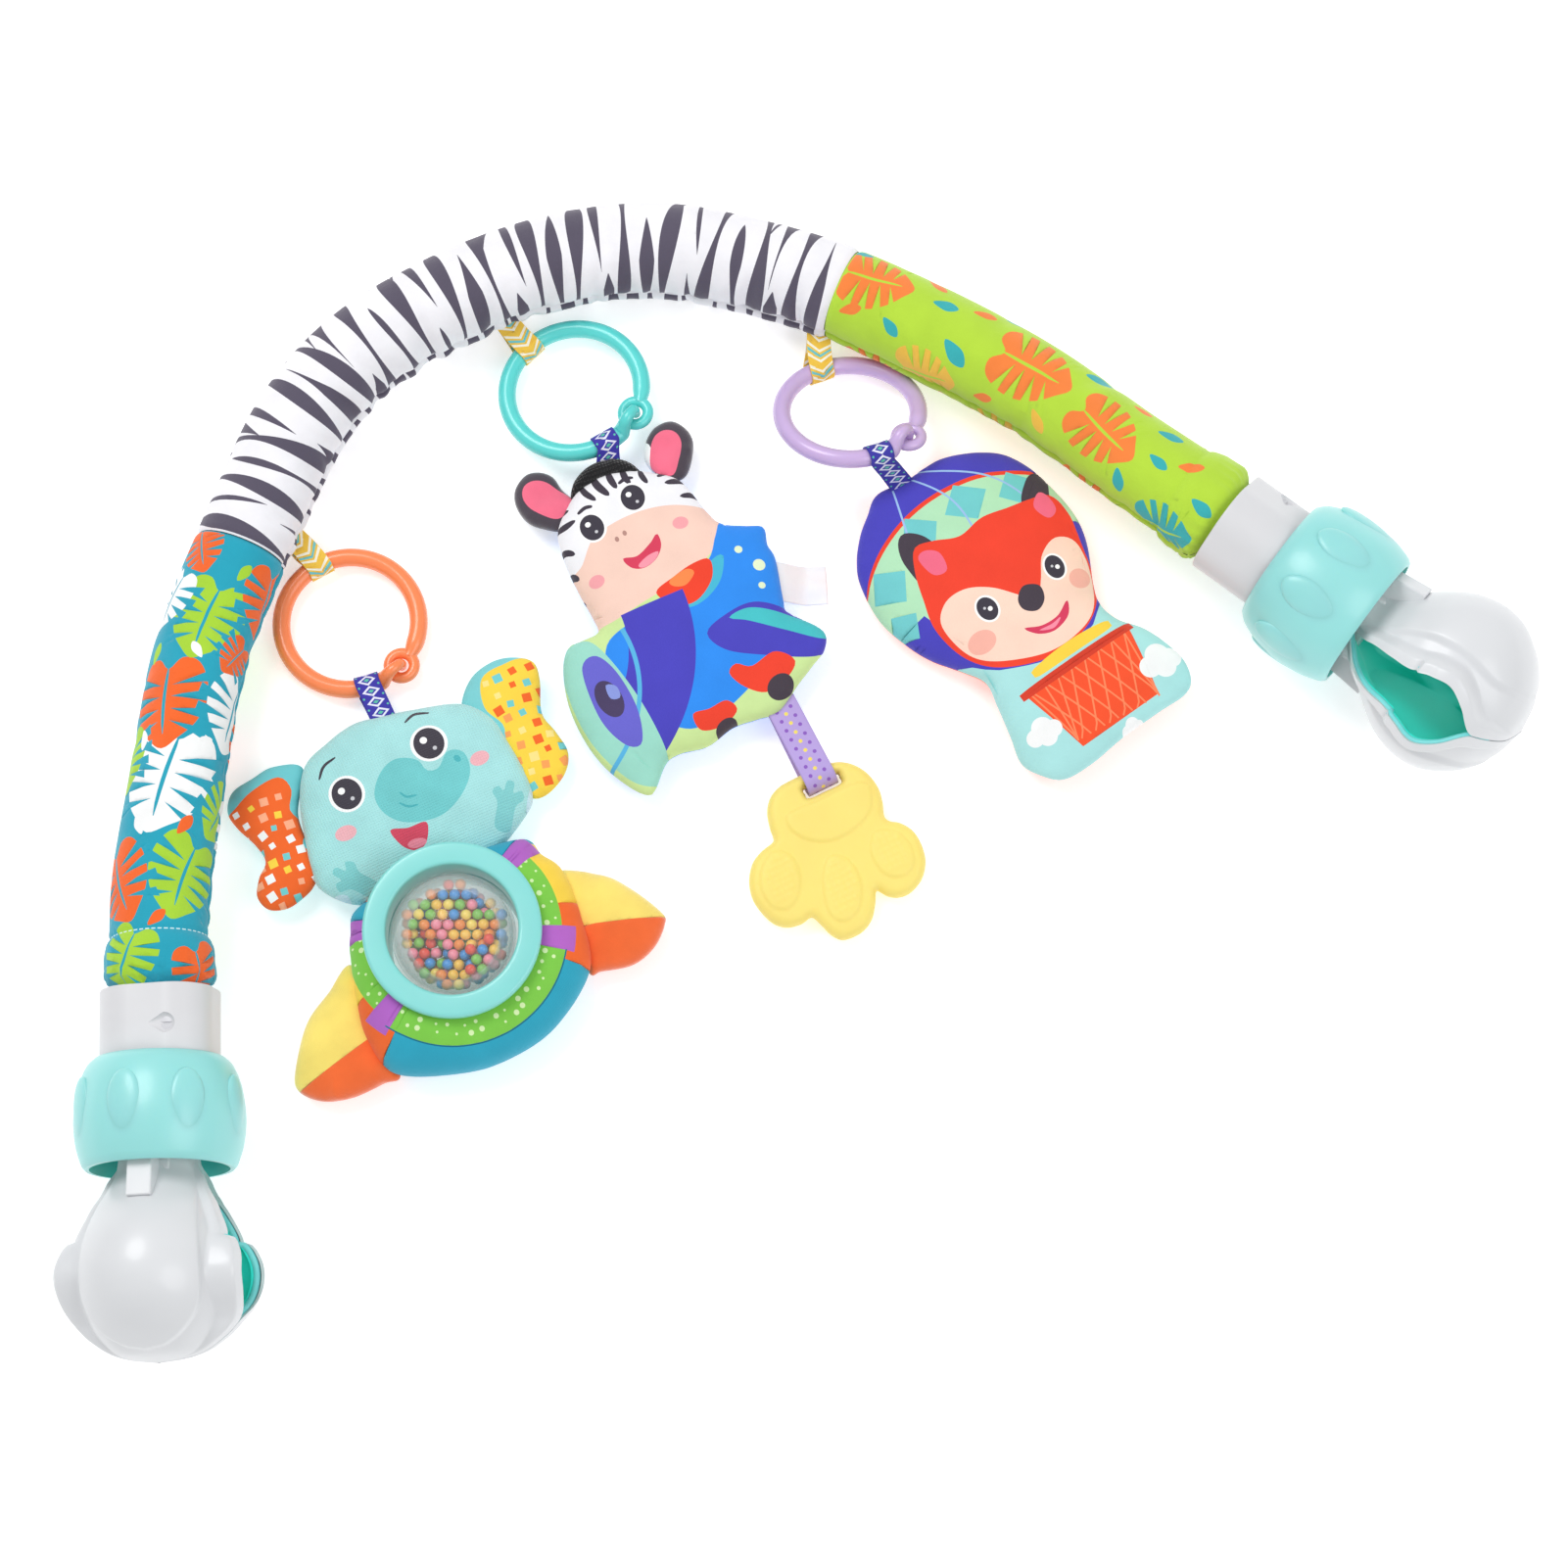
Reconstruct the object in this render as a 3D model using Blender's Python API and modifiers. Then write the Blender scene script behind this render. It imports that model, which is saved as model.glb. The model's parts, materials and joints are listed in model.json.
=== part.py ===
# Stroller hanging toy: a padded arch with a screw clamp at each end and three soft toys on link rings.
# Lengths are in metres, angles in degrees. The toy lies flat, as it is packed, with the floor at z = 0.

import math

import bmesh
import bpy
from mathutils import Matrix, Vector

# Fits
GAP = 0.0003                    # between pieces that touch
MERGE = 0.00001                 # points closer than this are one point
OVERRUN = 0.002                 # how far a cutter runs past what it cuts

# Arch
ARCH_SPAN = 0.4356              # collar rim to collar rim, along X
ARCH_RISE = 0.3245              # left collar rim to crown, along Y
ARCH_SHARES = (
    (0.0, 0.0), (-0.003, 0.128), (0.005, 0.25), (0.021, 0.436), (0.056, 0.59), (0.109, 0.76), (0.184, 0.877),
    (0.295, 0.963), (0.414, 1.0), (0.515, 0.994), (0.641, 0.941), (0.802, 0.818), (0.915, 0.698), (1.0, 0.614),
)
ARCH_DROOP_SHARE = 0.30         # length over which each end comes down to the floor
LEFT_HEADING = -88.2            # way the left clamp points, from +X
RIGHT_HEADING = -37.3
LEFT_ROLL = 11.0                # turn of the left jaws about their clamp
RIGHT_ROLL = -49.0

# Sleeves, foam and wire
SLEEVE_RADIUS = 0.0200
SLEEVE_WALL = 0.0012
SLEEVE_TUCK = 0.0060            # fabric inside the collar
SLEEVE_GATHER = 0.0090          # elastic casing that narrows to the collar
SLEEVE_SEAM_SHARES = (0.277, 0.727)
FOAM_RADIUS = 0.0174
FOAM_SETBACK = 0.0100           # foam stops this far before the collar rim
WIRE_RADIUS = 0.0020
WIRE_BORE_RADIUS = 0.0024
SLEEVE_SIDES = 12
SLEEVE_STEP = 0.0150
FOAM_STEPS = 30

# Collar and what it holds
COLLAR_LENGTH = 0.0380
COLLAR_WIDTH = 0.0470
COLLAR_DEPTH = 0.0410
COLLAR_SQUARENESS = 2.5
COLLAR_CHAMFER = 0.0010
COLLAR_BORE_RADIUS = 0.0179
COLLAR_END_WALL = 0.0080
FLANGE_RADIUS = 0.0260
FLANGE_THICKNESS = 0.0040
PLUG_START = 0.0010
PLUG_LENGTH = 0.0190
PLUG_RADIUS = 0.0153
WIRE_TUCK = 0.0150
SCREW_PLACE = (0.0085, 0.0167)  # across and along the collar
SCREW_HEAD_RADIUS = 0.0031
SCREW_HEAD_HEIGHT = 0.0014
SCREW_SHANK_RADIUS = 0.0014
SCREW_LENGTH = 0.0100
SCREW_SLOT = 0.0008
RECESS_LENGTH = 0.0126
RECESS_WIDTH = 0.0078
RECESS_FLOOR = 0.0176           # from the clamp's axis

# Lock ring
RING_START = 0.0275
RING_LENGTH = 0.0450
RING_LIP_RADIUS = 0.0244
RING_THREAD_RADIUS = 0.0255
RING_MOUTH_RADIUS = 0.0275
RING_GROOVE_CLEARANCE = 0.0005
RING_FLARE = 0.0085
RING_BARREL_SHARES = (
    (1.0, 0.862), (0.96, 0.905), (0.78, 0.975), (0.54, 1.0), (0.28, 0.955), (0.09, 0.862), (0.01, 0.765),
)
RING_RADIUS = 0.0345
RING_SEGMENTS = 24
PAD_COUNT = 8
PAD_LENGTH = 0.0260
PAD_WIDTH = 0.0150
PAD_DEPTH = 0.0026              # half of the pad's depth
PAD_RISE = 0.0010               # how far it stands out of the barrel

# Jaw carrier and hinge pins
STEM_WIDTH = 0.0180
STEM_DEPTH = 0.0140
STEM_START = 0.0220
CARRIER_RADIUS = 0.0251
CARRIER_START = 0.0520
CARRIER_THICKNESS = 0.0072
PIN_OFFSET = 0.0070             # each pin from the clamp's axis
PIN_PLACE = 0.0640              # along the clamp
PIN_RADIUS = 0.0016
PIN_CLEARANCE = 0.0003
EAR_RADIUS = 0.0037
EAR_THICKNESS = 0.0030
KNUCKLE_LENGTH = 0.0210
KNUCKLE_RADIUS = 0.0043
KNUCKLE_SIDE_GAP = 0.0005

# Jaws and liners
HEAD_START = 0.0690
HEAD_LENGTH = 0.0810
HEAD_HALF_WIDTH = 0.0410
HEAD_HALF_HEIGHT = 0.0390
LIP_HEIGHT = 0.0150             # half of the widest part of the mouth
LIP_GAP = 0.0002                # half of the gap where the lips meet
JAW_WALL = 0.0024
JAW_STATION_SHARES = (
    # along, half width, half height, lip
    (0.000, 0.422, 0.415, 0.50), (0.074, 0.439, 0.441, 0.67), (0.160, 0.535, 0.550, 0.85),
    (0.260, 0.690, 0.725, 0.85), (0.370, 0.841, 0.885, 0.77), (0.480, 0.965, 0.975, 0.90),
    (0.593, 1.000, 1.000, 1.00), (0.700, 0.955, 0.950, 0.65), (0.802, 0.841, 0.815, 0.0),
    (0.890, 0.675, 0.635, 0.0), (0.965, 0.420, 0.360, 0.0), (1.0, 0.0, 0.0, 0.0),
)
JAW_SECTION_STEPS = 8
BLOCK_HALF_WIDTH = 0.0090
BLOCK_REACH = 0.0110            # past the pin
BLOCK_LOW = 0.0015
BLOCK_HIGH = 0.0155
RIB_WIDTH = 0.0080
RIB_START = 0.0705
RIB_END = 0.0865
RIB_TOPS = (0.0250, 0.0268)
RIB_ROOTS = (0.0140, 0.0220)
LINER_STATIONS = (3, 9)         # first and last row of the table that the liner reaches
LINER_PLAY = 0.0007             # room between liner and jaw
LINER_WALL = 0.0016
LINER_LIP = 0.0009              # liner lip past the jaw's lip
GRIP_HEIGHT = 0.0200            # flat grip face from the mouth's middle

# Link rings
LINK_RADIUS = 0.0289
LINK_WIRE = 0.0038
LINK_STEPS = 22
EYELET_RADIUS = 0.00535
EYELET_WIRE = 0.00235
EYELET_OVERLAP = 0.0016
HOOK_REACH = 0.0108             # where the hook starts to rise, before the eyelet
HOOK_RISE = 0.0060
HOOK_SHARES = (
    # before the eyelet, rise, thickness
    (1.0, 0.0, 1.0), (0.82, 0.42, 0.84), (0.60, 0.93, 0.70), (0.34, 1.05, 0.63), (0.10, 0.88, 0.58),
    (0.0, 0.42, 0.56), (0.0, -0.15, 0.53),
)

# Ribbons
RIBBON_WIDTH = 0.0100
RIBBON_THICKNESS = 0.0008
RIBBON_SLACK = 0.0012           # between the ribbon and the wire in it
RIBBON_ROOT = 0.0025            # ribbon sewn inside a seam, cut away there
RIBBON_BOW_SHARE = 0.5
RIBBON_WRAP = 105.0
RIBBON_BIGHT_STEPS = 6
RIBBON_EXIT = -19.0             # where a ribbon leaves the sleeve, down from its side
TAB_WIDTH = 0.0130

# One row a link: sleeve place share, ribbon heading and length, place of the ribbon on the ring, ring tilt
# and its axis, place of the toy's ribbon, place of the eyelet, toy ribbon's heading and length, toy's turn.
LINKS = {
    "orange": dict(share=0.2965, heading=-44.7, reach=0.0120, loop=119.0, tilt=0.0, tilt_axis=0.0,
                   toy_loop=-73.0, eyelet=-40.0, toy_heading=-65.3, toy_reach=0.0172, turn=25.0, toy="elephant",
                   colour=(1.0, 0.36, 0.13)),
    "aqua": dict(share=0.5105, heading=-45.9, reach=0.0110, loop=135.0, tilt=8.0, tilt_axis=45.0,
                 toy_loop=-60.0, eyelet=-23.5, toy_heading=-85.0, toy_reach=0.0085, turn=20.0, toy="zebra",
                 colour=(0.16, 0.78, 0.74)),
    "lilac": dict(share=0.723, heading=-90.0, reach=0.0135, loop=117.0, tilt=28.0, tilt_axis=0.0,
                  toy_loop=-66.0, eyelet=-32.0, toy_heading=-37.0, toy_reach=0.0125, turn=30.0, toy="fox",
                  colour=(0.78, 0.66, 0.86)),
}

# Stuffed toys
PILLOW_THICKNESS = 0.0250
PILLOW_SEAM = 0.0120            # height of the sewn edge over the floor
PILLOW_FULLNESS = 2.5
PILLOW_EDGE = 0.6

ELEPHANT_WIDTH = 0.0960
ELEPHANT_HEIGHT = 0.0745
ELEPHANT_HEAD_SHARES = (
    (-0.01, 0.0), (0.14, -0.02), (0.32, -0.10), (0.44, -0.42), (0.44, -0.74), (0.36, -0.88), (0.17, -0.955),
    (-0.08, -0.965), (-0.33, -0.955), (-0.46, -0.88), (-0.545, -0.73), (-0.53, -0.48), (-0.48, -0.24),
    (-0.40, -0.07), (-0.27, 0.0), (-0.13, 0.02),
)
ELEPHANT_HEAD_CENTRE_SHARE = (-0.04, -0.47)
EAR_SEAM = 0.0100
EAR_PADDING = 0.0110
ELEPHANT_EAR_LEFT_SHARES = (
    (-0.40, -0.10), (-0.52, 0.01), (-0.63, 0.0), (-0.725, -0.03), (-0.775, -0.12), (-0.765, -0.23), (-0.73, -0.36),
    (-0.72, -0.47), (-0.765, -0.54), (-0.805, -0.63), (-0.785, -0.72), (-0.715, -0.765), (-0.64, -0.755),
    (-0.57, -0.70), (-0.53, -0.54), (-0.49, -0.31),
)
ELEPHANT_EAR_LEFT_CENTRE_SHARE = (-0.655, -0.44)
ELEPHANT_EAR_RIGHT_SHARES = (
    (0.33, -0.13), (0.42, 0.01), (0.54, 0.055), (0.64, 0.02), (0.695, -0.055), (0.685, -0.16), (0.64, -0.33),
    (0.655, -0.47), (0.665, -0.60), (0.61, -0.71), (0.51, -0.775), (0.44, -0.74), (0.43, -0.60), (0.42, -0.40),
    (0.37, -0.24),
)
ELEPHANT_EAR_RIGHT_CENTRE_SHARE = (0.56, -0.38)
BODY_WIDTH = 0.0990
BODY_HEIGHT = 0.0840
BODY_PLACE = (-0.0110, -0.1110)  # body's middle from the head's ribbon
BODY_THICKNESS = 0.0340
BODY_SEAM = 0.0140
BODY_SHARES = (
    (-0.30, 0.47), (-0.38, 0.40), (-0.43, 0.24), (-0.49, 0.0), (-0.50, -0.18), (-0.45, -0.36), (-0.22, -0.48),
    (0.0, -0.51), (0.22, -0.47), (0.45, -0.29), (0.51, 0.0), (0.52, 0.20), (0.46, 0.35), (0.38, 0.45), (0.10, 0.49),
)
BODY_FULLNESS = 5.0
FIN_SEAM = 0.0100
FIN_PADDING = 0.0160
FIN_LEFT_SHARES = (
    (-0.42, 0.22), (-0.57, 0.17), (-0.71, 0.07), (-0.83, -0.12), (-0.85, -0.21), (-0.78, -0.31), (-0.66, -0.36),
    (-0.51, -0.36), (-0.43, -0.33), (-0.41, -0.05),
)
FIN_LEFT_CENTRE_SHARE = (-0.60, -0.15)
FIN_RIGHT_SHARES = (
    (0.44, 0.25), (0.60, 0.17), (0.76, 0.01), (0.83, -0.15), (0.82, -0.21), (0.74, -0.30), (0.63, -0.33),
    (0.50, -0.30), (0.41, -0.28), (0.40, -0.02),
)
FIN_RIGHT_CENTRE_SHARE = (0.58, -0.10)

# Rattle
BALL_RADIUS = 0.0256
BALL_HEIGHT = 0.0263            # ball's middle over the floor
BALL_WALL = 0.0012
BALL_PLACE = (-0.0112, -0.0997)  # from the head's ribbon
BALL_SEAM_TURN = 31.0
BALL_SEGMENTS = 20
AXLE_RADIUS = 0.0020
AXLE_END = 0.0296               # from the ball's middle
BEZEL_BORE = 0.0270
BEZEL_WALL = 0.0034
BEZEL_RADIUS = 0.0366
BEZEL_TOP = 0.0118              # over the ball's middle
BEZEL_FLANGE = 0.0045
BEZEL_SPLIT = 0.0050            # joint of front and back, under the ball's middle
BEZEL_BACK_RADIUS = 0.0338
BEZEL_BACK_FLANGE = 0.0028
BEZEL_BACK_LEVEL = 0.0007       # over the floor
BEZEL_SEGMENTS = 24
BEAD_FILL = 0.0020              # top of the heap over the ball's middle
BEAD_RADIUS = 0.0024
BEAD_PLAY = 0.0009

ZEBRA_WIDTH = 0.1110
ZEBRA_HEIGHT = 0.1400
ZEBRA_SHARES = (
    (-0.18, -0.07), (-0.07, -0.02), (0.03, -0.03), (0.14, -0.07), (0.23, -0.13), (0.29, -0.25), (0.33, -0.30),
    (0.40, -0.33), (0.47, -0.35), (0.46, -0.41), (0.47, -0.46), (0.44, -0.59), (0.45, -0.64), (0.54, -0.71),
    (0.52, -0.77), (0.45, -0.81), (0.38, -0.85), (0.28, -0.90), (0.18, -0.905), (0.08, -0.91), (-0.04, -0.935),
    (-0.14, -0.94), (-0.20, -0.955), (-0.26, -1.0), (-0.31, -1.005), (-0.36, -0.965), (-0.42, -0.885), (-0.45, -0.785),
    (-0.46, -0.67), (-0.43, -0.565), (-0.385, -0.51), (-0.32, -0.50), (-0.265, -0.485), (-0.265, -0.44),
    (-0.28, -0.35), (-0.29, -0.24), (-0.27, -0.15),
)
ZEBRA_CENTRE_SHARE = (0.0, -0.61)
ZEBRA_EAR_LEFT_SHARES = (
    (-0.19, -0.08), (-0.215, 0.0), (-0.24, 0.04), (-0.30, 0.057), (-0.36, 0.03), (-0.385, -0.03), (-0.37, -0.085),
    (-0.32, -0.12), (-0.26, -0.145), (-0.22, -0.13),
)
ZEBRA_EAR_LEFT_CENTRE_SHARE = (-0.28, -0.045)
ZEBRA_EAR_RIGHT_SHARES = (
    (0.13, -0.02), (0.155, 0.045), (0.22, 0.08), (0.29, 0.07), (0.335, 0.015), (0.315, -0.05), (0.245, -0.12),
    (0.17, -0.11),
)
ZEBRA_EAR_RIGHT_CENTRE_SHARE = (0.23, -0.02)
ZEBRA_CAP_SHARES = (
    (-0.165, -0.07), (-0.135, -0.01), (-0.07, 0.018), (0.02, 0.012), (0.075, -0.015), (0.10, -0.065), (0.0, -0.09),
    (-0.10, -0.09),
)
ZEBRA_CAP_CENTRE_SHARE = (-0.03, -0.04)
CAP_PADDING = 0.0140
TAG_PLACE = (0.0480, -0.0730)   # root of the tag from the zebra's ribbon
TAG_LENGTH = 0.0225
TAG_WIDTH = 0.0170
TAG_THICKNESS = 0.0006
TAG_HEADING = -17.0
TAG_LEVEL = 0.0030
TAG_STEPS = 6

TAB_PLACE = (0.0325, -0.1245)   # root of the teether's ribbon from the zebra's
TAB_REACH = 0.0330              # to the teether's bar
TAB_HEADING = -83.0
TEETHER_LEVEL = 0.0078          # middle of the bar over the floor
TEETHER_THICKNESS = 0.0090
TEETHER_TURN = -1.0
TEETHER_LOBES = (
    # place from the slot, radii along X and Y
    (-0.0020, -0.0090, 0.0245, 0.0170), (-0.0325, -0.0360, 0.0135, 0.0135), (-0.0100, -0.0475, 0.0135, 0.0145),
    (0.0180, -0.0410, 0.0140, 0.0135), (-0.0085, -0.0270, 0.0230, 0.0180),
)
TEETHER_CENTRE = (-0.0070, -0.0280)
TEETHER_STEPS = 40
SLOT_WIDTH = 0.0148
SLOT_NEAR = 0.0022              # slot's near edge from its middle
SLOT_FAR = -0.0026
BAR_PLACE = 0.0052              # middle of the bar from the slot's middle
TEETHER_FLOOR = 0.0

FOX_WIDTH = 0.1020
FOX_HEIGHT = 0.1460
FOX_SHARES = (
    (0.02, 0.01), (0.11, 0.015), (0.21, 0.01), (0.32, -0.015), (0.43, -0.06), (0.50, -0.14), (0.54, -0.23),
    (0.56, -0.33), (0.54, -0.42), (0.47, -0.53), (0.45, -0.60), (0.48, -0.66), (0.55, -0.71), (0.60, -0.78),
    (0.63, -0.86), (0.61, -0.92), (0.55, -0.945), (0.42, -0.95), (0.235, -0.965), (0.08, -0.985), (-0.06, -0.985),
    (-0.14, -0.94), (-0.175, -0.885), (-0.155, -0.80), (-0.135, -0.705), (-0.13, -0.63), (-0.19, -0.57),
    (-0.275, -0.49), (-0.335, -0.41), (-0.37, -0.315), (-0.365, -0.20), (-0.325, -0.13), (-0.255, -0.07),
    (-0.185, -0.025), (-0.11, 0.01),
)
FOX_CENTRE_SHARE = (0.14, -0.51)


# Collections: the toy's pieces in one, what cuts them in another.

def new_collection(name):
    old = bpy.data.collections.get(name)
    if old:
        bpy.data.collections.remove(old)
    collection = bpy.data.collections.new(name)
    bpy.context.scene.collection.children.link(collection)
    return collection


for leftover in list(bpy.data.objects):
    bpy.data.objects.remove(leftover, do_unlink=True)
PARTS = new_collection("stroller_hanging_toy")
CUTTERS = new_collection("cutters")


# Small geometry

def turn(vector, degrees):
    """A flat vector turned about Z."""
    return Matrix.Rotation(math.radians(degrees), 2) @ Vector(vector)


def heading(degrees):
    return Vector((math.cos(math.radians(degrees)), math.sin(math.radians(degrees)), 0.0))


def blend(low, high, share):
    return low + (high - low) * share


def ease(share):
    share = min(1.0, max(0.0, share))
    return share * share * (3.0 - 2.0 * share)


def spline_point(points, place, closed):
    """Catmull-Rom point, with place counted in points."""
    count = len(points)
    index = int(math.floor(place))
    if not closed:
        index = min(max(index, 0), count - 2)
    t = place - index

    def knot(i):
        if closed:
            return points[i % count]
        if i < 0:
            return points[0] * 2.0 - points[1]
        if i > count - 1:
            return points[-1] * 2.0 - points[-2]
        return points[i]

    a, b, c, d = knot(index - 1), knot(index), knot(index + 1), knot(index + 2)
    return 0.5 * (2.0 * b + (c - a) * t + (2.0 * a - 5.0 * b + 4.0 * c - d) * t * t
                  + (3.0 * b - 3.0 * c + d - a) * t * t * t)


def even_curve(points, count, closed):
    """Points at even steps along a smooth curve through the given ones."""
    points = [Vector(p) for p in points]
    fine = 12
    spans = len(points) if closed else len(points) - 1
    dense = [spline_point(points, i / fine, closed) for i in range(spans * fine + 1)]
    lengths = [0.0]
    for before, after in zip(dense, dense[1:]):
        lengths.append(lengths[-1] + (after - before).length)
    steps = count if closed else count - 1
    result = []
    cursor = 0
    for i in range(count):
        target = lengths[-1] * i / steps
        while cursor < len(lengths) - 2 and lengths[cursor + 1] < target:
            cursor += 1
        part = (target - lengths[cursor]) / (lengths[cursor + 1] - lengths[cursor])
        result.append(dense[cursor].lerp(dense[cursor + 1], part))
    return result


# Meshes and objects

def new_object(name, mesh, parent=None, colour=(0.8, 0.8, 0.8), roughness=0.5, metallic=0.0, alpha=1.0):
    obj = bpy.data.objects.new(name, mesh)
    PARTS.objects.link(obj)
    obj.parent = parent
    material = bpy.data.materials.new(name)
    material.use_nodes = True
    shader = material.node_tree.nodes["Principled BSDF"]
    shader.inputs["Base Color"].default_value = (*colour, 1.0)
    shader.inputs["Roughness"].default_value = roughness
    shader.inputs["Metallic"].default_value = metallic
    shader.inputs["Alpha"].default_value = alpha
    mesh.materials.clear()
    mesh.materials.append(material)
    mesh.shade_smooth()
    mesh.set_sharp_from_angle(angle=math.radians(40))
    return obj


def new_cutter(name, mesh, parent=None):
    obj = bpy.data.objects.new(name, mesh)
    CUTTERS.objects.link(obj)
    obj.parent = parent
    obj.hide_render = True
    obj.display_type = "WIRE"
    return obj


def combine(obj, tool, operation):
    modifier = obj.modifiers.new(tool.name, "BOOLEAN")
    modifier.operation = operation
    modifier.object = tool
    modifier.solver = "EXACT"


def cut(obj, tool):
    combine(obj, tool, "DIFFERENCE")


def join(obj, tool):
    combine(obj, tool, "UNION")


def to_mesh(bm, name):
    mesh = bpy.data.meshes.new(name)
    bm.to_mesh(mesh)
    bm.free()
    return mesh


def solidify(obj, wall, offset=-1.0):
    modifier = obj.modifiers.new("wall", "SOLIDIFY")
    modifier.thickness = wall
    modifier.offset = offset
    modifier.use_even_offset = True


def bent_grid(name, columns, rows, place, flip=False, caps=False):
    """A grid primitive whose points go to place(across share, along share)."""
    bm = bmesh.new()
    bmesh.ops.create_grid(bm, x_segments=columns, y_segments=rows, size=0.5)
    for vert in bm.verts:
        vert.co = place(round(vert.co.x + 0.5, 6), round(vert.co.y + 0.5, 6))
    bmesh.ops.remove_doubles(bm, verts=bm.verts, dist=MERGE)
    if flip:
        bmesh.ops.reverse_faces(bm, faces=bm.faces)
    if caps:
        bmesh.ops.holes_fill(bm, edges=[e for e in bm.edges if e.is_boundary], sides=0)
        bmesh.ops.recalc_face_normals(bm, faces=bm.faces)
    return to_mesh(bm, name)


def round_bar(name, radius, start, end, segments=20):
    """A cylinder from one point to another."""
    axis = Vector(end) - Vector(start)
    middle = (Vector(end) + Vector(start)) / 2.0
    bm = bmesh.new()
    spot = Matrix.Translation(middle) @ axis.to_track_quat("Z", "Y").to_matrix().to_4x4()
    bmesh.ops.create_cone(bm, cap_ends=True, segments=segments, radius1=radius, radius2=radius,
                          depth=axis.length, matrix=spot)
    return to_mesh(bm, name)


def block(name, low, high):
    """A box between two corners."""
    low, high = Vector(low), Vector(high)
    bm = bmesh.new()
    bmesh.ops.create_cube(bm, size=1.0)
    for vert in bm.verts:
        vert.co = Vector([blend(low[i], high[i], vert.co[i] + 0.5) for i in range(3)])
    return to_mesh(bm, name)


def ellipsoid(name, radii, spot, segments=12, rings=8):
    bm = bmesh.new()
    bmesh.ops.create_uvsphere(bm, u_segments=segments, v_segments=rings, radius=1.0)
    bmesh.ops.transform(bm, matrix=spot @ Matrix.Diagonal((*radii, 1.0)), verts=bm.verts)
    return to_mesh(bm, name)


def turned(name, profile, segments, parent=None, **finish):
    """A closed profile of (radius, height) points turned about Z, outer side from top to bottom."""
    bm = bmesh.new()
    verts = [bm.verts.new((radius, 0.0, height)) for radius, height in profile]
    for before, after in zip(verts, verts[1:] + verts[:1]):
        bm.edges.new((before, after))
    obj = new_object(name, to_mesh(bm, name), parent, **finish)
    screw = obj.modifiers.new("turn", "SCREW")
    screw.steps = segments
    screw.render_steps = segments
    screw.use_merge_vertices = True
    screw.merge_threshold = MERGE
    return obj


def wire_mesh(name, points, radius, thickness_shares=None):
    """A round wire along the points, as a closed mesh."""
    data = bpy.data.curves.new(name, "CURVE")
    data.dimensions = "3D"
    data.bevel_depth = radius
    data.bevel_resolution = 2
    data.use_fill_caps = True
    spline = data.splines.new("POLY")
    spline.points.add(len(points) - 1)
    for i, point in enumerate(points):
        spline.points[i].co = (*point, 1.0)
        if thickness_shares:
            spline.points[i].radius = thickness_shares[i]
    guide = bpy.data.objects.new(name + "_curve", data)
    bpy.context.scene.collection.objects.link(guide)
    evaluated = guide.evaluated_get(bpy.context.evaluated_depsgraph_get())
    mesh = bpy.data.meshes.new_from_object(evaluated)
    bm = bmesh.new()
    bm.from_mesh(mesh)
    bmesh.ops.remove_doubles(bm, verts=bm.verts, dist=MERGE)
    bmesh.ops.recalc_face_normals(bm, faces=bm.faces)
    bpy.data.objects.remove(guide)
    return to_mesh(bm, name)


def flat_outline(name, points, depth):
    """A flat outline in XY, extruded by half its depth each way along Z, as a closed mesh."""
    data = bpy.data.curves.new(name, "CURVE")
    data.dimensions = "2D"
    data.fill_mode = "BOTH"
    data.extrude = depth / 2.0
    spline = data.splines.new("POLY")
    spline.points.add(len(points) - 1)
    for i, point in enumerate(points):
        spline.points[i].co = (point[0], point[1], 0.0, 1.0)
    spline.use_cyclic_u = True
    guide = bpy.data.objects.new(name + "_curve", data)
    bpy.context.scene.collection.objects.link(guide)
    evaluated = guide.evaluated_get(bpy.context.evaluated_depsgraph_get())
    mesh = bpy.data.meshes.new_from_object(evaluated)
    bm = bmesh.new()
    bm.from_mesh(mesh)
    bmesh.ops.remove_doubles(bm, verts=bm.verts, dist=MERGE)
    bmesh.ops.recalc_face_normals(bm, faces=bm.faces)
    bpy.data.objects.remove(guide)
    return to_mesh(bm, name)


def empty(name, parent=None, matrix=None, location=None):
    obj = bpy.data.objects.new(name, None)
    PARTS.objects.link(obj)
    obj.parent = parent
    if matrix is not None:
        obj.matrix_local = matrix
    if location is not None:
        obj.location = location
    return obj


# Everything hangs under one empty, which is moved at the end so that the origin is under the middle.
ROOT = empty("toy_root")


def pivot(name, place):
    """An empty at a joint, in the toy's own frame."""
    return empty(name, ROOT, location=place)


def shifted(mesh, offset):
    mesh.transform(Matrix.Translation(-Vector(offset)))
    return mesh


# Arch path. Distances along it are measured from the left collar's rim.

HEAD_REST = {
    "left": math.hypot(HEAD_HALF_HEIGHT * math.cos(math.radians(LEFT_ROLL)),
                       HEAD_HALF_WIDTH * math.sin(math.radians(LEFT_ROLL))),
    "right": math.hypot(HEAD_HALF_HEIGHT * math.cos(math.radians(RIGHT_ROLL)),
                        HEAD_HALF_WIDTH * math.sin(math.radians(RIGHT_ROLL))),
}


def build_arch_path():
    """Sleeve middle line, with the straight ends inside the collars."""
    flat = [Vector((x * ARCH_SPAN, y * ARCH_RISE, 0.0)) for x, y in ARCH_SHARES]
    count = 160
    even = even_curve(flat, count, False)
    for i, point in enumerate(even):
        share = i / (count - 1)
        side = "left" if share < 0.5 else "right"
        lift = ease(1.0 - min(share, 1.0 - share) / ARCH_DROOP_SHARE)
        point.z = blend(SLEEVE_RADIUS, HEAD_REST[side], lift)
    return even


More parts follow.
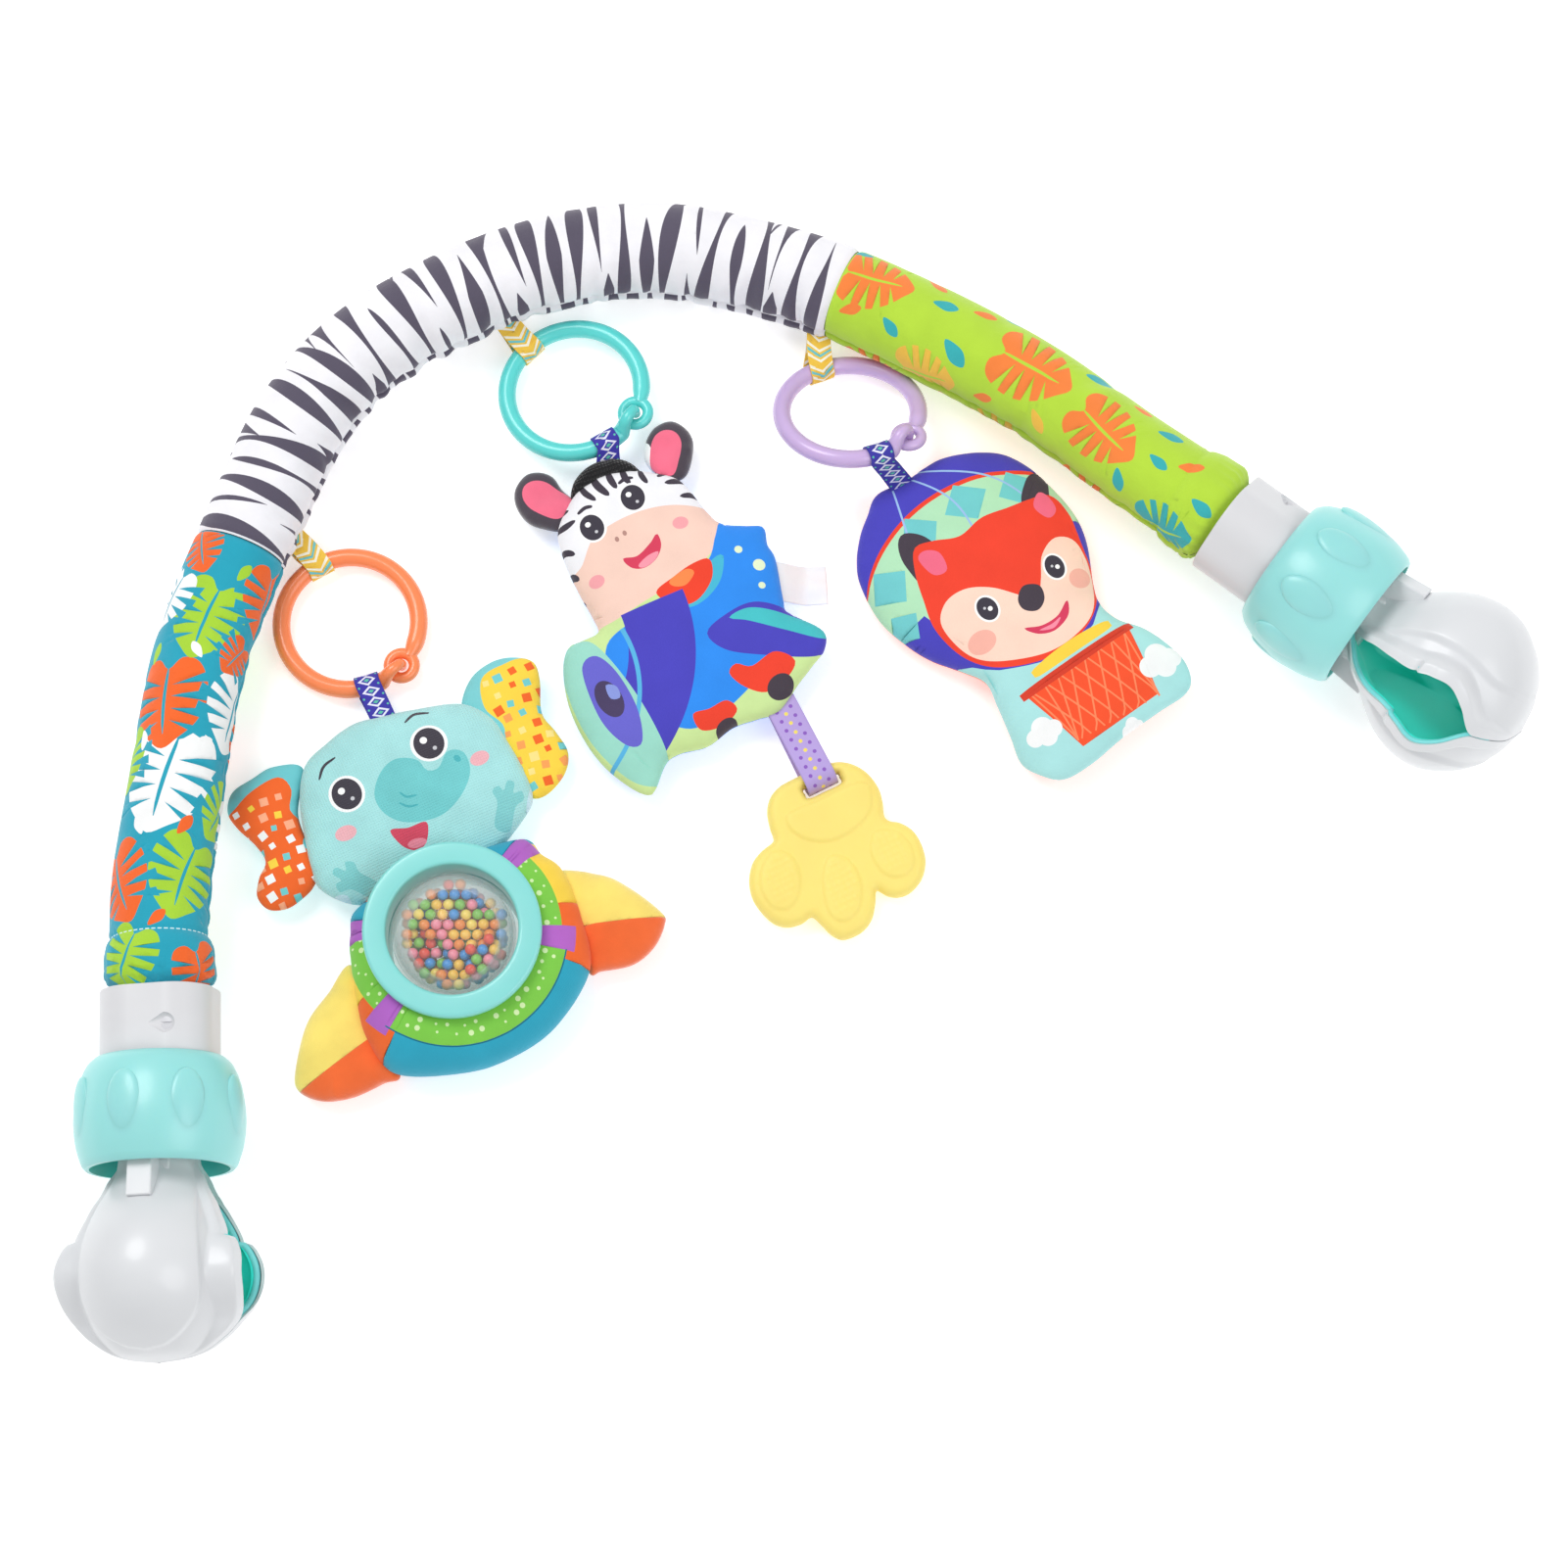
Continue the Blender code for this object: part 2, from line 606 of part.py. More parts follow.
ARCH_PATH = build_arch_path()
ARCH_STEPS = [0.0]
for lower, upper in zip(ARCH_PATH, ARCH_PATH[1:]):
    ARCH_STEPS.append(ARCH_STEPS[-1] + (upper - lower).length)
ARCH_LENGTH = ARCH_STEPS[-1]
LEFT_AXIS = heading(LEFT_HEADING)
RIGHT_AXIS = heading(RIGHT_HEADING)


def arch_point(distance):
    if distance < 0.0:
        return ARCH_PATH[0] - LEFT_AXIS * distance
    if distance > ARCH_LENGTH:
        return ARCH_PATH[-1] + RIGHT_AXIS * (distance - ARCH_LENGTH)
    index = 0
    while index < len(ARCH_STEPS) - 2 and ARCH_STEPS[index + 1] < distance:
        index += 1
    part = (distance - ARCH_STEPS[index]) / (ARCH_STEPS[index + 1] - ARCH_STEPS[index])
    return ARCH_PATH[index].lerp(ARCH_PATH[index + 1], part)


def arch_frame(distance):
    """Point, way along, way to the inside of the arch, way up."""
    reach = SLEEVE_RADIUS / 4.0
    along = (arch_point(distance + reach) - arch_point(distance - reach)).normalized()
    inside = along.cross(Vector((0.0, 0.0, 1.0))).normalized()
    up = inside.cross(along).normalized()
    return arch_point(distance), along, inside, up


# The left end runs down its clamp's axis, so its path distance there counts backwards.

def sleeve_radius(distance):
    """Outer radius, gathered down to each collar."""
    end = min(distance, ARCH_LENGTH - distance)
    return blend(COLLAR_BORE_RADIUS - GAP, SLEEVE_RADIUS, ease(end / SLEEVE_GATHER))


def sleeve_stops(start, end):
    """Distances of the sleeve's rows, closer together where it is gathered."""
    gathered = [-SLEEVE_TUCK, 0.0, SLEEVE_GATHER / 2.0, SLEEVE_GATHER]
    low = gathered if start < 0.0 else [start]
    high = [ARCH_LENGTH - d for d in reversed(gathered)] if end > ARCH_LENGTH else [end]
    count = round((high[0] - low[-1]) / SLEEVE_STEP)
    return low + [blend(low[-1], high[0], i / count) for i in range(1, count)] + high


def sleeve_surface(stops, grow):
    def place(across, along):
        distance = stops[round(along * (len(stops) - 1))]
        angle = -2.0 * math.pi * (across % 1.0)
        middle, _, inside, up = arch_frame(distance)
        radius = sleeve_radius(distance) + grow
        point = middle + (inside * math.cos(angle) + up * math.sin(angle)) * radius
        point.z = max(point.z, -grow)
        return point
    return place


def build_sleeve(name, start, end, colour):
    stops = sleeve_stops(start, end)
    rows = len(stops) - 1
    mesh = bent_grid(name, SLEEVE_SIDES, rows, sleeve_surface(stops, 0.0))
    obj = new_object(name, mesh, ROOT, colour=colour, roughness=0.9)
    solidify(obj, SLEEVE_WALL)
    cutter = bent_grid(name + "_space", SLEEVE_SIDES, rows, sleeve_surface(stops, GAP), caps=True)
    return obj, new_cutter(name + "_space", cutter, ROOT)


def build_arch():
    seams = [share * ARCH_LENGTH for share in SLEEVE_SEAM_SHARES]
    sleeves = (
        ("sleeve_left", -SLEEVE_TUCK, seams[0] - GAP / 2.0, (0.10, 0.56, 0.66)),
        ("sleeve_middle", seams[0] + GAP / 2.0, seams[1] - GAP / 2.0, (0.86, 0.86, 0.88)),
        ("sleeve_right", seams[1] + GAP / 2.0, ARCH_LENGTH + SLEEVE_TUCK, (0.55, 0.75, 0.12)),
    )
    cutters = [build_sleeve(*row)[1] for row in sleeves]
    wire_points = [arch_point(blend(-WIRE_TUCK, ARCH_LENGTH + WIRE_TUCK, i / FOAM_STEPS))
                   for i in range(FOAM_STEPS + 1)]
    new_object("arch_wire", wire_mesh("arch_wire", wire_points, WIRE_RADIUS), ROOT, colour=(0.5, 0.5, 0.52),
               roughness=0.4, metallic=1.0)
    foam_points = [p for p in wire_points]
    foam_points = [arch_point(FOAM_SETBACK)] + [
        p for i, p in enumerate(wire_points)
        if 2.0 * FOAM_SETBACK < blend(-WIRE_TUCK, ARCH_LENGTH + WIRE_TUCK, i / FOAM_STEPS)
        < ARCH_LENGTH - 2.0 * FOAM_SETBACK
    ] + [arch_point(ARCH_LENGTH - FOAM_SETBACK)]
    foam = new_object("foam_core", wire_mesh("foam_core", foam_points, FOAM_RADIUS), ROOT,
                      colour=(0.85, 0.84, 0.78), roughness=1.0)
    cut(foam, new_cutter("wire_bore", wire_mesh("wire_bore", wire_points, WIRE_BORE_RADIUS), ROOT))
    return cutters


# Clamps. Each is built in its own frame: X across the jaws, Y the way they open, Z out along the clamp.

def clamp_matrix(rim, axis, roll):
    level = Vector((0.0, 0.0, 1.0))
    across = level.cross(axis).normalized()
    opening = axis.cross(across).normalized()
    frame = Matrix((across, opening, axis)).transposed().to_4x4()
    return Matrix.Translation(rim) @ frame @ Matrix.Rotation(math.radians(roll), 4, "Z")


def collar_section(scale):
    def at(angle):
        power = 2.0 / COLLAR_SQUARENESS
        c, s = math.cos(angle), math.sin(angle)
        return (math.copysign(abs(c) ** power, c) * COLLAR_WIDTH / 2.0 * scale,
                math.copysign(abs(s) ** power, s) * COLLAR_DEPTH / 2.0 * scale)
    return at


def build_collar(side, frame):
    flange_start = COLLAR_LENGTH - FLANGE_THICKNESS
    heights = (0.0, COLLAR_CHAMFER, flange_start + GAP)
    scales = (1.0 - 2.0 * COLLAR_CHAMFER / COLLAR_WIDTH, 1.0, 1.0)

    def place(across, along):
        row = round(along * (len(heights) - 1))
        x, y = collar_section(scales[row])(-2.0 * math.pi * (across % 1.0))
        return Vector((x, y, heights[row]))

    name = "collar_" + side
    collar = new_object(name, bent_grid(name, RING_SEGMENTS, len(heights) - 1, place, caps=True), frame,
                        colour=(0.62, 0.60, 0.58), roughness=0.35)
    join(collar, new_cutter("flange_" + side, round_bar("flange", FLANGE_RADIUS, (0.0, 0.0, flange_start),
                                                        (0.0, 0.0, COLLAR_LENGTH), RING_SEGMENTS), frame))
    bore_end = COLLAR_LENGTH - COLLAR_END_WALL
    cut(collar, new_cutter("collar_bore_" + side, round_bar(
        "collar_bore", COLLAR_BORE_RADIUS, (0.0, 0.0, -OVERRUN), (0.0, 0.0, bore_end), RING_SEGMENTS), frame))
    cut(collar, new_cutter("stem_hole_" + side, block(
        "stem_hole", (-STEM_WIDTH / 2.0 - GAP, -STEM_DEPTH / 2.0 - GAP, bore_end - OVERRUN),
        (STEM_WIDTH / 2.0 + GAP, STEM_DEPTH / 2.0 + GAP, COLLAR_LENGTH + OVERRUN)), frame))
    cut(collar, new_cutter("recess_" + side, recess_mesh(), frame))
    return collar


def recess_mesh():
    """Teardrop pocket over the screw, its point towards the middle of the collar."""
    half = RECESS_WIDTH / 2.0
    tail = RECESS_LENGTH - half
    steps = 12
    points = []
    for i in range(steps + 1):
        angle = math.radians(blend(-120.0, 120.0, i / steps))
        points.append((half * math.cos(angle), half * math.sin(angle)))
    points.append((-tail, 0.0))
    depth = COLLAR_DEPTH / 2.0 - RECESS_FLOOR + OVERRUN
    mesh = flat_outline("recess", points, depth)
    lift = Matrix.Translation((SCREW_PLACE[0], RECESS_FLOOR + depth / 2.0, SCREW_PLACE[1]))
    mesh.transform(lift @ Matrix.Rotation(math.radians(-90.0), 4, "X"))
    return mesh


def build_anchor(side, frame):
    """Plug on the wire's end, and the screw that holds it through the collar."""
    across, along = SCREW_PLACE
    name = "anchor_plug_" + side
    plug = new_object(name, round_bar(name, PLUG_RADIUS, (0.0, 0.0, PLUG_START),
                                      (0.0, 0.0, PLUG_START + PLUG_LENGTH), RING_SEGMENTS // 2), frame,
                      colour=(0.5, 0.5, 0.5), roughness=0.5)
    cut(plug, new_cutter("plug_bore_" + side, round_bar(
        "plug_bore", WIRE_BORE_RADIUS, (0.0, 0.0, PLUG_START - OVERRUN), (0.0, 0.0, WIRE_TUCK + GAP), 12), frame))
    shank_end = RECESS_FLOOR + GAP - SCREW_LENGTH
    hole = new_cutter("screw_hole_" + side, round_bar(
        "screw_hole", SCREW_SHANK_RADIUS + GAP, (across, shank_end - GAP, along),
        (across, RECESS_FLOOR + OVERRUN, along), 12), frame)
    cut(plug, hole)
    cut(bpy.data.objects["collar_" + side], hole)
    name = "anchor_screw_" + side
    screw = new_object(name, round_bar(
        name, SCREW_HEAD_RADIUS, (across, RECESS_FLOOR + GAP, along),
        (across, RECESS_FLOOR + GAP + SCREW_HEAD_HEIGHT, along), 16), frame, colour=(0.75, 0.74, 0.72),
        roughness=0.3)
    join(screw, new_cutter("shank_" + side, round_bar(
        "shank", SCREW_SHANK_RADIUS, (across, shank_end, along),
        (across, RECESS_FLOOR + GAP + SCREW_HEAD_HEIGHT / 2.0, along), 12), frame))
    head_top = RECESS_FLOOR + GAP + SCREW_HEAD_HEIGHT
    cut(screw, new_cutter("screw_slot_" + side, block(
        "screw_slot", (across - SCREW_HEAD_RADIUS - OVERRUN, head_top - SCREW_SLOT, along - SCREW_SLOT / 2.0),
        (across + SCREW_HEAD_RADIUS + OVERRUN, head_top + OVERRUN, along + SCREW_SLOT / 2.0)), frame))


def build_lock_ring(side, frame):
    name = "lock_ring_" + side
    flange_start = COLLAR_LENGTH - FLANGE_THICKNESS
    groove_radius = FLANGE_RADIUS + RING_GROOVE_CLEARANCE
    groove = (flange_start - RING_GROOVE_CLEARANCE, COLLAR_LENGTH + RING_GROOVE_CLEARANCE)
    mouth = RING_START + RING_LENGTH
    profile = [(RING_RADIUS * radius, RING_START + RING_LENGTH * along) for along, radius in RING_BARREL_SHARES]
    profile += [
        (RING_LIP_RADIUS, RING_START), (RING_LIP_RADIUS, groove[0]), (groove_radius, groove[0]),
        (groove_radius, groove[1]), (RING_THREAD_RADIUS, groove[1]), (RING_THREAD_RADIUS, mouth - RING_FLARE),
        (RING_MOUTH_RADIUS, mouth),
    ]
    ring = turned(name, profile, RING_SEGMENTS, frame, colour=(0.33, 0.74, 0.72), roughness=0.35)
    phase = {"left": 17.0, "right": 22.0}[side]
    middle = RING_START + RING_LENGTH / 2.0
    for i in range(PAD_COUNT):
        around = Matrix.Rotation(math.radians(phase + 360.0 * i / PAD_COUNT), 4, "Z")
        out = RING_RADIUS + PAD_RISE - PAD_DEPTH
        spot = around @ Matrix.Translation((out, 0.0, middle))
        pad = ellipsoid("pad", (PAD_DEPTH, PAD_WIDTH / 2.0, PAD_LENGTH / 2.0), spot, 8, 6)
        join(ring, new_cutter("pad_%s_%d" % (side, i), pad, frame))
    return ring


def build_carrier(side, frame):
    name = "jaw_carrier_" + side
    top = CARRIER_START + CARRIER_THICKNESS
    carrier = new_object(name, round_bar(name, CARRIER_RADIUS, (0.0, 0.0, CARRIER_START), (0.0, 0.0, top),
                                         RING_SEGMENTS), frame, colour=(0.62, 0.60, 0.58), roughness=0.4)
    join(carrier, new_cutter("stem_" + side, block(
        "stem", (-STEM_WIDTH / 2.0, -STEM_DEPTH / 2.0, STEM_START),
        (STEM_WIDTH / 2.0, STEM_DEPTH / 2.0, CARRIER_START + GAP)), frame))
    inner = KNUCKLE_LENGTH / 2.0 + KNUCKLE_SIDE_GAP
    for sign in (-1.0, 1.0):
        tag = "%s_%d" % (side, sign)
        near, far = sorted((sign * inner, sign * (inner + EAR_THICKNESS)))
        join(carrier, new_cutter("ear_plate_" + tag, block(
            "ear_plate", (near, -PIN_OFFSET - EAR_RADIUS, top - GAP), (far, PIN_OFFSET + EAR_RADIUS, PIN_PLACE)),
            frame))
        for pin in (-1.0, 1.0):
            y = pin * PIN_OFFSET
            join(carrier, new_cutter("ear_end_%s_%d" % (tag, pin), round_bar(
                "ear_end", EAR_RADIUS, (near, y, PIN_PLACE), (far, y, PIN_PLACE), 16), frame))
    for pin in (-1.0, 1.0):
        y = pin * PIN_OFFSET
        reach = inner + EAR_THICKNESS + OVERRUN
        cut(carrier, new_cutter("ear_hole_%s_%d" % (side, pin), round_bar(
            "ear_hole", PIN_RADIUS + PIN_CLEARANCE, (-reach, y, PIN_PLACE), (reach, y, PIN_PLACE), 12), frame))
    return carrier


def station(share, column):
    """A value along the head, from the table of stations."""
    rows = JAW_STATION_SHARES
    for low, high in zip(rows, rows[1:]):
        if share <= high[0]:
            return blend(low[column], high[column], (share - low[0]) / (high[0] - low[0]))
    return rows[-1][column]


def jaw_section(share, angle, inset, lip_drop):
    """A point of the half shell at a share of the head's length; the angle goes from lip to lip."""
    half_width = HEAD_HALF_WIDTH * station(share, 1) - inset
    half_height = HEAD_HALF_HEIGHT * station(share, 2) - inset
    lip = max(LIP_GAP, LIP_HEIGHT * station(share, 3) - lip_drop)
    if half_height <= lip:
        return 0.0, lip
    first = math.asin(lip / half_height)
    angle = blend(first, math.pi - first, angle / math.pi)
    return half_width * math.cos(angle), half_height * math.sin(angle)


def build_jaw(side, which, sign, frame):
    """Half shell with a hinge knuckle and the rib that the ring's mouth presses on."""
    name = "jaw_%s_%s" % (which, side)
    tag = "%s_%s" % (which, side)
    mirror = Matrix.Diagonal((1.0, sign, 1.0, 1.0))
    rows = len(JAW_STATION_SHARES) - 1

    def place(across, along):
        share = JAW_STATION_SHARES[round(along * rows)][0]
        x, y = jaw_section(share, math.pi * across, 0.0, 0.0)
        return Vector((x, y * sign, HEAD_START + HEAD_LENGTH * share)) - hinge

    def part(mesh):
        mesh.transform(mirror)
        if sign < 0.0:
            mesh.flip_normals()
        mesh.transform(Matrix.Translation(-hinge))
        return mesh

    hinge = Vector((0.0, PIN_OFFSET * sign, PIN_PLACE))
    holder = empty("hinge_" + tag, frame, location=hinge)
    shell = bent_grid(name, JAW_SECTION_STEPS, rows, place, flip=sign < 0.0)
    jaw = new_object(name, shell, holder, colour=(0.66, 0.65, 0.64), roughness=0.25)
    solidify(jaw, JAW_WALL)
    join(jaw, new_cutter("web_" + tag, part(block(
        "web", (-BLOCK_HALF_WIDTH, BLOCK_LOW, PIN_PLACE),
        (BLOCK_HALF_WIDTH, BLOCK_HIGH, PIN_PLACE + BLOCK_REACH))), holder))
    join(jaw, new_cutter("knuckle_" + tag, part(round_bar(
        "knuckle", KNUCKLE_RADIUS, (-KNUCKLE_LENGTH / 2.0, PIN_OFFSET, PIN_PLACE),
        (KNUCKLE_LENGTH / 2.0, PIN_OFFSET, PIN_PLACE), 16)), holder))
    rib = block("rib", (-RIB_WIDTH / 2.0, 0.0, 0.0), (RIB_WIDTH / 2.0, 1.0, 1.0))
    for vert in rib.vertices:
        end = round(vert.co.z)
        vert.co.y = RIB_TOPS[end] if vert.co.y > 0.5 else RIB_ROOTS[end]
        vert.co.z = (RIB_START, RIB_END)[end]
    join(jaw, new_cutter("rib_" + tag, part(rib), holder))
    cut(jaw, new_cutter("pin_hole_" + tag, part(round_bar(
        "pin_hole", PIN_RADIUS + PIN_CLEARANCE, (-KNUCKLE_LENGTH, PIN_OFFSET, PIN_PLACE),
        (KNUCKLE_LENGTH, PIN_OFFSET, PIN_PLACE), 12)), holder))
    far = HEAD_HALF_WIDTH + OVERRUN
    other_half = new_cutter("other_jaw_" + tag, part(block(
        "other_jaw", (-far, -far, HEAD_START - OVERRUN), (far, LIP_GAP, HEAD_START + HEAD_LENGTH + OVERRUN))),
        holder)
    cut(jaw, other_half)
    return holder, hinge, other_half


def liner_inset(row):
    """Radial room for the jaw's wall, more where the head narrows steeply."""
    steepest = 0.0
    for low, high in zip(JAW_STATION_SHARES[row - 1:row + 1], JAW_STATION_SHARES[row:row + 2]):
        rise = HEAD_HALF_WIDTH * (high[1] - low[1]) / (HEAD_LENGTH * (high[0] - low[0]))
        steepest = max(steepest, abs(rise))
    return (JAW_WALL + LINER_PLAY) * math.hypot(1.0, steepest) + LINER_PLAY


def build_liner(side, which, sign, holder, hinge, other_half):
    """Rubber liner inside a jaw, its lip standing just past the jaw's."""
    name = "liner_%s_%s" % (which, side)
    first, last = LINER_STATIONS

    def place(across, along):
        row = first + round(along * (last - first))
        share = JAW_STATION_SHARES[row][0]
        x, y = jaw_section(share, math.pi * across, liner_inset(row), LINER_LIP)
        lip = max(LIP_GAP, LIP_HEIGHT * station(share, 3) - LINER_LIP)
        y = max(min(y, GRIP_HEIGHT), lip)
        return Vector((x, y * sign, HEAD_START + HEAD_LENGTH * share)) - hinge

    mesh = bent_grid(name, JAW_SECTION_STEPS, last - first, place, flip=sign < 0.0)
    liner = new_object(name, mesh, holder, colour=(0.10, 0.62, 0.58), roughness=0.6)
    solidify(liner, LINER_WALL)
    cut(liner, other_half)


def build_clamp(side, rim, axis, roll):
    frame = empty("clamp_" + side, ROOT, matrix=clamp_matrix(rim, axis, roll))
    build_collar(side, frame)
    build_anchor(side, frame)
    build_lock_ring(side, frame)
    build_carrier(side, frame)
    for which, sign in (("upper", 1.0), ("lower", -1.0)):
        holder, hinge, other_half = build_jaw(side, which, sign, frame)
        build_liner(side, which, sign, holder, hinge, other_half)
        reach = KNUCKLE_LENGTH / 2.0 + KNUCKLE_SIDE_GAP + EAR_THICKNESS
        name = "pin_%s_%s" % (which, side)
        new_object(name, round_bar(name, PIN_RADIUS, (-reach, hinge.y, hinge.z), (reach, hinge.y, hinge.z), 12),
                   frame, colour=(0.6, 0.6, 0.62), roughness=0.3, metallic=1.0)


# Ribbons

def ribbon_loop(name, root, root_across, wire, wire_along, wire_radius, width, parent, origin, **finish):
    """A ribbon sewn at its root that goes round a wire and back. Its edges turn from one way to the other."""
    along = (wire - root).normalized()
    root_up = root_across.cross(along).normalized()
    if root_up.z < 0.0:
        root_up = -root_up
    wire_out = (along - wire_along * along.dot(wire_along)).normalized()
    wire_up = wire_along.cross(wire_out)
    if wire_up.z < 0.0:
        wire_up = -wire_up
    middle = root.lerp(wire, RIBBON_BOW_SHARE)
    middle_across = root_across.lerp(wire_along, RIBBON_BOW_SHARE).normalized()
    middle_up = root_up.lerp(wire_up, RIBBON_BOW_SHARE).normalized()
    bight = wire_radius + RIBBON_SLACK + RIBBON_THICKNESS / 2.0
    spread = RIBBON_THICKNESS / 2.0 + GAP
    bow = blend(spread, bight, RIBBON_BOW_SHARE)
    path = [(root + root_up * spread, root_across), (middle + middle_up * bow, middle_across)]
    for i in range(RIBBON_BIGHT_STEPS + 1):
        angle = math.radians(blend(RIBBON_WRAP, -RIBBON_WRAP, i / RIBBON_BIGHT_STEPS))
        path.append((wire + (wire_out * math.cos(angle) + wire_up * math.sin(angle)) * bight, wire_along))
    path += [(middle - middle_up * bow, middle_across), (root - root_up * spread, root_across)]

    def place(across, run):
        centre, side = path[round(run * (len(path) - 1))]
        return centre + side * width * (across - 0.5) - origin

    obj = new_object(name, bent_grid(name, 2, len(path) - 1, place), parent, **finish)
    solidify(obj, RIBBON_THICKNESS, 0.0)
    return obj


# Stuffed shapes

def outline_points(shares, size, spot, turn_angle, count):
    """A sewn outline from shares of a size, turned and set on the floor plan."""
    points = [Vector((x * size[0], y * size[1])) for x, y in shares]
    even = even_curve(points, count, True)
    area = sum(a.cross(b) for a, b in zip(even, even[1:] + even[:1]))
    if area < 0.0:
        even.reverse()
    return [spot + turn(p, turn_angle) for p in even]


def pillow_mesh(name, outline, centre, seam, thickness, rings, fullness, edge, grow=0.0, floor=0.0, origin=None):
    """A UV sphere pulled out to a sewn outline, with a flat underside where it lies on the floor."""
    count = len(outline)
    bm = bmesh.new()
    bmesh.ops.create_uvsphere(bm, u_segments=count, v_segments=rings, radius=1.0)
    origin = origin or Vector((0.0, 0.0, 0.0))
    for vert in bm.verts:
        index = round(math.atan2(vert.co.y, vert.co.x) / (2.0 * math.pi) * count) % count
        out = math.hypot(vert.co.x, vert.co.y)
        edge_point = outline[index]
        way = (outline[(index + 1) % count] - outline[index - 1]).normalized()
        edge_point = edge_point + Vector((way.y, -way.x)) * grow
        flat = centre.lerp(edge_point, out)
        swell = max(0.0, 1.0 - min(out, 1.0) ** fullness) ** edge
        height = seam + math.copysign((thickness / 2.0 + grow) * swell + (grow if out < 0.999 else 0.0), vert.co.z)
        if abs(vert.co.z) < 0.001:
            height = seam
        vert.co = Vector((flat.x, flat.y, max(height, floor - grow))) - origin
    return to_mesh(bm, name)


def build_pillow(name, shares, size, centre_share, spot, turn_angle, seam, thickness, count, rings, parent, origin,
                 colour, fullness=PILLOW_FULLNESS, edge=PILLOW_EDGE, roughness=0.9, floor=0.0):
    """The stuffed piece, and the space round it that smaller pieces are cut to."""
    outline = outline_points(shares, size, spot, turn_angle, count)
    centre = spot + turn((centre_share[0] * size[0], centre_share[1] * size[1]), turn_angle)
    mesh = pillow_mesh(name, outline, centre, seam, thickness, rings, fullness, edge, origin=origin, floor=floor)
    obj = new_object(name, mesh, parent, colour=colour, roughness=roughness)
    space = pillow_mesh(name + "_space", outline, centre, seam, thickness, rings, fullness, edge, grow=GAP,
                        origin=origin, floor=floor)
    return obj, new_cutter(name + "_space", space, parent)


# Link rings

def ring_frame(link):
    """Ring's own frame, tilted about a level axis."""
    axis = heading(link["tilt_axis"])
    tilt = Matrix.Rotation(math.radians(-link["tilt"]), 3, axis)
    return tilt


def ring_direction(link, degrees):
    return ring_frame(link) @ heading(degrees)


def build_link(name, link, sleeve_space):
    """Ribbon on the arch, and the ring that hangs in it. Returns what the toy hangs from."""
    centreline, along, inside, up = arch_frame(link["share"] * ARCH_LENGTH)
    exit_angle = math.radians(RIBBON_EXIT)
    root = centreline + (inside * math.cos(exit_angle) + up * math.sin(exit_angle)) * SLEEVE_RADIUS
    rest = LINK_WIRE + RIBBON_SLACK + RIBBON_THICKNESS + GAP
    centre_height = rest + LINK_RADIUS * math.sin(math.radians(link["tilt"]))
    wire_offset = ring_direction(link, link["loop"]) * LINK_RADIUS
    wire = root + heading(link["heading"]) * link["reach"]
    wire.z = centre_height + wire_offset.z
    centre = wire - wire_offset
    tangent = ring_direction(link, link["loop"] - 90.0)
    deeper = root - (wire - root).normalized() * RIBBON_ROOT
    if tangent.dot(along) < 0.0:
        tangent_for_ribbon = -tangent
    else:
        tangent_for_ribbon = tangent
    loop = ribbon_loop("arch_loop_" + name, deeper, along, wire, tangent_for_ribbon, LINK_WIRE, RIBBON_WIDTH, ROOT,
                       Vector((0.0, 0.0, 0.0)), colour=(0.90, 0.82, 0.35), roughness=0.85)
    for space in sleeve_space:
        cut(loop, space)
    swing = pivot("swing_" + name, wire)
    swing["axis"] = tangent
    ring_name = "link_ring_" + name
    ring = new_object(ring_name, ring_mesh(ring_name, link, centre - wire), swing, colour=link["colour"],
                      roughness=0.35)
    join(ring, eyelet_cutter(name, link, centre - wire, swing))
    toy_wire = centre + ring_direction(link, link["toy_loop"]) * LINK_RADIUS
    toy_tangent = ring_direction(link, link["toy_loop"] + 90.0)
    return toy_wire, toy_tangent


def ring_mesh(name, link, centre):
    """Open ring whose last end rises over the eyelet and dips into it."""
    eyelet = link["eyelet"]
    normal = ring_frame(link) @ Vector((0.0, 0.0, 1.0))
    first = eyelet + math.degrees((EYELET_RADIUS + EYELET_WIRE - EYELET_OVERLAP) / LINK_RADIUS)
    last = eyelet + 360.0 - math.degrees(HOOK_REACH / LINK_RADIUS)
    points = []
    shares = []
    for i in range(LINK_STEPS):
        angle = blend(first, last, i / LINK_STEPS)
        points.append(centre + ring_direction(link, angle) * LINK_RADIUS)
        shares.append(1.0)
    for before, rise, thickness in HOOK_SHARES:
        angle = eyelet + 360.0 - math.degrees(HOOK_REACH * before / LINK_RADIUS)
        points.append(centre + ring_direction(link, angle) * LINK_RADIUS + normal * HOOK_RISE * rise)
        shares.append(thickness)
    return wire_mesh(name, points, LINK_WIRE, shares)


def eyelet_cutter(name, link, centre, parent):
    spot = centre + ring_direction(link, link["eyelet"]) * LINK_RADIUS
    bpy.ops.mesh.primitive_torus_add(major_radius=EYELET_RADIUS, minor_radius=EYELET_WIRE, major_segments=14,
                                     minor_segments=6)
    torus = bpy.context.object
    mesh = torus.data.copy()
    bpy.data.objects.remove(torus)
    mesh.transform(Matrix.Translation(spot) @ ring_frame(link).to_4x4())
    return new_cutter("eyelet_" + name, mesh, parent)


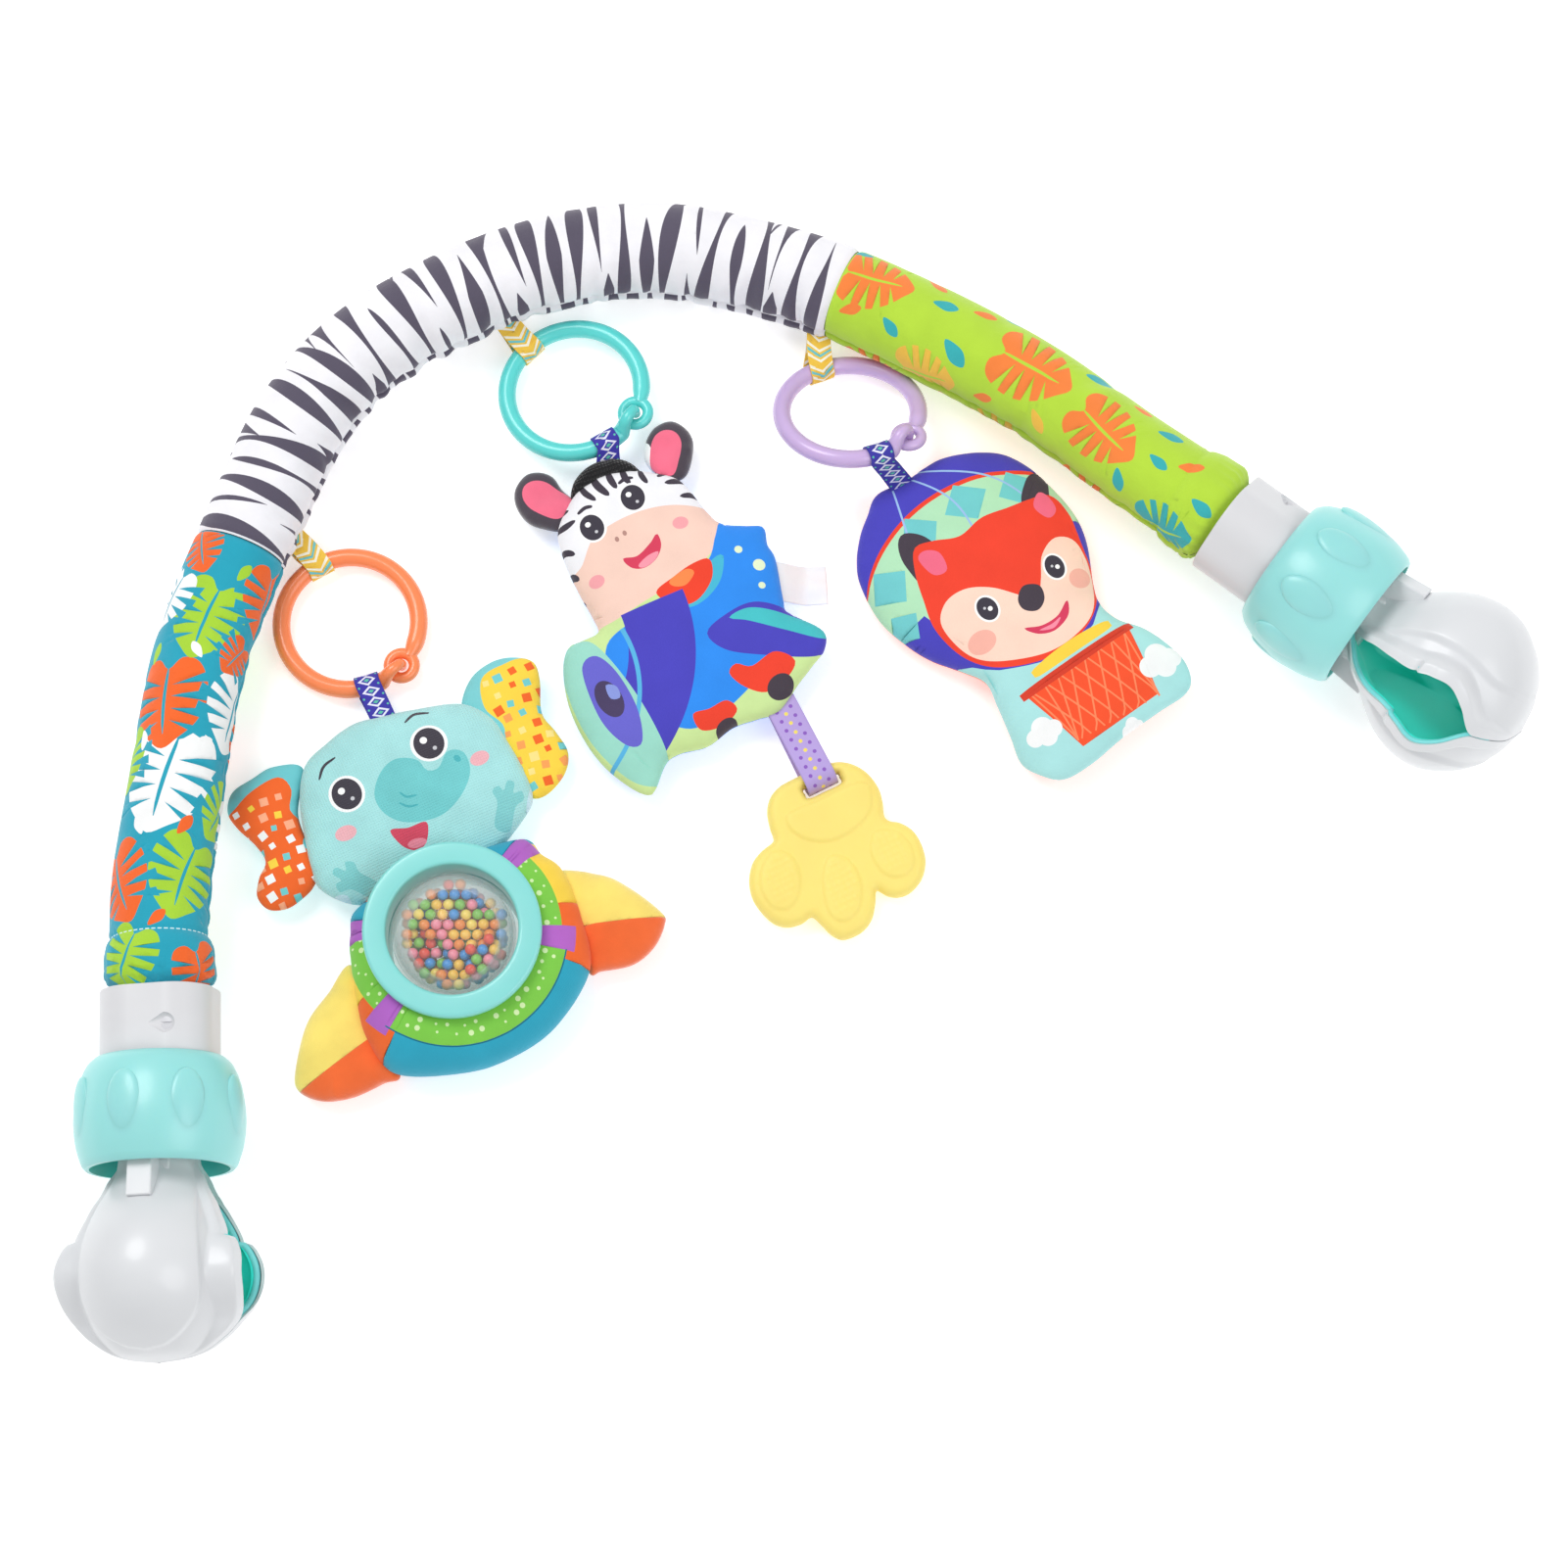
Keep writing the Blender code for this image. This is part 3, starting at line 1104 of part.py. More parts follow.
def build_toy_ribbon(name, link, toy_wire, toy_tangent):
    """Blue ribbon from the link ring to the toy's sewn edge; returns the toy's pivot and its hanging point."""
    swing = pivot("swing_" + link["toy"], toy_wire)
    swing["axis"] = toy_tangent
    hang = toy_wire + heading(link["toy_heading"]) * link["toy_reach"]
    hang.z = PILLOW_SEAM
    root = hang + heading(link["toy_heading"]) * RIBBON_ROOT
    across = heading(link["turn"])
    if toy_tangent.dot(across) < 0.0:
        toy_tangent = -toy_tangent
    ribbon = ribbon_loop(link["toy"] + "_loop", root, across, toy_wire, toy_tangent, LINK_WIRE, RIBBON_WIDTH,
                         swing, toy_wire, colour=(0.13, 0.12, 0.55), roughness=0.85)
    return ribbon, swing, hang


# Elephant

def build_elephant(link, ribbon, swing, hang):
    origin = swing.location.copy()
    spot = hang.to_2d()
    size = (ELEPHANT_WIDTH, ELEPHANT_HEIGHT)
    angle = link["turn"]
    head, head_space = build_pillow(
        "elephant_head", ELEPHANT_HEAD_SHARES, size, ELEPHANT_HEAD_CENTRE_SHARE, spot, angle, PILLOW_SEAM,
        PILLOW_THICKNESS, 32, 8, swing, origin, (0.45, 0.78, 0.76))
    cut(ribbon, head_space)
    ears = (
        ("elephant_ear_left", ELEPHANT_EAR_LEFT_SHARES, ELEPHANT_EAR_LEFT_CENTRE_SHARE, (0.85, 0.25, 0.08)),
        ("elephant_ear_right", ELEPHANT_EAR_RIGHT_SHARES, ELEPHANT_EAR_RIGHT_CENTRE_SHARE, (0.95, 0.75, 0.15)),
    )
    for name, shares, centre_share, colour in ears:
        ear, _ = build_pillow(name, shares, size, centre_share, spot, angle, EAR_SEAM, EAR_PADDING, 22, 6, swing,
                              origin, colour)
        cut(ear, head_space)
    body_spot = spot + turn(BODY_PLACE, angle)
    body_size = (BODY_WIDTH, BODY_HEIGHT)
    body, body_space = build_pillow(
        "elephant_body", BODY_SHARES, body_size, (0.0, 0.0), body_spot, angle, BODY_SEAM, BODY_THICKNESS, 34, 8,
        swing, origin, (0.05, 0.45, 0.55), fullness=BODY_FULLNESS)
    cut(body, head_space)
    fins = (
        ("elephant_fin_left", FIN_LEFT_SHARES, FIN_LEFT_CENTRE_SHARE),
        ("elephant_fin_right", FIN_RIGHT_SHARES, FIN_RIGHT_CENTRE_SHARE),
    )
    for name, shares, centre_share in fins:
        fin, _ = build_pillow(name, shares, body_size, centre_share, body_spot, angle, FIN_SEAM, FIN_PADDING, 22,
                              6, swing, origin, (0.95, 0.50, 0.12))
        cut(fin, body_space)
    build_rattle(link, swing, spot, (head, body))


def build_rattle(link, swing, spot, clamped):
    """Ball of beads on an axle between two plastic rings that clamp the fabric."""
    angle = link["turn"]
    flat = spot + turn(BALL_PLACE, angle)
    middle = Vector((flat.x, flat.y, BALL_HEIGHT))
    spin = empty("spin_ball", swing, location=middle - swing.location)
    spin["axis"] = heading(angle)
    barrel = BEZEL_BORE + BEZEL_WALL
    colour = (0.38, 0.78, 0.77)
    front = [
        (BEZEL_BORE + 0.16 * BEZEL_WALL, BEZEL_TOP), (BEZEL_RADIUS - 0.45 * BEZEL_FLANGE, BEZEL_TOP),
        (BEZEL_RADIUS, BEZEL_TOP - 0.4 * BEZEL_FLANGE), (BEZEL_RADIUS, BEZEL_TOP - 0.8 * BEZEL_FLANGE),
        (BEZEL_RADIUS - 0.2 * BEZEL_FLANGE, BEZEL_TOP - BEZEL_FLANGE), (barrel, BEZEL_TOP - BEZEL_FLANGE),
        (barrel, -BEZEL_SPLIT), (BEZEL_BORE, -BEZEL_SPLIT), (BEZEL_BORE, BEZEL_TOP - 0.12 * BEZEL_FLANGE),
    ]
    holder = empty("bezel_place", swing, location=middle - swing.location)
    bezel = turned("bezel_front", front, BEZEL_SEGMENTS, holder, colour=colour, roughness=0.3)
    bottom = BEZEL_BACK_LEVEL - BALL_HEIGHT
    split = -BEZEL_SPLIT - GAP
    back = [
        (BEZEL_BORE, split), (barrel, split), (barrel, bottom + BEZEL_BACK_FLANGE),
        (BEZEL_BACK_RADIUS, bottom + BEZEL_BACK_FLANGE), (BEZEL_BACK_RADIUS, bottom), (BEZEL_BORE, bottom),
    ]
    turned("bezel_back", back, BEZEL_SEGMENTS, holder, colour=colour, roughness=0.3)
    space = new_cutter("bezel_space", round_bar(
        "bezel_space", barrel + GAP, (0.0, 0.0, -BALL_HEIGHT - OVERRUN), (0.0, 0.0, BALL_HEIGHT), BEZEL_SEGMENTS),
        holder)
    join(space, new_cutter("back_flange_space", round_bar(
        "back_flange_space", BEZEL_BACK_RADIUS + GAP, (0.0, 0.0, -BALL_HEIGHT - 2.0 * OVERRUN),
        (0.0, 0.0, bottom + BEZEL_BACK_FLANGE + GAP), BEZEL_SEGMENTS), holder))
    for pillow in clamped:
        cut(pillow, space)
    axle = heading(angle)
    cut(bezel, new_cutter("axle_hole", round_bar(
        "axle_hole", AXLE_RADIUS + GAP, axle * -barrel * 1.1, axle * barrel * 1.1, 16), holder))
    build_ball(spin, axle, angle)


def build_ball(spin, axle, angle):
    """Two half shells joined on a plane through the axle, and the heap of beads inside."""
    down = heading(angle - 90.0)
    tilt = math.radians(BALL_SEAM_TURN)
    rim_way = Vector((0.0, 0.0, 1.0)) * math.cos(tilt) + down * math.sin(tilt)
    normal = axle.cross(rim_way).normalized()
    frame = Matrix((axle, rim_way, normal)).transposed().to_4x4()
    round_ball = (BALL_SEGMENTS, BALL_SEGMENTS // 2)
    core = new_cutter("ball_core", ellipsoid("ball_core", (BALL_RADIUS - BALL_WALL,) * 3, frame, *round_ball), spin)
    for name, sign in (("ball_front", -1.0), ("ball_back", 1.0)):
        half = new_object(name, ellipsoid(name, (BALL_RADIUS,) * 3, frame, *round_ball), spin,
                          colour=(0.85, 0.93, 0.93), roughness=0.05, alpha=0.35)
        cut(half, core)
        far = BALL_RADIUS + OVERRUN
        low, high = sorted((-sign * far, sign * GAP / 2.0))
        other = block("other_half", (-far, -far, low), (far, far, high))
        other.transform(frame)
        cut(half, new_cutter("beyond_" + name, other, spin))
        for end in (-1.0, 1.0):
            tag = "%s_%d" % (name, end)
            if name == "ball_front":
                join(half, new_cutter("axle_" + tag, round_bar(
                    "axle", AXLE_RADIUS, axle * end * (BALL_RADIUS - BALL_WALL * 0.6), axle * end * AXLE_END, 12),
                    spin))
            else:
                cut(half, new_cutter("axle_space_" + tag, round_bar(
                    "axle_space", AXLE_RADIUS + GAP, axle * end * (BALL_RADIUS - BALL_WALL * 3.0),
                    axle * end * AXLE_END, 12), spin))
    heap_radius = BALL_RADIUS - BALL_WALL - BEAD_PLAY
    bm = bmesh.new()
    bmesh.ops.create_uvsphere(bm, u_segments=22, v_segments=12, radius=heap_radius)
    for vert in bm.verts:
        if vert.co.z > -BEAD_RADIUS:
            wave = 2.0 * math.pi / (BEAD_RADIUS * 4.0)
            bump = BEAD_RADIUS * 0.5 * math.sin(vert.co.x * wave) * math.cos(vert.co.y * wave)
            out = math.hypot(vert.co.x, vert.co.y) / heap_radius
            top = BEAD_FILL + bump - BEAD_RADIUS * 1.5 * out * out
            vert.co.z = min(vert.co.z, top)
    new_object("rattle_beads", to_mesh(bm, "rattle_beads"), spin, colour=(0.85, 0.45, 0.2), roughness=0.3)


# Zebra, its tag and its teether

def build_zebra(link, ribbon, swing, hang):
    origin = swing.location.copy()
    spot = hang.to_2d()
    size = (ZEBRA_WIDTH, ZEBRA_HEIGHT)
    angle = link["turn"]
    _, space = build_pillow("zebra_pillow", ZEBRA_SHARES, size, ZEBRA_CENTRE_SHARE, spot, angle, PILLOW_SEAM,
                            PILLOW_THICKNESS, 48, 8, swing, origin, (0.80, 0.83, 0.85))
    cap, cap_space = build_pillow("zebra_cap", ZEBRA_CAP_SHARES, size, ZEBRA_CAP_CENTRE_SHARE, spot, angle,
                                  PILLOW_SEAM, CAP_PADDING, 18, 6, swing, origin, (0.02, 0.02, 0.02))
    cut(cap, space)
    cut(ribbon, space)
    cut(ribbon, cap_space)
    ears = (
        ("zebra_ear_left", ZEBRA_EAR_LEFT_SHARES, ZEBRA_EAR_LEFT_CENTRE_SHARE),
        ("zebra_ear_right", ZEBRA_EAR_RIGHT_SHARES, ZEBRA_EAR_RIGHT_CENTRE_SHARE),
    )
    for name, shares, centre_share in ears:
        ear, _ = build_pillow(name, shares, size, centre_share, spot, angle, EAR_SEAM, EAR_PADDING, 16, 6, swing,
                              origin, (0.20, 0.16, 0.22))
        cut(ear, space)
        cut(ear, cap_space)
    build_tag(spot, angle, swing, origin, space)
    build_teether(spot, angle, swing, origin, space)


def build_tag(spot, angle, swing, origin, space):
    """A satin tag sewn in the zebra's edge that droops towards the floor."""
    root = spot + turn(TAG_PLACE, angle)
    way = heading(angle + TAG_HEADING)
    across_way = heading(angle + TAG_HEADING + 90.0)

    def place(across, along):
        run = blend(-RIBBON_ROOT, TAG_LENGTH, along)
        height = blend(PILLOW_SEAM, TAG_LEVEL, ease(max(0.0, run) / TAG_LENGTH * 1.5))
        point = Vector((root.x, root.y, height)) + way * run + across_way * TAG_WIDTH * (across - 0.5)
        return point - origin

    tag = new_object("side_tag", bent_grid("side_tag", 2, TAG_STEPS, place), swing, colour=(0.9, 0.9, 0.9),
                     roughness=0.6)
    solidify(tag, TAG_THICKNESS, 0.0)
    cut(tag, space)


def lobe_exit(start, way, lobe):
    """How far a ray from start along way runs before it leaves an oval lobe, or None."""
    x, y = (start[0] - lobe[0]) / lobe[2], (start[1] - lobe[1]) / lobe[3]
    dx, dy = way.x / lobe[2], way.y / lobe[3]
    a = dx * dx + dy * dy
    b = 2.0 * (x * dx + y * dy)
    c = x * x + y * y - 1.0
    under = b * b - 4.0 * a * c
    if under < 0.0:
        return None
    return (-b + math.sqrt(under)) / (2.0 * a)


def build_teether(spot, angle, swing, origin, space):
    """Silicone paw on a ribbon through its slot."""
    root = spot + turn(TAB_PLACE, angle)
    root = Vector((root.x, root.y, PILLOW_SEAM))
    way = heading(angle + TAB_HEADING)
    bar = root + way * TAB_REACH
    bar.z = TEETHER_LEVEL
    across = heading(angle + TAB_HEADING + 90.0)
    bar_half = math.hypot(TEETHER_THICKNESS, 2.0 * (BAR_PLACE - SLOT_NEAR)) / 2.0
    deeper = root - way * RIBBON_ROOT
    tab = ribbon_loop("teether_tab", deeper, across, bar, across, bar_half - RIBBON_SLACK * 0.6, TAB_WIDTH, swing,
                      origin, colour=(0.62, 0.48, 0.80), roughness=0.85)
    cut(tab, space)
    hold = empty("swing_teether", swing, location=bar - swing.location)
    hold["axis"] = across
    face = angle + TAB_HEADING + 90.0 + TEETHER_TURN
    outline = []
    start = Vector(TEETHER_CENTRE)
    for i in range(TEETHER_STEPS):
        ray = turn((1.0, 0.0), 360.0 * i / TEETHER_STEPS)
        reach = max(r for r in (lobe_exit(start, ray, lobe) for lobe in TEETHER_LOBES) if r is not None)
        outline.append(start + ray * reach)
    down_slot = Vector((0.0, BAR_PLACE))
    flat = [turn(p - down_slot, face) for p in outline]
    centre = turn(start - down_slot, face)
    mesh = pillow_mesh("teether", flat, centre, 0.0, TEETHER_THICKNESS, 8, 14.0, 0.5,
                       floor=-TEETHER_THICKNESS)
    teether = new_object("teether", mesh, hold, colour=(0.93, 0.84, 0.40), roughness=0.5)
    slot = block("slot", (-SLOT_WIDTH / 2.0, SLOT_FAR - BAR_PLACE, -TEETHER_THICKNESS),
                 (SLOT_WIDTH / 2.0, SLOT_NEAR - BAR_PLACE, TEETHER_THICKNESS))
    slot.transform(Matrix.Rotation(math.radians(face), 4, "Z"))
    cut(teether, new_cutter("teether_slot", slot, hold))


# Fox

def build_fox(link, ribbon, swing, hang):
    _, space = build_pillow("fox_pillow", FOX_SHARES, (FOX_WIDTH, FOX_HEIGHT), FOX_CENTRE_SHARE, hang.to_2d(),
                            link["turn"], PILLOW_SEAM, PILLOW_THICKNESS, 46, 8, swing, swing.location.copy(),
                            (0.85, 0.30, 0.18))
    cut(ribbon, space)


def set_origin():
    """Moves the whole toy so that the origin lies on the floor under its middle."""
    bpy.context.view_layer.update()
    graph = bpy.context.evaluated_depsgraph_get()
    low = Vector((math.inf,) * 3)
    high = Vector((-math.inf,) * 3)
    for obj in PARTS.objects:
        if obj.type != "MESH":
            continue
        evaluated = obj.evaluated_get(graph)
        mesh = evaluated.to_mesh()
        for vert in mesh.vertices:
            point = obj.matrix_world @ vert.co
            low = Vector(map(min, low, point))
            high = Vector(map(max, high, point))
        evaluated.to_mesh_clear()
    ROOT.location = Vector((-(low.x + high.x) / 2.0, -(low.y + high.y) / 2.0, -low.z))
    bpy.context.view_layer.update()


def main():
    sleeve_spaces = build_arch()
    left_rim = arch_point(0.0)
    right_rim = arch_point(ARCH_LENGTH)
    build_clamp("left", left_rim, LEFT_AXIS, LEFT_ROLL)
    build_clamp("right", right_rim, RIGHT_AXIS, RIGHT_ROLL)
    makers = {"elephant": build_elephant, "zebra": build_zebra, "fox": build_fox}
    for name, link in LINKS.items():
        toy_wire, toy_tangent = build_link(name, link, sleeve_spaces)
        ribbon, swing, hang = build_toy_ribbon(name, link, toy_wire, toy_tangent)
        makers[link["toy"]](link, ribbon, swing, hang)
    set_origin()


main()
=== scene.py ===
"""Stroller hanging toy: the looks of its padded arch, two clamps, three link rings and three stuffed toys."""
import json
import math
import random

import bmesh
import bpy
import numpy as np
from mathutils import Matrix, Vector
from mathutils.geometry import delaunay_2d_cdt


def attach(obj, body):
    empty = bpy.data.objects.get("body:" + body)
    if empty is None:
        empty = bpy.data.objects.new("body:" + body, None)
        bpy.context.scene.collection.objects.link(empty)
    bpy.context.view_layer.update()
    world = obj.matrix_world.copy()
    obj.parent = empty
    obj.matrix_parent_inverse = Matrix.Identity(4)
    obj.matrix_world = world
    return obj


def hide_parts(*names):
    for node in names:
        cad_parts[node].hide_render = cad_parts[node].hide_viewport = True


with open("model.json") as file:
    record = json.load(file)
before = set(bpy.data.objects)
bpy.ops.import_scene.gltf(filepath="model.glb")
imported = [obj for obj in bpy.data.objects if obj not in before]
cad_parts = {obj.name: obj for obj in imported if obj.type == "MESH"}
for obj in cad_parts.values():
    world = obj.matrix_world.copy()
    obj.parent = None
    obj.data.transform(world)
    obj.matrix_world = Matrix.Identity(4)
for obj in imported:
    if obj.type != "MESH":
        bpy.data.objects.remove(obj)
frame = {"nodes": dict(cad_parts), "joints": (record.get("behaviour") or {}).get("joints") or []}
bpy.ops.object.select_all(action="DESELECT")
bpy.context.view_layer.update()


# Colours.

def paint(text):
    """A colour chip such as F1A2B3 as linear red, green and blue."""
    chips = [int(text[i:i + 2], 16) / 255.0 for i in (0, 2, 4)]
    return tuple(c / 12.92 if c <= 0.04045 else ((c + 0.055) / 1.055) ** 2.4 for c in chips)


TURQUOISE = paint("25A3BC")
LIME = paint("B6DC40")
ORANGE = paint("F4692A")
LEAF_WHITE = paint("F7F8F8")
STRIPE_WHITE = paint("F4F3F8")
STRIPE_DARK = paint("5A5465")
PALE_AQUA = paint("A9E3E3")
AQUA = paint("74CDCF")
SKIN = paint("F7D2C2")
INK = paint("3F3B46")
PINK = paint("F46E8B")
RED = paint("F2452F")
INDIGO = paint("4B45BE")
BLUE = paint("2F8EF2")
MINT = paint("B5E6BE")
PALE_LIME = paint("CFEBA0")
YELLOW = paint("FBD548")
TEAL = paint("2BA5C2")
GREEN = paint("7FCB4B")
PURPLE = paint("B565C6")
PLUM = paint("473E49")
TUFT_BLACK = paint("1B1A1D")
SKY = paint("ACE3E2")
WHITE = (1.0, 1.0, 1.0)
FLOW_TINT = 0.03


# Flat shapes, in millimetres.

def run_along(points):
    """How far each point is along the line."""
    return np.concatenate([[0.0], np.cumsum(np.linalg.norm(np.diff(points, axis=0), axis=1))])


def looked_up(x, stops, table):
    """The table's rows at the places x, read between its stops."""
    return np.stack([np.interp(x, stops, table[:, k]) for k in range(table.shape[1])], axis=1)


def curve_through(points, count, closed=True):
    """Points at even steps along a smooth curve through the given ones."""
    knots = np.array(points, float)
    n = len(knots)
    if closed:
        ring = np.vstack([knots[-1], knots, knots[0], knots[1]])
        spans = n
    else:
        ring = np.vstack([2 * knots[0] - knots[1], knots, 2 * knots[-1] - knots[-2]])
        spans = n - 1
    t = np.linspace(0.0, 1.0, 13)[:-1][:, None]
    dense = []
    for i in range(spans):
        a, b, c, d = ring[i:i + 4]
        dense.append(0.5 * (2 * b + (c - a) * t + (2 * a - 5 * b + 4 * c - d) * t ** 2
            + (3 * b - 3 * c + d - a) * t ** 3))
    dense = np.vstack(dense + [knots[:1] if closed else knots[-1:]])
    run = run_along(dense)
    at = np.linspace(0.0, run[-1], count + 1 if closed else count)
    even = looked_up(at, run, dense)
    return even[:-1] if closed else even


def oval(x, y, rx, ry=None, turn=0.0, count=36):
    ry = rx if ry is None else ry
    a = np.linspace(0.0, 2 * math.pi, count, endpoint=False)
    return placed(np.stack([rx * np.cos(a), ry * np.sin(a)], axis=1), x, y, 1.0, turn)


def blob(points, count=60):
    return curve_through(points, count)


def box(x, y, w, h, turn=0.0):
    return placed([(-w, -h), (w, -h), (w, h), (-w, h)], x, y, 0.5, turn)


def stroke(points, width, tips=0.35, count=22):
    """A brush line along the points, thin at its tips."""
    line = curve_through(points, count, closed=False)
    way = np.gradient(line, axis=0)
    way /= np.linalg.norm(way, axis=1)[:, None]
    side = np.stack([-way[:, 1], way[:, 0]], axis=1)
    share = np.linspace(-1.0, 1.0, count)
    half = width / 2.0 * (tips + (1 - tips) * np.sqrt(np.maximum(0.0, 1 - share ** 2)))[:, None]
    return np.vstack([line + side * half, (line - side * half)[::-1]])


def placed(shape, x, y, size=1.0, turn=0.0):
    """The shape resized, turned by degrees and moved."""
    c, s = math.cos(math.radians(turn)), math.sin(math.radians(turn))
    p = np.array(shape, float) * size
    return np.stack([x + p[:, 0] * c - p[:, 1] * s, y + p[:, 0] * s + p[:, 1] * c], axis=1)


def heading(degrees):
    return Vector((math.cos(math.radians(degrees)), math.sin(math.radians(degrees)), 0.0))


LEAF_EDGE = curve_through([(0.0, -0.36), (0.16, -0.5), (0.36, -0.46), (0.48, -0.22), (0.48, 0.06),
    (0.36, 0.32), (0.18, 0.5), (0.0, 0.62), (-0.18, 0.5), (-0.36, 0.32), (-0.48, 0.06), (-0.48, -0.22),
    (-0.36, -0.46), (-0.16, -0.5)], 64)


def split_leaf(x, y, size, turn, colour, ground):
    """A split jungle leaf: the whole blade, then the slits and the midrib in the ground colour."""
    shapes = [(colour, placed(LEAF_EDGE, x, y, size, turn))]
    for side in (-1, 1):
        for low, high, reach, wide in ((-0.16, -0.33, 0.6, 0.085), (-0.02, -0.06, 0.62, 0.085),
                                       (0.13, 0.2, 0.58, 0.08), (0.28, 0.44, 0.5, 0.07)):
            slit = [(0.07 * side, low), (reach * side, high - wide), (reach * side, high + wide)]
            shapes.append((ground, placed(slit, x, y, size, turn)))
    rib = stroke([(0.0, -0.42), (0.015, 0.0), (0.0, 0.44)], 0.045, tips=0.2, count=8)
    shapes.append((ground, placed(rib, x, y, size, turn)))
    return shapes


def small_leaf(x, y, size, turn, colour):
    edge = curve_through([(0.0, -0.5), (0.2, -0.28), (0.24, 0.05), (0.0, 0.55), (-0.24, 0.05),
        (-0.2, -0.28)], 26)
    return [(colour, placed(edge, x, y, size, turn))]


# Printed cloth panels.

def inside(points, polygon):
    """Which of the points lie in the polygon."""
    x, y = points[:, 0][:, None], points[:, 1][:, None]
    x0, y0 = polygon[:, 0][None], polygon[:, 1][None]
    x1, y1 = np.roll(polygon[:, 0], -1)[None], np.roll(polygon[:, 1], -1)[None]
    with np.errstate(divide="ignore", invalid="ignore"):
        crosses = ((y0 > y) != (y1 > y)) & (x < (x1 - x0) * (y - y0) / (y1 - y0) + x0)
    return crosses.sum(axis=1) % 2 == 1


def edge_distance(points, polygon):
    """How far each point is from the polygon's line, and how far round the line its nearest place is."""
    a, b = polygon, np.roll(polygon, -1, axis=0)
    run = np.concatenate([[0.0], np.cumsum(np.linalg.norm(b - a, axis=1))])
    best = np.full(len(points), 1e9)
    place = np.zeros(len(points))
    for i in range(len(a)):
        d = b[i] - a[i]
        t = np.clip(((points - a[i]) @ d) / max(d @ d, 1e-12), 0.0, 1.0)
        gap = np.linalg.norm(points - (a[i] + t[:, None] * d), axis=1)
        near = gap < best
        best[near] = gap[near]
        place[near] = run[i] + t[near] * (run[i + 1] - run[i])
    return best, place


def shrunk(outline, gap):
    """A counterclockwise outline moved inwards by a gap."""
    way = np.roll(outline, -1, axis=0) - np.roll(outline, 1, axis=0)
    way /= np.maximum(np.linalg.norm(way, axis=1), 1e-9)[:, None]
    return outline + np.stack([-way[:, 1], way[:, 0]], axis=1) * gap


def counterclockwise(polygon):
    area = np.sum(polygon[:, 0] * np.roll(polygon[:, 1], -1) - np.roll(polygon[:, 0], -1) * polygon[:, 1])
    return polygon if area > 0 else polygon[::-1]


def cut_panel(outline, motifs, ground, spacing, rims=(), holes=(), extra=()):
    """A flat panel as triangles that follow the outline and each printed edge, with their colours."""
    outline = counterclockwise(np.array(outline, float))
    points, edges = [], []

    def add_loop(loop):
        start = len(points)
        points.extend(loop.tolist())
        edges.extend((start + i, start + (i + 1) % len(loop)) for i in range(len(loop)))

    add_loop(outline)
    for hole in holes:
        add_loop(np.array(hole, float))
    low, high = outline.min(axis=0), outline.max(axis=0)
    for _, shape in motifs:
        shape = np.array(shape, float)
        if (shape.max(axis=0) > low).all() and (shape.min(axis=0) < high).all():
            add_loop(shape)
    gap_kept = max(rims) + 0.35 * spacing if rims else 0.45 * spacing
    for gap in rims:
        ring = shrunk(outline, gap)
        far, _ = edge_distance(ring, outline)
        points.extend(ring[(far > 0.85 * gap) & inside(ring, outline)].tolist())
    columns = np.arange(low[0], high[0] + spacing, spacing)
    rows = np.arange(low[1], high[1] + spacing, spacing * 0.866)
    grid = np.array([(x + (spacing / 2 if j % 2 else 0.0), y) for j, y in enumerate(rows) for x in columns])
    grid = grid[inside(grid, outline)]
    far, _ = edge_distance(grid, outline)
    points.extend(grid[far > gap_kept].tolist())
    points.extend(np.array(extra, float).tolist() if len(extra) else [])
    made = delaunay_2d_cdt([Vector(p) for p in points], edges, [], 0, 0.0005)
    flat = np.array([tuple(p) for p in made[0]], float)
    faces = np.array([f for f in made[2] if len(f) == 3], int)
    middle = flat[faces].mean(axis=1)
    keep = inside(middle, outline)
    for hole in holes:
        keep &= ~inside(middle, np.array(hole, float))
    faces, middle = faces[keep], middle[keep]
    a, b, c = flat[faces[:, 0]], flat[faces[:, 1]], flat[faces[:, 2]]
    area = (b[:, 0] - a[:, 0]) * (c[:, 1] - a[:, 1]) - (b[:, 1] - a[:, 1]) * (c[:, 0] - a[:, 0])
    faces[area < 0] = faces[area < 0][:, ::-1]
    solid = np.abs(area) > 1e-9
    faces, middle = faces[solid], middle[solid]
    colours = np.tile(np.array(ground, float), (len(faces), 1))
    for colour, shape in motifs:
        shape = np.array(shape, float)
        close = ((middle > shape.min(axis=0)) & (middle < shape.max(axis=0))).all(axis=1)
        if close.any():
            index = np.nonzero(close)[0]
            tone = paint(colour) if isinstance(colour, str) else colour
            colours[index[inside(middle[index], shape)]] = tone
    used = np.unique(faces)
    renumber = np.full(len(flat), -1)
    renumber[used] = np.arange(len(used))
    return flat[used], renumber[faces], colours


def within_strip(motifs, low, high):
    """The motifs cut back to a strip, without those that are left too small."""
    kept = []
    for colour, shape in motifs:
        shape = np.clip(np.array(shape, float), low, high)
        keep = np.linalg.norm(shape - np.roll(shape, 1, axis=0), axis=1) > 1e-3
        if keep.sum() > 2:
            kept.append((colour, shape[keep]))
    return kept


def open_edges(faces):
    """The edges with a face on one side only, each in its face's direction."""
    pairs = {(int(f[i]), int(f[(i + 1) % 3])) for f in faces for i in range(3)}
    return [(a, b) for a, b in pairs if (b, a) not in pairs]


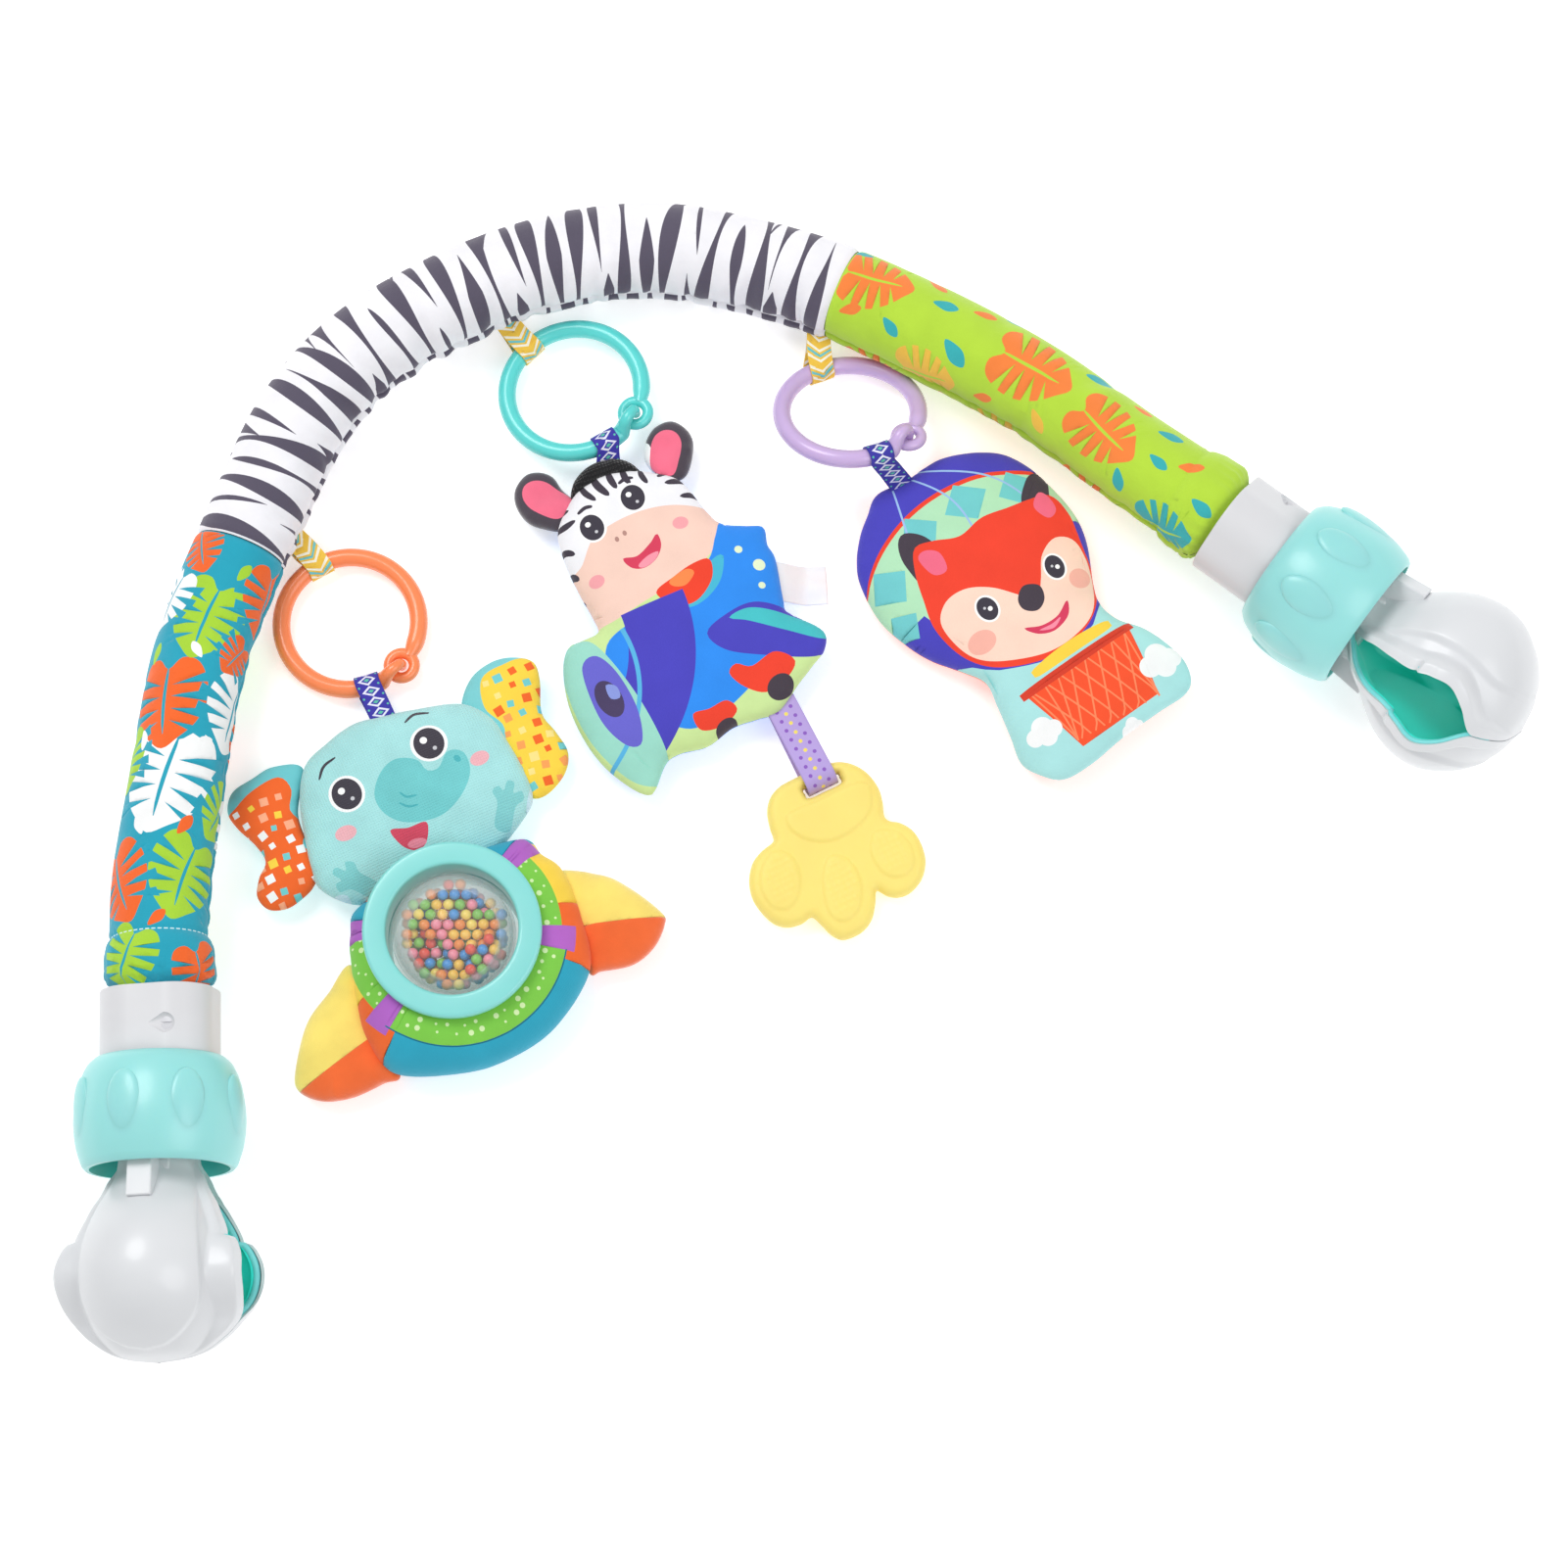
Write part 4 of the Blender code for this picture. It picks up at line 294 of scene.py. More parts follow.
def rim_loop(faces):
    """The panel's outer boundary as a loop of point numbers."""
    follow = dict(open_edges(faces))
    best = []
    while follow:
        start = next(iter(follow))
        loop = [start]
        step = follow.pop(start)
        while step != start and step in follow:
            loop.append(step)
            step = follow.pop(step)
        if len(loop) > len(best):
            best = loop
    return best


def make_mesh(name, points, faces, colours=None, uv=None, smooth_angle=50.0):
    """Points in metres, triangles or quads, one colour a face and a cloth map in metres."""
    kept, seen = [], set()
    for i, face in enumerate(faces):
        corners = frozenset(int(c) for c in face)
        if len(corners) == len(face) and corners not in seen:
            seen.add(corners)
            kept.append(i)
    faces = [tuple(int(c) for c in faces[i]) for i in kept]
    used = sorted({c for face in faces for c in face})
    renumber = dict(zip(used, range(len(used))))
    faces = [tuple(renumber[c] for c in face) for face in faces]
    points = np.array(points, float)[used]
    colours = None if colours is None else np.array(colours, float)[kept]
    uv = None if uv is None else np.array(uv, float)[used]
    mesh = bpy.data.meshes.new(name)
    mesh.from_pydata([tuple(p) for p in points], [], faces)
    mesh.update()
    corners = np.zeros(len(mesh.loops), int)
    mesh.loops.foreach_get("vertex_index", corners)
    if colours is not None:
        print_colours = mesh.color_attributes.new("print", "FLOAT_COLOR", "CORNER")
        counts = np.array([len(f) for f in faces])
        spread = np.repeat(np.hstack([np.array(colours, float), np.ones((len(colours), 1))]), counts,
            axis=0)
        print_colours.data.foreach_set("color", spread.astype(np.float32).ravel())
    if uv is not None:
        layer = mesh.uv_layers.new(name="cloth")
        layer.data.foreach_set("uv", np.array(uv, np.float32)[corners].ravel())
    mesh.shade_smooth()
    mesh.set_sharp_from_angle(angle=math.radians(smooth_angle))
    obj = bpy.data.objects.new(name, mesh)
    bpy.context.scene.collection.objects.link(obj)
    return obj


def wear(obj, material):
    obj.data.materials.clear()
    obj.data.materials.append(material)
    return obj


def settle(obj, body, node_name):
    """The finished piece rides its body and stands for its node."""
    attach(obj, body)
    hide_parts(node_name)


def stuffed(obj, cloth, body, node_name):
    """A finished piece of sewn and filled cloth."""
    wear(obj, CLOTHS[cloth])
    settle(obj, body, node_name)


def hard(obj, body, slot, node_name):
    """A finished moulding."""
    wear(obj, HARD[slot])
    settle(obj, body, node_name)


# Finishes.

def tune(made, settings):
    """Names that start small set the node itself, names that start with a capital set its inputs."""
    for key, value in settings.items():
        if key[0].islower():
            setattr(made, key, value)
        else:
            made.inputs[key.replace("_", " ")].default_value = value


def blank_material(name, **settings):
    material = bpy.data.materials.new(name)
    material.use_nodes = True
    shader = material.node_tree.nodes["Principled BSDF"]
    tune(shader, settings)
    return material, material.node_tree, shader


def node(tree, kind, **settings):
    made = tree.nodes.new(kind)
    tune(made, settings)
    return made


def weave_bump(tree, shader, mapping, period, depth, strength, crumple):
    """Over and under threads in both ways, and a soft crumple, as bump."""
    link = tree.links.new
    weave = node(tree, "ShaderNodeMath", operation="MULTIPLY")
    for place, direction in enumerate("XY"):
        wave = node(tree, "ShaderNodeTexWave", wave_type="BANDS", bands_direction=direction,
            Scale=0.314 / period)
        link(mapping, wave.inputs["Vector"])
        link(wave.outputs["Fac"], weave.inputs[place])
    fuzz = node(tree, "ShaderNodeTexNoise", Scale=900.0, Detail=2.0)
    link(mapping, fuzz.inputs["Vector"])
    height = node(tree, "ShaderNodeMath", operation="ADD")
    link(weave.outputs[0], height.inputs[0])
    link(fuzz.outputs["Fac"], height.inputs[1])
    soft = node(tree, "ShaderNodeTexNoise", Scale=95.0, Detail=3.0, Roughness=0.5)
    link(mapping, soft.inputs["Vector"])
    folds = node(tree, "ShaderNodeBump", Strength=0.5, Distance=crumple)
    link(soft.outputs["Fac"], folds.inputs["Height"])
    bump = node(tree, "ShaderNodeBump", Strength=strength, Distance=depth)
    link(height.outputs[0], bump.inputs["Height"])
    link(folds.outputs["Normal"], bump.inputs["Normal"])
    link(bump.outputs["Normal"], shader.inputs["Normal"])


def printed_cloth(name, period=0.00062, depth=0.00012, rough=0.92, sheen=0.25, crumple=0.0009, tint=0.05,
        strength=0.35):
    """Woven cloth with its print in the 'print' colours, faintly uneven in its dye."""
    material, tree, shader = blank_material(name, Roughness=rough, Specular_IOR_Level=0.25,
        Sheen_Weight=sheen, Sheen_Roughness=0.5)
    link = tree.links.new
    colours = node(tree, "ShaderNodeVertexColor", layer_name="print")
    cloth = node(tree, "ShaderNodeUVMap", uv_map="cloth")
    dye = node(tree, "ShaderNodeTexNoise", Scale=60.0, Detail=4.0)
    link(cloth.outputs["UV"], dye.inputs["Vector"])
    pale, deep = 1.0 + tint * 0.6, 1.0 - tint
    spread = node(tree, "ShaderNodeMapRange", From_Min=0.3, From_Max=0.7, To_Min=deep, To_Max=pale)
    link(dye.outputs["Fac"], spread.inputs["Value"])
    mixed = node(tree, "ShaderNodeVectorMath", operation="SCALE")
    link(colours.outputs["Color"], mixed.inputs[0])
    link(spread.outputs["Result"], mixed.inputs["Scale"])
    link(mixed.outputs["Vector"], shader.inputs["Base Color"])
    weave_bump(tree, shader, cloth.outputs["UV"], period, depth, strength, crumple)
    return material


def moulded(name, chip, rough=0.32, coat=0.0, grain=0.0, subsurface=0.0, specular=0.5):
    """Moulded plastic or rubber: faint flow marks in the colour, a fine skin on the gloss."""
    material, tree, shader = blank_material(name, Specular_IOR_Level=specular, Coat_Weight=coat,
        Coat_Roughness=0.08)
    link = tree.links.new
    place = node(tree, "ShaderNodeTexCoord")
    flow = node(tree, "ShaderNodeTexNoise", Scale=22.0, Detail=3.0, Distortion=0.6)
    link(place.outputs["Object"], flow.inputs["Vector"])
    ramp = node(tree, "ShaderNodeValToRGB")
    for stop, position, share in zip(ramp.color_ramp.elements, (0.3, 0.7),
            (1.0 - FLOW_TINT, 1.0 + FLOW_TINT)):
        stop.color = (*[min(1.0, c * share) for c in paint(chip)], 1.0)
        stop.position = position
    link(flow.outputs["Fac"], ramp.inputs["Fac"])
    link(ramp.outputs["Color"], shader.inputs["Base Color"])
    skin = node(tree, "ShaderNodeTexNoise", Scale=1120.0, Detail=2.0)
    link(place.outputs["Object"], skin.inputs["Vector"])
    polish = node(tree, "ShaderNodeMapRange", To_Min=rough * 0.9, To_Max=rough * 1.1)
    link(skin.outputs["Fac"], polish.inputs["Value"])
    link(polish.outputs["Result"], shader.inputs["Roughness"])
    if subsurface:
        tune(shader, {"Subsurface_Weight": subsurface, "Subsurface_Radius": (0.004, 0.003, 0.002),
            "Subsurface_Scale": 1.0})
    if grain:
        bump = node(tree, "ShaderNodeBump", Strength=0.25, Distance=grain)
        link(skin.outputs["Fac"], bump.inputs["Height"])
        link(bump.outputs["Normal"], shader.inputs["Normal"])
    return material


# Stuffed shapes.

MM = 0.001
FULLNESS = 0.46
PANEL_RIMS = (0.35, 0.9, 1.8)


class Ground:
    """A toy's own flat millimetre grid set on the floor plan in metres."""

    def __init__(self, hang, turn):
        self.hang, self.turn = Vector(hang), turn

    def flat(self, points):
        return placed(points, self.hang.x, self.hang.y, MM, self.turn)


def swell_over(outline, cell=1.2, rounds=420):
    """How a stuffed skin swells over an outline: a function, 0 at the seam and 1 at its fullest."""
    low = outline.min(axis=0) - 2 * cell
    size = np.ceil((outline.max(axis=0) + 2 * cell - low) / cell).astype(int) + 1
    gx, gy = np.meshgrid(np.arange(size[0]), np.arange(size[1]), indexing="ij")
    spots = np.stack([gx.ravel(), gy.ravel()], axis=1) * cell + low
    within = inside(spots, outline)
    far = np.zeros(len(spots))
    far[within], _ = edge_distance(spots[within], outline)
    mask = within.reshape(size)
    u = np.where(mask, far.reshape(size), 0.0) * 8.0
    for _ in range(rounds):
        around = (np.roll(u, 1, 0) + np.roll(u, -1, 0) + np.roll(u, 1, 1) + np.roll(u, -1, 1)) / 4.0
        u = np.where(mask, around + cell * cell / 4.0, 0.0)
    top = u.max()
    deep = mask & (far.reshape(size) > 0.9 * cell)
    ratio = np.where(deep, u / np.maximum(far.reshape(size), 1e-6), 0.0)
    known = deep.copy()
    for _ in range(6):
        total = sum(np.roll(ratio * known, s, a) for s, a in ((1, 0), (-1, 0), (1, 1), (-1, 1)))
        count = sum(np.roll(known.astype(float), s, a) for s, a in ((1, 0), (-1, 0), (1, 1), (-1, 1)))
        fill = ~known & (count > 0)
        ratio[fill] = total[fill] / count[fill]
        known |= fill

    def swell(points, gap):
        at = (points - low) / cell
        i = np.clip(np.floor(at).astype(int), 0, size - 2)
        t = at - i
        value = np.zeros(len(points))
        for dx in (0, 1):
            for dy in (0, 1):
                w = (t[:, 0] if dx else 1 - t[:, 0]) * (t[:, 1] if dy else 1 - t[:, 1])
                value += w * ratio[i[:, 0] + dx, i[:, 1] + dy]
        return np.clip(value * gap / top, 0.0, 1.0)

    return swell


def pucker(place, gap, seed, total, reach=5.5):
    """Small gathers that run in from a seam: a share from -1 to 1."""
    shuffle = random.Random(seed)
    value = np.zeros(len(place))
    for _ in range(7):
        waves = shuffle.randint(int(total / 16.0), int(total / 6.0))
        deep = shuffle.uniform(0.4, 1.0)
        value += deep * np.sin(2 * math.pi * (waves * place / total + shuffle.random()))
    patch = np.zeros(len(place))
    for _ in range(4):
        waves = shuffle.randint(2, 7)
        patch += np.sin(2 * math.pi * (waves * place / total + shuffle.random()))
    where = np.clip(0.55 + 0.4 * patch, 0.1, 1.2)
    return value / 3.2 * where * np.exp(-gap / reach) * np.minimum(1.0, gap / 0.8)


def puffed(name, plan, outline, motifs, ground, back_motifs, back_ground, seam, top, bottom, spacing=1.5,
        seed=1, gather=0.55, count=200, hollow=None):
    """Two printed panels sewn at the outline and stuffed, on the floor. Heights are in millimetres."""
    line = counterclockwise(curve_through(outline, count))
    swell = swell_over(line)
    front, front_faces, front_colours = cut_panel(line, motifs, ground, spacing, rims=PANEL_RIMS)
    rim = rim_loop(front_faces)
    back, back_faces, back_colours = cut_panel(front[rim], back_motifs, back_ground, spacing * 1.7,
        rims=(0.5, 1.5))
    total = np.sum(np.linalg.norm(np.diff(line, axis=0), axis=1))
    sides = []
    for flat, height, sign, kind in ((front, top, 1.0, seed), (back, bottom, -1.0, seed + 50)):
        gap, place = edge_distance(flat, line)
        gap[gap < 1e-4] = 0.0
        share = swell(flat, gap) ** FULLNESS
        share[gap == 0.0] = 0.0
        z = seam + sign * (height * share + gather * pucker(place, gap, kind, total))
        if hollow is not None and sign > 0:
            z = z + hollow(flat)
        if sign < 0:
            z = np.maximum(z, 0.15 + 0.12 * (1 + np.sin(flat[:, 0] * 0.35) * np.cos(flat[:, 1] * 0.3)))
        sides.append(np.column_stack([plan.flat(flat), z * MM]))
    # The back panel borrows the front's rim points, so the seam is closed.
    keys = {tuple(np.round(front[i], 4)): i for i in rim}
    merged = np.full(len(back), -1)
    fresh = []
    for i, p in enumerate(back):
        merged[i] = keys.get(tuple(np.round(p, 4)), -1)
        if merged[i] < 0:
            merged[i] = len(front) + len(fresh)
            fresh.append(i)
    points = np.vstack([sides[0], sides[1][fresh]])
    uv = np.vstack([front, back[fresh]]) * MM
    faces = np.vstack([front_faces, merged[back_faces][:, ::-1]])
    colours = np.vstack([front_colours, back_colours])
    return make_mesh(name, points, faces, colours, uv, smooth_angle=75.0)


def dotted(low, high, step, radius, colour, seed=3, jitter=0.3):
    """Rows of small dots for the plain backs."""
    shuffle = random.Random(seed)
    shapes = []
    for j, y in enumerate(np.arange(low[1], high[1], step)):
        for x in np.arange(low[0], high[0], step):
            sx = x + (step / 2 if j % 2 else 0) + shuffle.uniform(-1, 1) * jitter
            shapes.append((colour, oval(sx, y + shuffle.uniform(-1, 1) * jitter, radius, count=8)))
    return shapes


def kept_inside(shapes, outline, gap):
    """Only the shapes that lie wholly in the outline, clear of its seam."""
    line = counterclockwise(curve_through(outline, 120))
    kept = []
    for colour, shape in shapes:
        if inside(shape, line).all() and edge_distance(shape, line)[0].min() > gap:
            kept.append((colour, shape))
    return kept


# Elephant.

def eye(x, y, rx, ry, turn=0.0, look=(-0.25, 0.3)):
    """Printed eye: white rim, dark ball, a large and a small light."""
    return [
        (WHITE, oval(x, y, rx * 1.22, ry * 1.16, turn)), (INK, oval(x, y, rx, ry, turn)),
        (WHITE, oval(x + look[0] * rx, y + look[1] * ry, rx * 0.24, rx * 0.24)),
        ((0.62, 0.62, 0.66), oval(x - look[0] * rx * 0.9, y - look[1] * ry * 1.4, rx * 0.14, rx * 0.14)),
    ]


HEAD_LINE = [(-1, 1), (13, -2), (32, -8), (41, -19), (43, -31), (44, -44), (43, -56), (37, -63), (16, -73),
    (-8, -72.5), (-32, -71), (-44, -67), (-53, -56), (-53, -46), (-51, -36), (-46, -18), (-38, -5),
    (-26, 0), (-13, 3)]
EAR_LEFT_LINE = [(-39, -5), (-50, 1), (-60, 0), (-70, -2), (-75, -9), (-74, -17), (-70, -27), (-69, -35),
    (-74, -40), (-78, -47), (-76, -54), (-69, -57), (-62, -56), (-55, -53), (-50, -46), (-49, -23)]
EAR_RIGHT_LINE = [(31.5, -9), (40, 1), (52, 4), (62, 1), (67, -4), (66, -12), (61, -25), (63, -35),
    (64, -45), (59, -53), (49, -58), (42, -56.5), (41, -47), (41, -31), (36, -17)]
BODY_LINE = [(-41, -70), (-50, -80), (-54, -90), (-59, -108), (-61, -123), (-56, -140), (-32, -151),
    (-12, -154), (11, -150), (34, -134), (40, -112), (41, -92), (36, -82), (30, -72), (-5, -68)]
FIN_LEFT_LINE = [(-54, -90), (-68, -97), (-81, -105), (-93, -121), (-95, -129), (-88, -137), (-76, -141),
    (-62, -141), (-54, -140), (-52, -115)]
FIN_RIGHT_LINE = [(37, -90), (55, -99), (64, -110), (71, -124), (70, -129), (62, -136), (51, -139),
    (38, -136), (33, -134), (33, -112)]
BEZEL_SPOT = (-11.2, -99.7)
CONFETTI_SIZE = 3.9
CONFETTI_STEP = 6.6


def elephant_face():
    shapes = [
        (AQUA, blob([(-3, -21), (5, -25), (7, -31), (12, -32), (18, -27), (24, -30), (23, -39), (15, -47),
        (4, -51), (-9, -48), (-16, -41), (-17, -32), (-11, -24)]))]
    shapes += [("4FB5BC", stroke([(-7, -35), (-5, -38), (-1, -39)], 1.0)),
               ("4FB5BC", stroke([(-9, -39), (-6, -42), (-2, -43)], 1.0)),
               ("4FB5BC", oval(20.5, -31.5, 1.3, 1.7, 20))]
    shapes += eye(-27, -26, 6.2, 6.9, 10) + eye(12.5, -20.5, 6.4, 7.0, -5)
    shapes += [(INK, stroke([(-35, -15), (-31, -10.5), (-25, -9)], 1.3)),
               (INK, stroke([(7, -7.5), (12, -5.5), (18, -7.5)], 1.3))]
    mouth = blob([(-17, -48), (-10, -50), (-2, -51), (-5, -58), (-10, -60), (-15, -56)], 40)
    shapes += [("D94A63", mouth), ("F48BA0", oval(-9, -57.3, 4.0, 1.9, -10))]
    shapes += [("F4B6BE", oval(-34, -41, 4.6, 3.2, -8)), ("F4B6BE", oval(29, -35, 4.2, 3.0, 8))]
    for x, y, turn in ((-40, -58, 38), (33, -55, -36)):
        paw = [(-3, -13), (-4, -3), (-7, 1), (-5, 4), (-2.5, 2.5), (-2, 7), (1, 7), (1.5, 2.5), (4.5, 4.5),
            (6, 1), (3.5, -3), (3, -13)]
        shapes.append(("86D2D3", placed(blob(paw, 50), x, y, 1.0, turn)))
    shapes += [("C9EAF6", blob([(36, -66), (45, -52), (48, -60), (44, -70)], 20)),
               ("C9EAF6", blob([(-52, -62), (-44, -64), (-46, -72), (-54, -70)], 20))]
    return shapes


def confetti(low, high, seed, colours):
    """Rows of little squares, each a little off its place, its size and its turn."""
    shuffle = random.Random(seed)
    shapes = []
    row = 0
    y = low[1]
    while y < high[1]:
        x = low[0] + (CONFETTI_STEP / 2 if row % 2 else 0.0)
        while x < high[0]:
            size = CONFETTI_SIZE * shuffle.uniform(0.6, 1.0)
            shapes.append((shuffle.choice(colours),
                box(x + shuffle.uniform(-1, 1), y + shuffle.uniform(-1, 1), size, size,
                shuffle.uniform(-14, 14))))
            x += CONFETTI_STEP
        y += CONFETTI_STEP * 0.93
        row += 1
    return shapes


def ear_print(side):
    if side == "left":
        field = blob([(-50, -5), (-62, -6), (-72, -10), (-90, -18), (-90, -60), (-60, -66), (-49, -58),
            (-51, -50), (-48, -43), (-52, -36), (-48, -28), (-51, -20), (-47, -12)], 90)
        return [(ORANGE, field)] + confetti((-76.0, -56.0), (-50.0, -8.0), 8,
            [LEAF_WHITE, LEAF_WHITE, YELLOW, AQUA, paint("FFB08A")])
    field = blob([(44, -2), (55, 0), (66, -2), (80, -20), (80, -60), (46, -66), (42, -56), (44, -44),
        (42, -33), (44, -24), (40, -14)], 90)
    return [(YELLOW, field)] + confetti((44.0, -54.0), (66.0, 0.0), 5,
        [ORANGE, paint("FBA35A"), AQUA, paint("FCE38C"), ORANGE])


def ring_share(centre, low, high, start, stop, count=26):
    """A slice of a ring, its angles in degrees."""
    a = np.radians(np.linspace(start, stop, count))
    c, s = np.cos(a), np.sin(a)
    outer = np.stack([centre[0] + high * c, centre[1] + high * s], axis=1)
    inner = np.stack([centre[0] + low * c, centre[1] + low * s], axis=1)
    return np.vstack([outer, inner[::-1]])


def body_print():
    x, y = BEZEL_SPOT
    shuffle = random.Random(12)
    shapes = [(colour, ring_share(BEZEL_SPOT, low, high, start, stop, count)) for colour, low, high, start,
        stop, count in ((YELLOW, 34, 60, -8, 27, 12), (ORANGE, 34, 60, -38, -8, 12),
        (YELLOW, 34, 60, 153, 190, 12), (ORANGE, 34, 60, 190, 216, 12), (GREEN, 30, 46.5, -150, -26, 40),
        (GREEN, 30, 44.5, -26, 29, 20), (GREEN, 30, 44.5, 152, 208, 20), (ORANGE, 30, 44, 62, 84, 8),
        (ORANGE, 30, 44, 112, 132, 8))]
    for angle in list(range(-148, 32, 9)) + list(range(154, 208, 9)):
        a = math.radians(angle + shuffle.uniform(-2, 2))
        for r in (38.6 + shuffle.uniform(-0.4, 0.6), 42.3 + shuffle.uniform(-0.6, 0.6)):
            dot = shuffle.choice((0.55, 0.8, 1.15))
            lean = a + 0.06 * (r - 40)
            shapes.append(("D9F2B4", oval(x + r * math.cos(lean), y + r * math.sin(lean), dot, count=10)))
    for middle in (28, -27, 152, 206):
        shapes.append((PURPLE, ring_share(BEZEL_SPOT, 30, 50, middle - 6.5, middle + 6.5, 8)))
    shapes.append(("176F8C", ring_share(BEZEL_SPOT, 46.5, 47.1, -150, -33, 40)))
    return shapes


def fin_print(side):
    if side == "left":
        return [(ORANGE, [(-40, -117), (-62, -123), (-80, -127), (-110, -133), (-100, -160), (-40, -160)])]
    return [(ORANGE, [(20, -112), (44, -118), (60, -123), (85, -131), (85, -160), (20, -160)])]


def make_elephant(plan):
    back = kept_inside(dotted((-60, -75), (50, 5), 9.0, 1.3, LEAF_WHITE), HEAD_LINE, 3.0)
    head = puffed("elephant_head_pillow", plan, HEAD_LINE, elephant_face(), PALE_AQUA, back, AQUA, 12.0,
        12.6, 11.9, spacing=1.35, seed=4)
    stuffed(head, "plush", "elephant", "elephant_head")
    for side, line, chip, seed, slot in (("left", EAR_LEFT_LINE, "6EC7CE", 11, "orange_confetti_cotton"),
            ("right", EAR_RIGHT_LINE, "7FD0D4", 14, "yellow_confetti_cotton")):
        back = kept_inside(dotted((-80, -60), (70, 5), 7.0, 1.1, LEAF_WHITE), line, 2.5)
        ear = puffed("elephant_%s_ear" % side, plan, line, ear_print(side), paint(chip), back, AQUA, 10.0,
            5.6, 5.4, spacing=1.3, seed=seed, count=140, gather=0.5)
        stuffed(ear, "cotton", "elephant", "elephant_ear_" + side)
    stuffed(body_pillow(plan), "cotton", "elephant", "elephant_body")
    for side, line, seed in (("left", FIN_LEFT_LINE, 21), ("right", FIN_RIGHT_LINE, 24)):
        fin = puffed("elephant_%s_fin" % side, plan, line, fin_print(side), paint("F9DE6E"), [], ORANGE,
            10.0, 8.2, 8.0, spacing=1.5, seed=seed, count=130, gather=0.7)
        stuffed(fin, "velvet", "elephant", "elephant_fin_" + side)


def body_pillow(plan):
    """The elephant's body: a stuffed ring whose inner edge goes down beside the bezel's barrel."""
    seam, top, bottom = 14.0, 18.4, 13.6
    line = counterclockwise(curve_through(BODY_LINE, 210))
    hole = oval(*BEZEL_SPOT, 31.2, count=72)
    front, faces, colours = cut_panel(line, body_print(), TEAL, 1.45, rims=PANEL_RIMS, holes=[hole])
    gap, place = edge_distance(front, line)
    gap[gap < 1e-4] = 0.0
    far = np.linalg.norm(front - np.array(BEZEL_SPOT), axis=1)
    total = np.sum(np.linalg.norm(np.diff(line, axis=0), axis=1))
    share = np.clip(gap / 24.0, 0.0, 1.0)
    share = (1 - (1 - share) ** 2) ** FULLNESS
    upper = seam + (top * share + 0.7 * pucker(place, gap, 31, total, reach=7.0))
    upper = np.minimum(upper, 33.0 - 0.15 * np.maximum(0, 41.0 - far))
    lower = seam - (bottom * share + 0.7 * pucker(place, gap, 37, total, reach=7.0))
    lower = np.maximum(lower, np.where(far < 35.5, 3.9, 0.2))
    points = np.vstack([np.column_stack([plan.flat(front), z * MM]) for z in (upper, lower)])
    rim = open_edges(faces)
    on_line = {i for pair in rim for i in pair if gap[i] == 0.0}
    under = np.array([i if i in on_line else len(front) + i for i in range(len(front))])
    walls = [(b, a, under[a], under[b]) for a, b in rim if far[a] < 33.0 and far[b] < 33.0]
    all_faces = [tuple(f) for f in faces] + [tuple(under[f][::-1]) for f in faces] + walls
    all_colours = np.vstack([colours, np.tile(np.array(TEAL, float), (len(faces) + len(walls), 1))])
    return make_mesh("elephant_body_pillow", points, all_faces, all_colours, np.vstack([front, front]) * MM,
        75.0)


# Zebra.

ZEBRA_LINE = [(-20, -10), (-8, -3), (3, -4), (15, -10), (26, -18), (32, -35), (36, -42), (45, -46),
    (52, -49), (51, -57), (52, -64), (49, -82), (49, -88), (60, -100), (58, -108), (51, -113), (42, -119),
    (31, -127), (21, -127), (10, -127), (-2, -131), (-14, -130), (-21, -132), (-29, -141), (-33, -142),
    (-39, -136), (-46, -124), (-50, -110), (-51, -94), (-48, -79), (-43, -71), (-36, -70), (-29, -69),
    (-29, -62), (-31, -49), (-32, -34), (-30, -21)]
ZEBRA_EAR_LEFT_LINE = [(-18, -14), (-22, -4), (-24, 3), (-29, 7), (-35, 7.5), (-41, 3), (-43, -4),
    (-41, -12), (-36, -17), (-27, -21)]
ZEBRA_EAR_RIGHT_LINE = [(15, -4), (18, 4), (24, 9), (32, 9), (37, 2), (36, -6), (29, -16), (20, -15)]
CAP_LINE = [(-20, -10), (-16.5, -3), (-8, 1.2), (1, 1.0), (8, -2.6), (11.5, -9), (4.5, -8.2), (-3, -6.8),
    (-12, -8.2)]


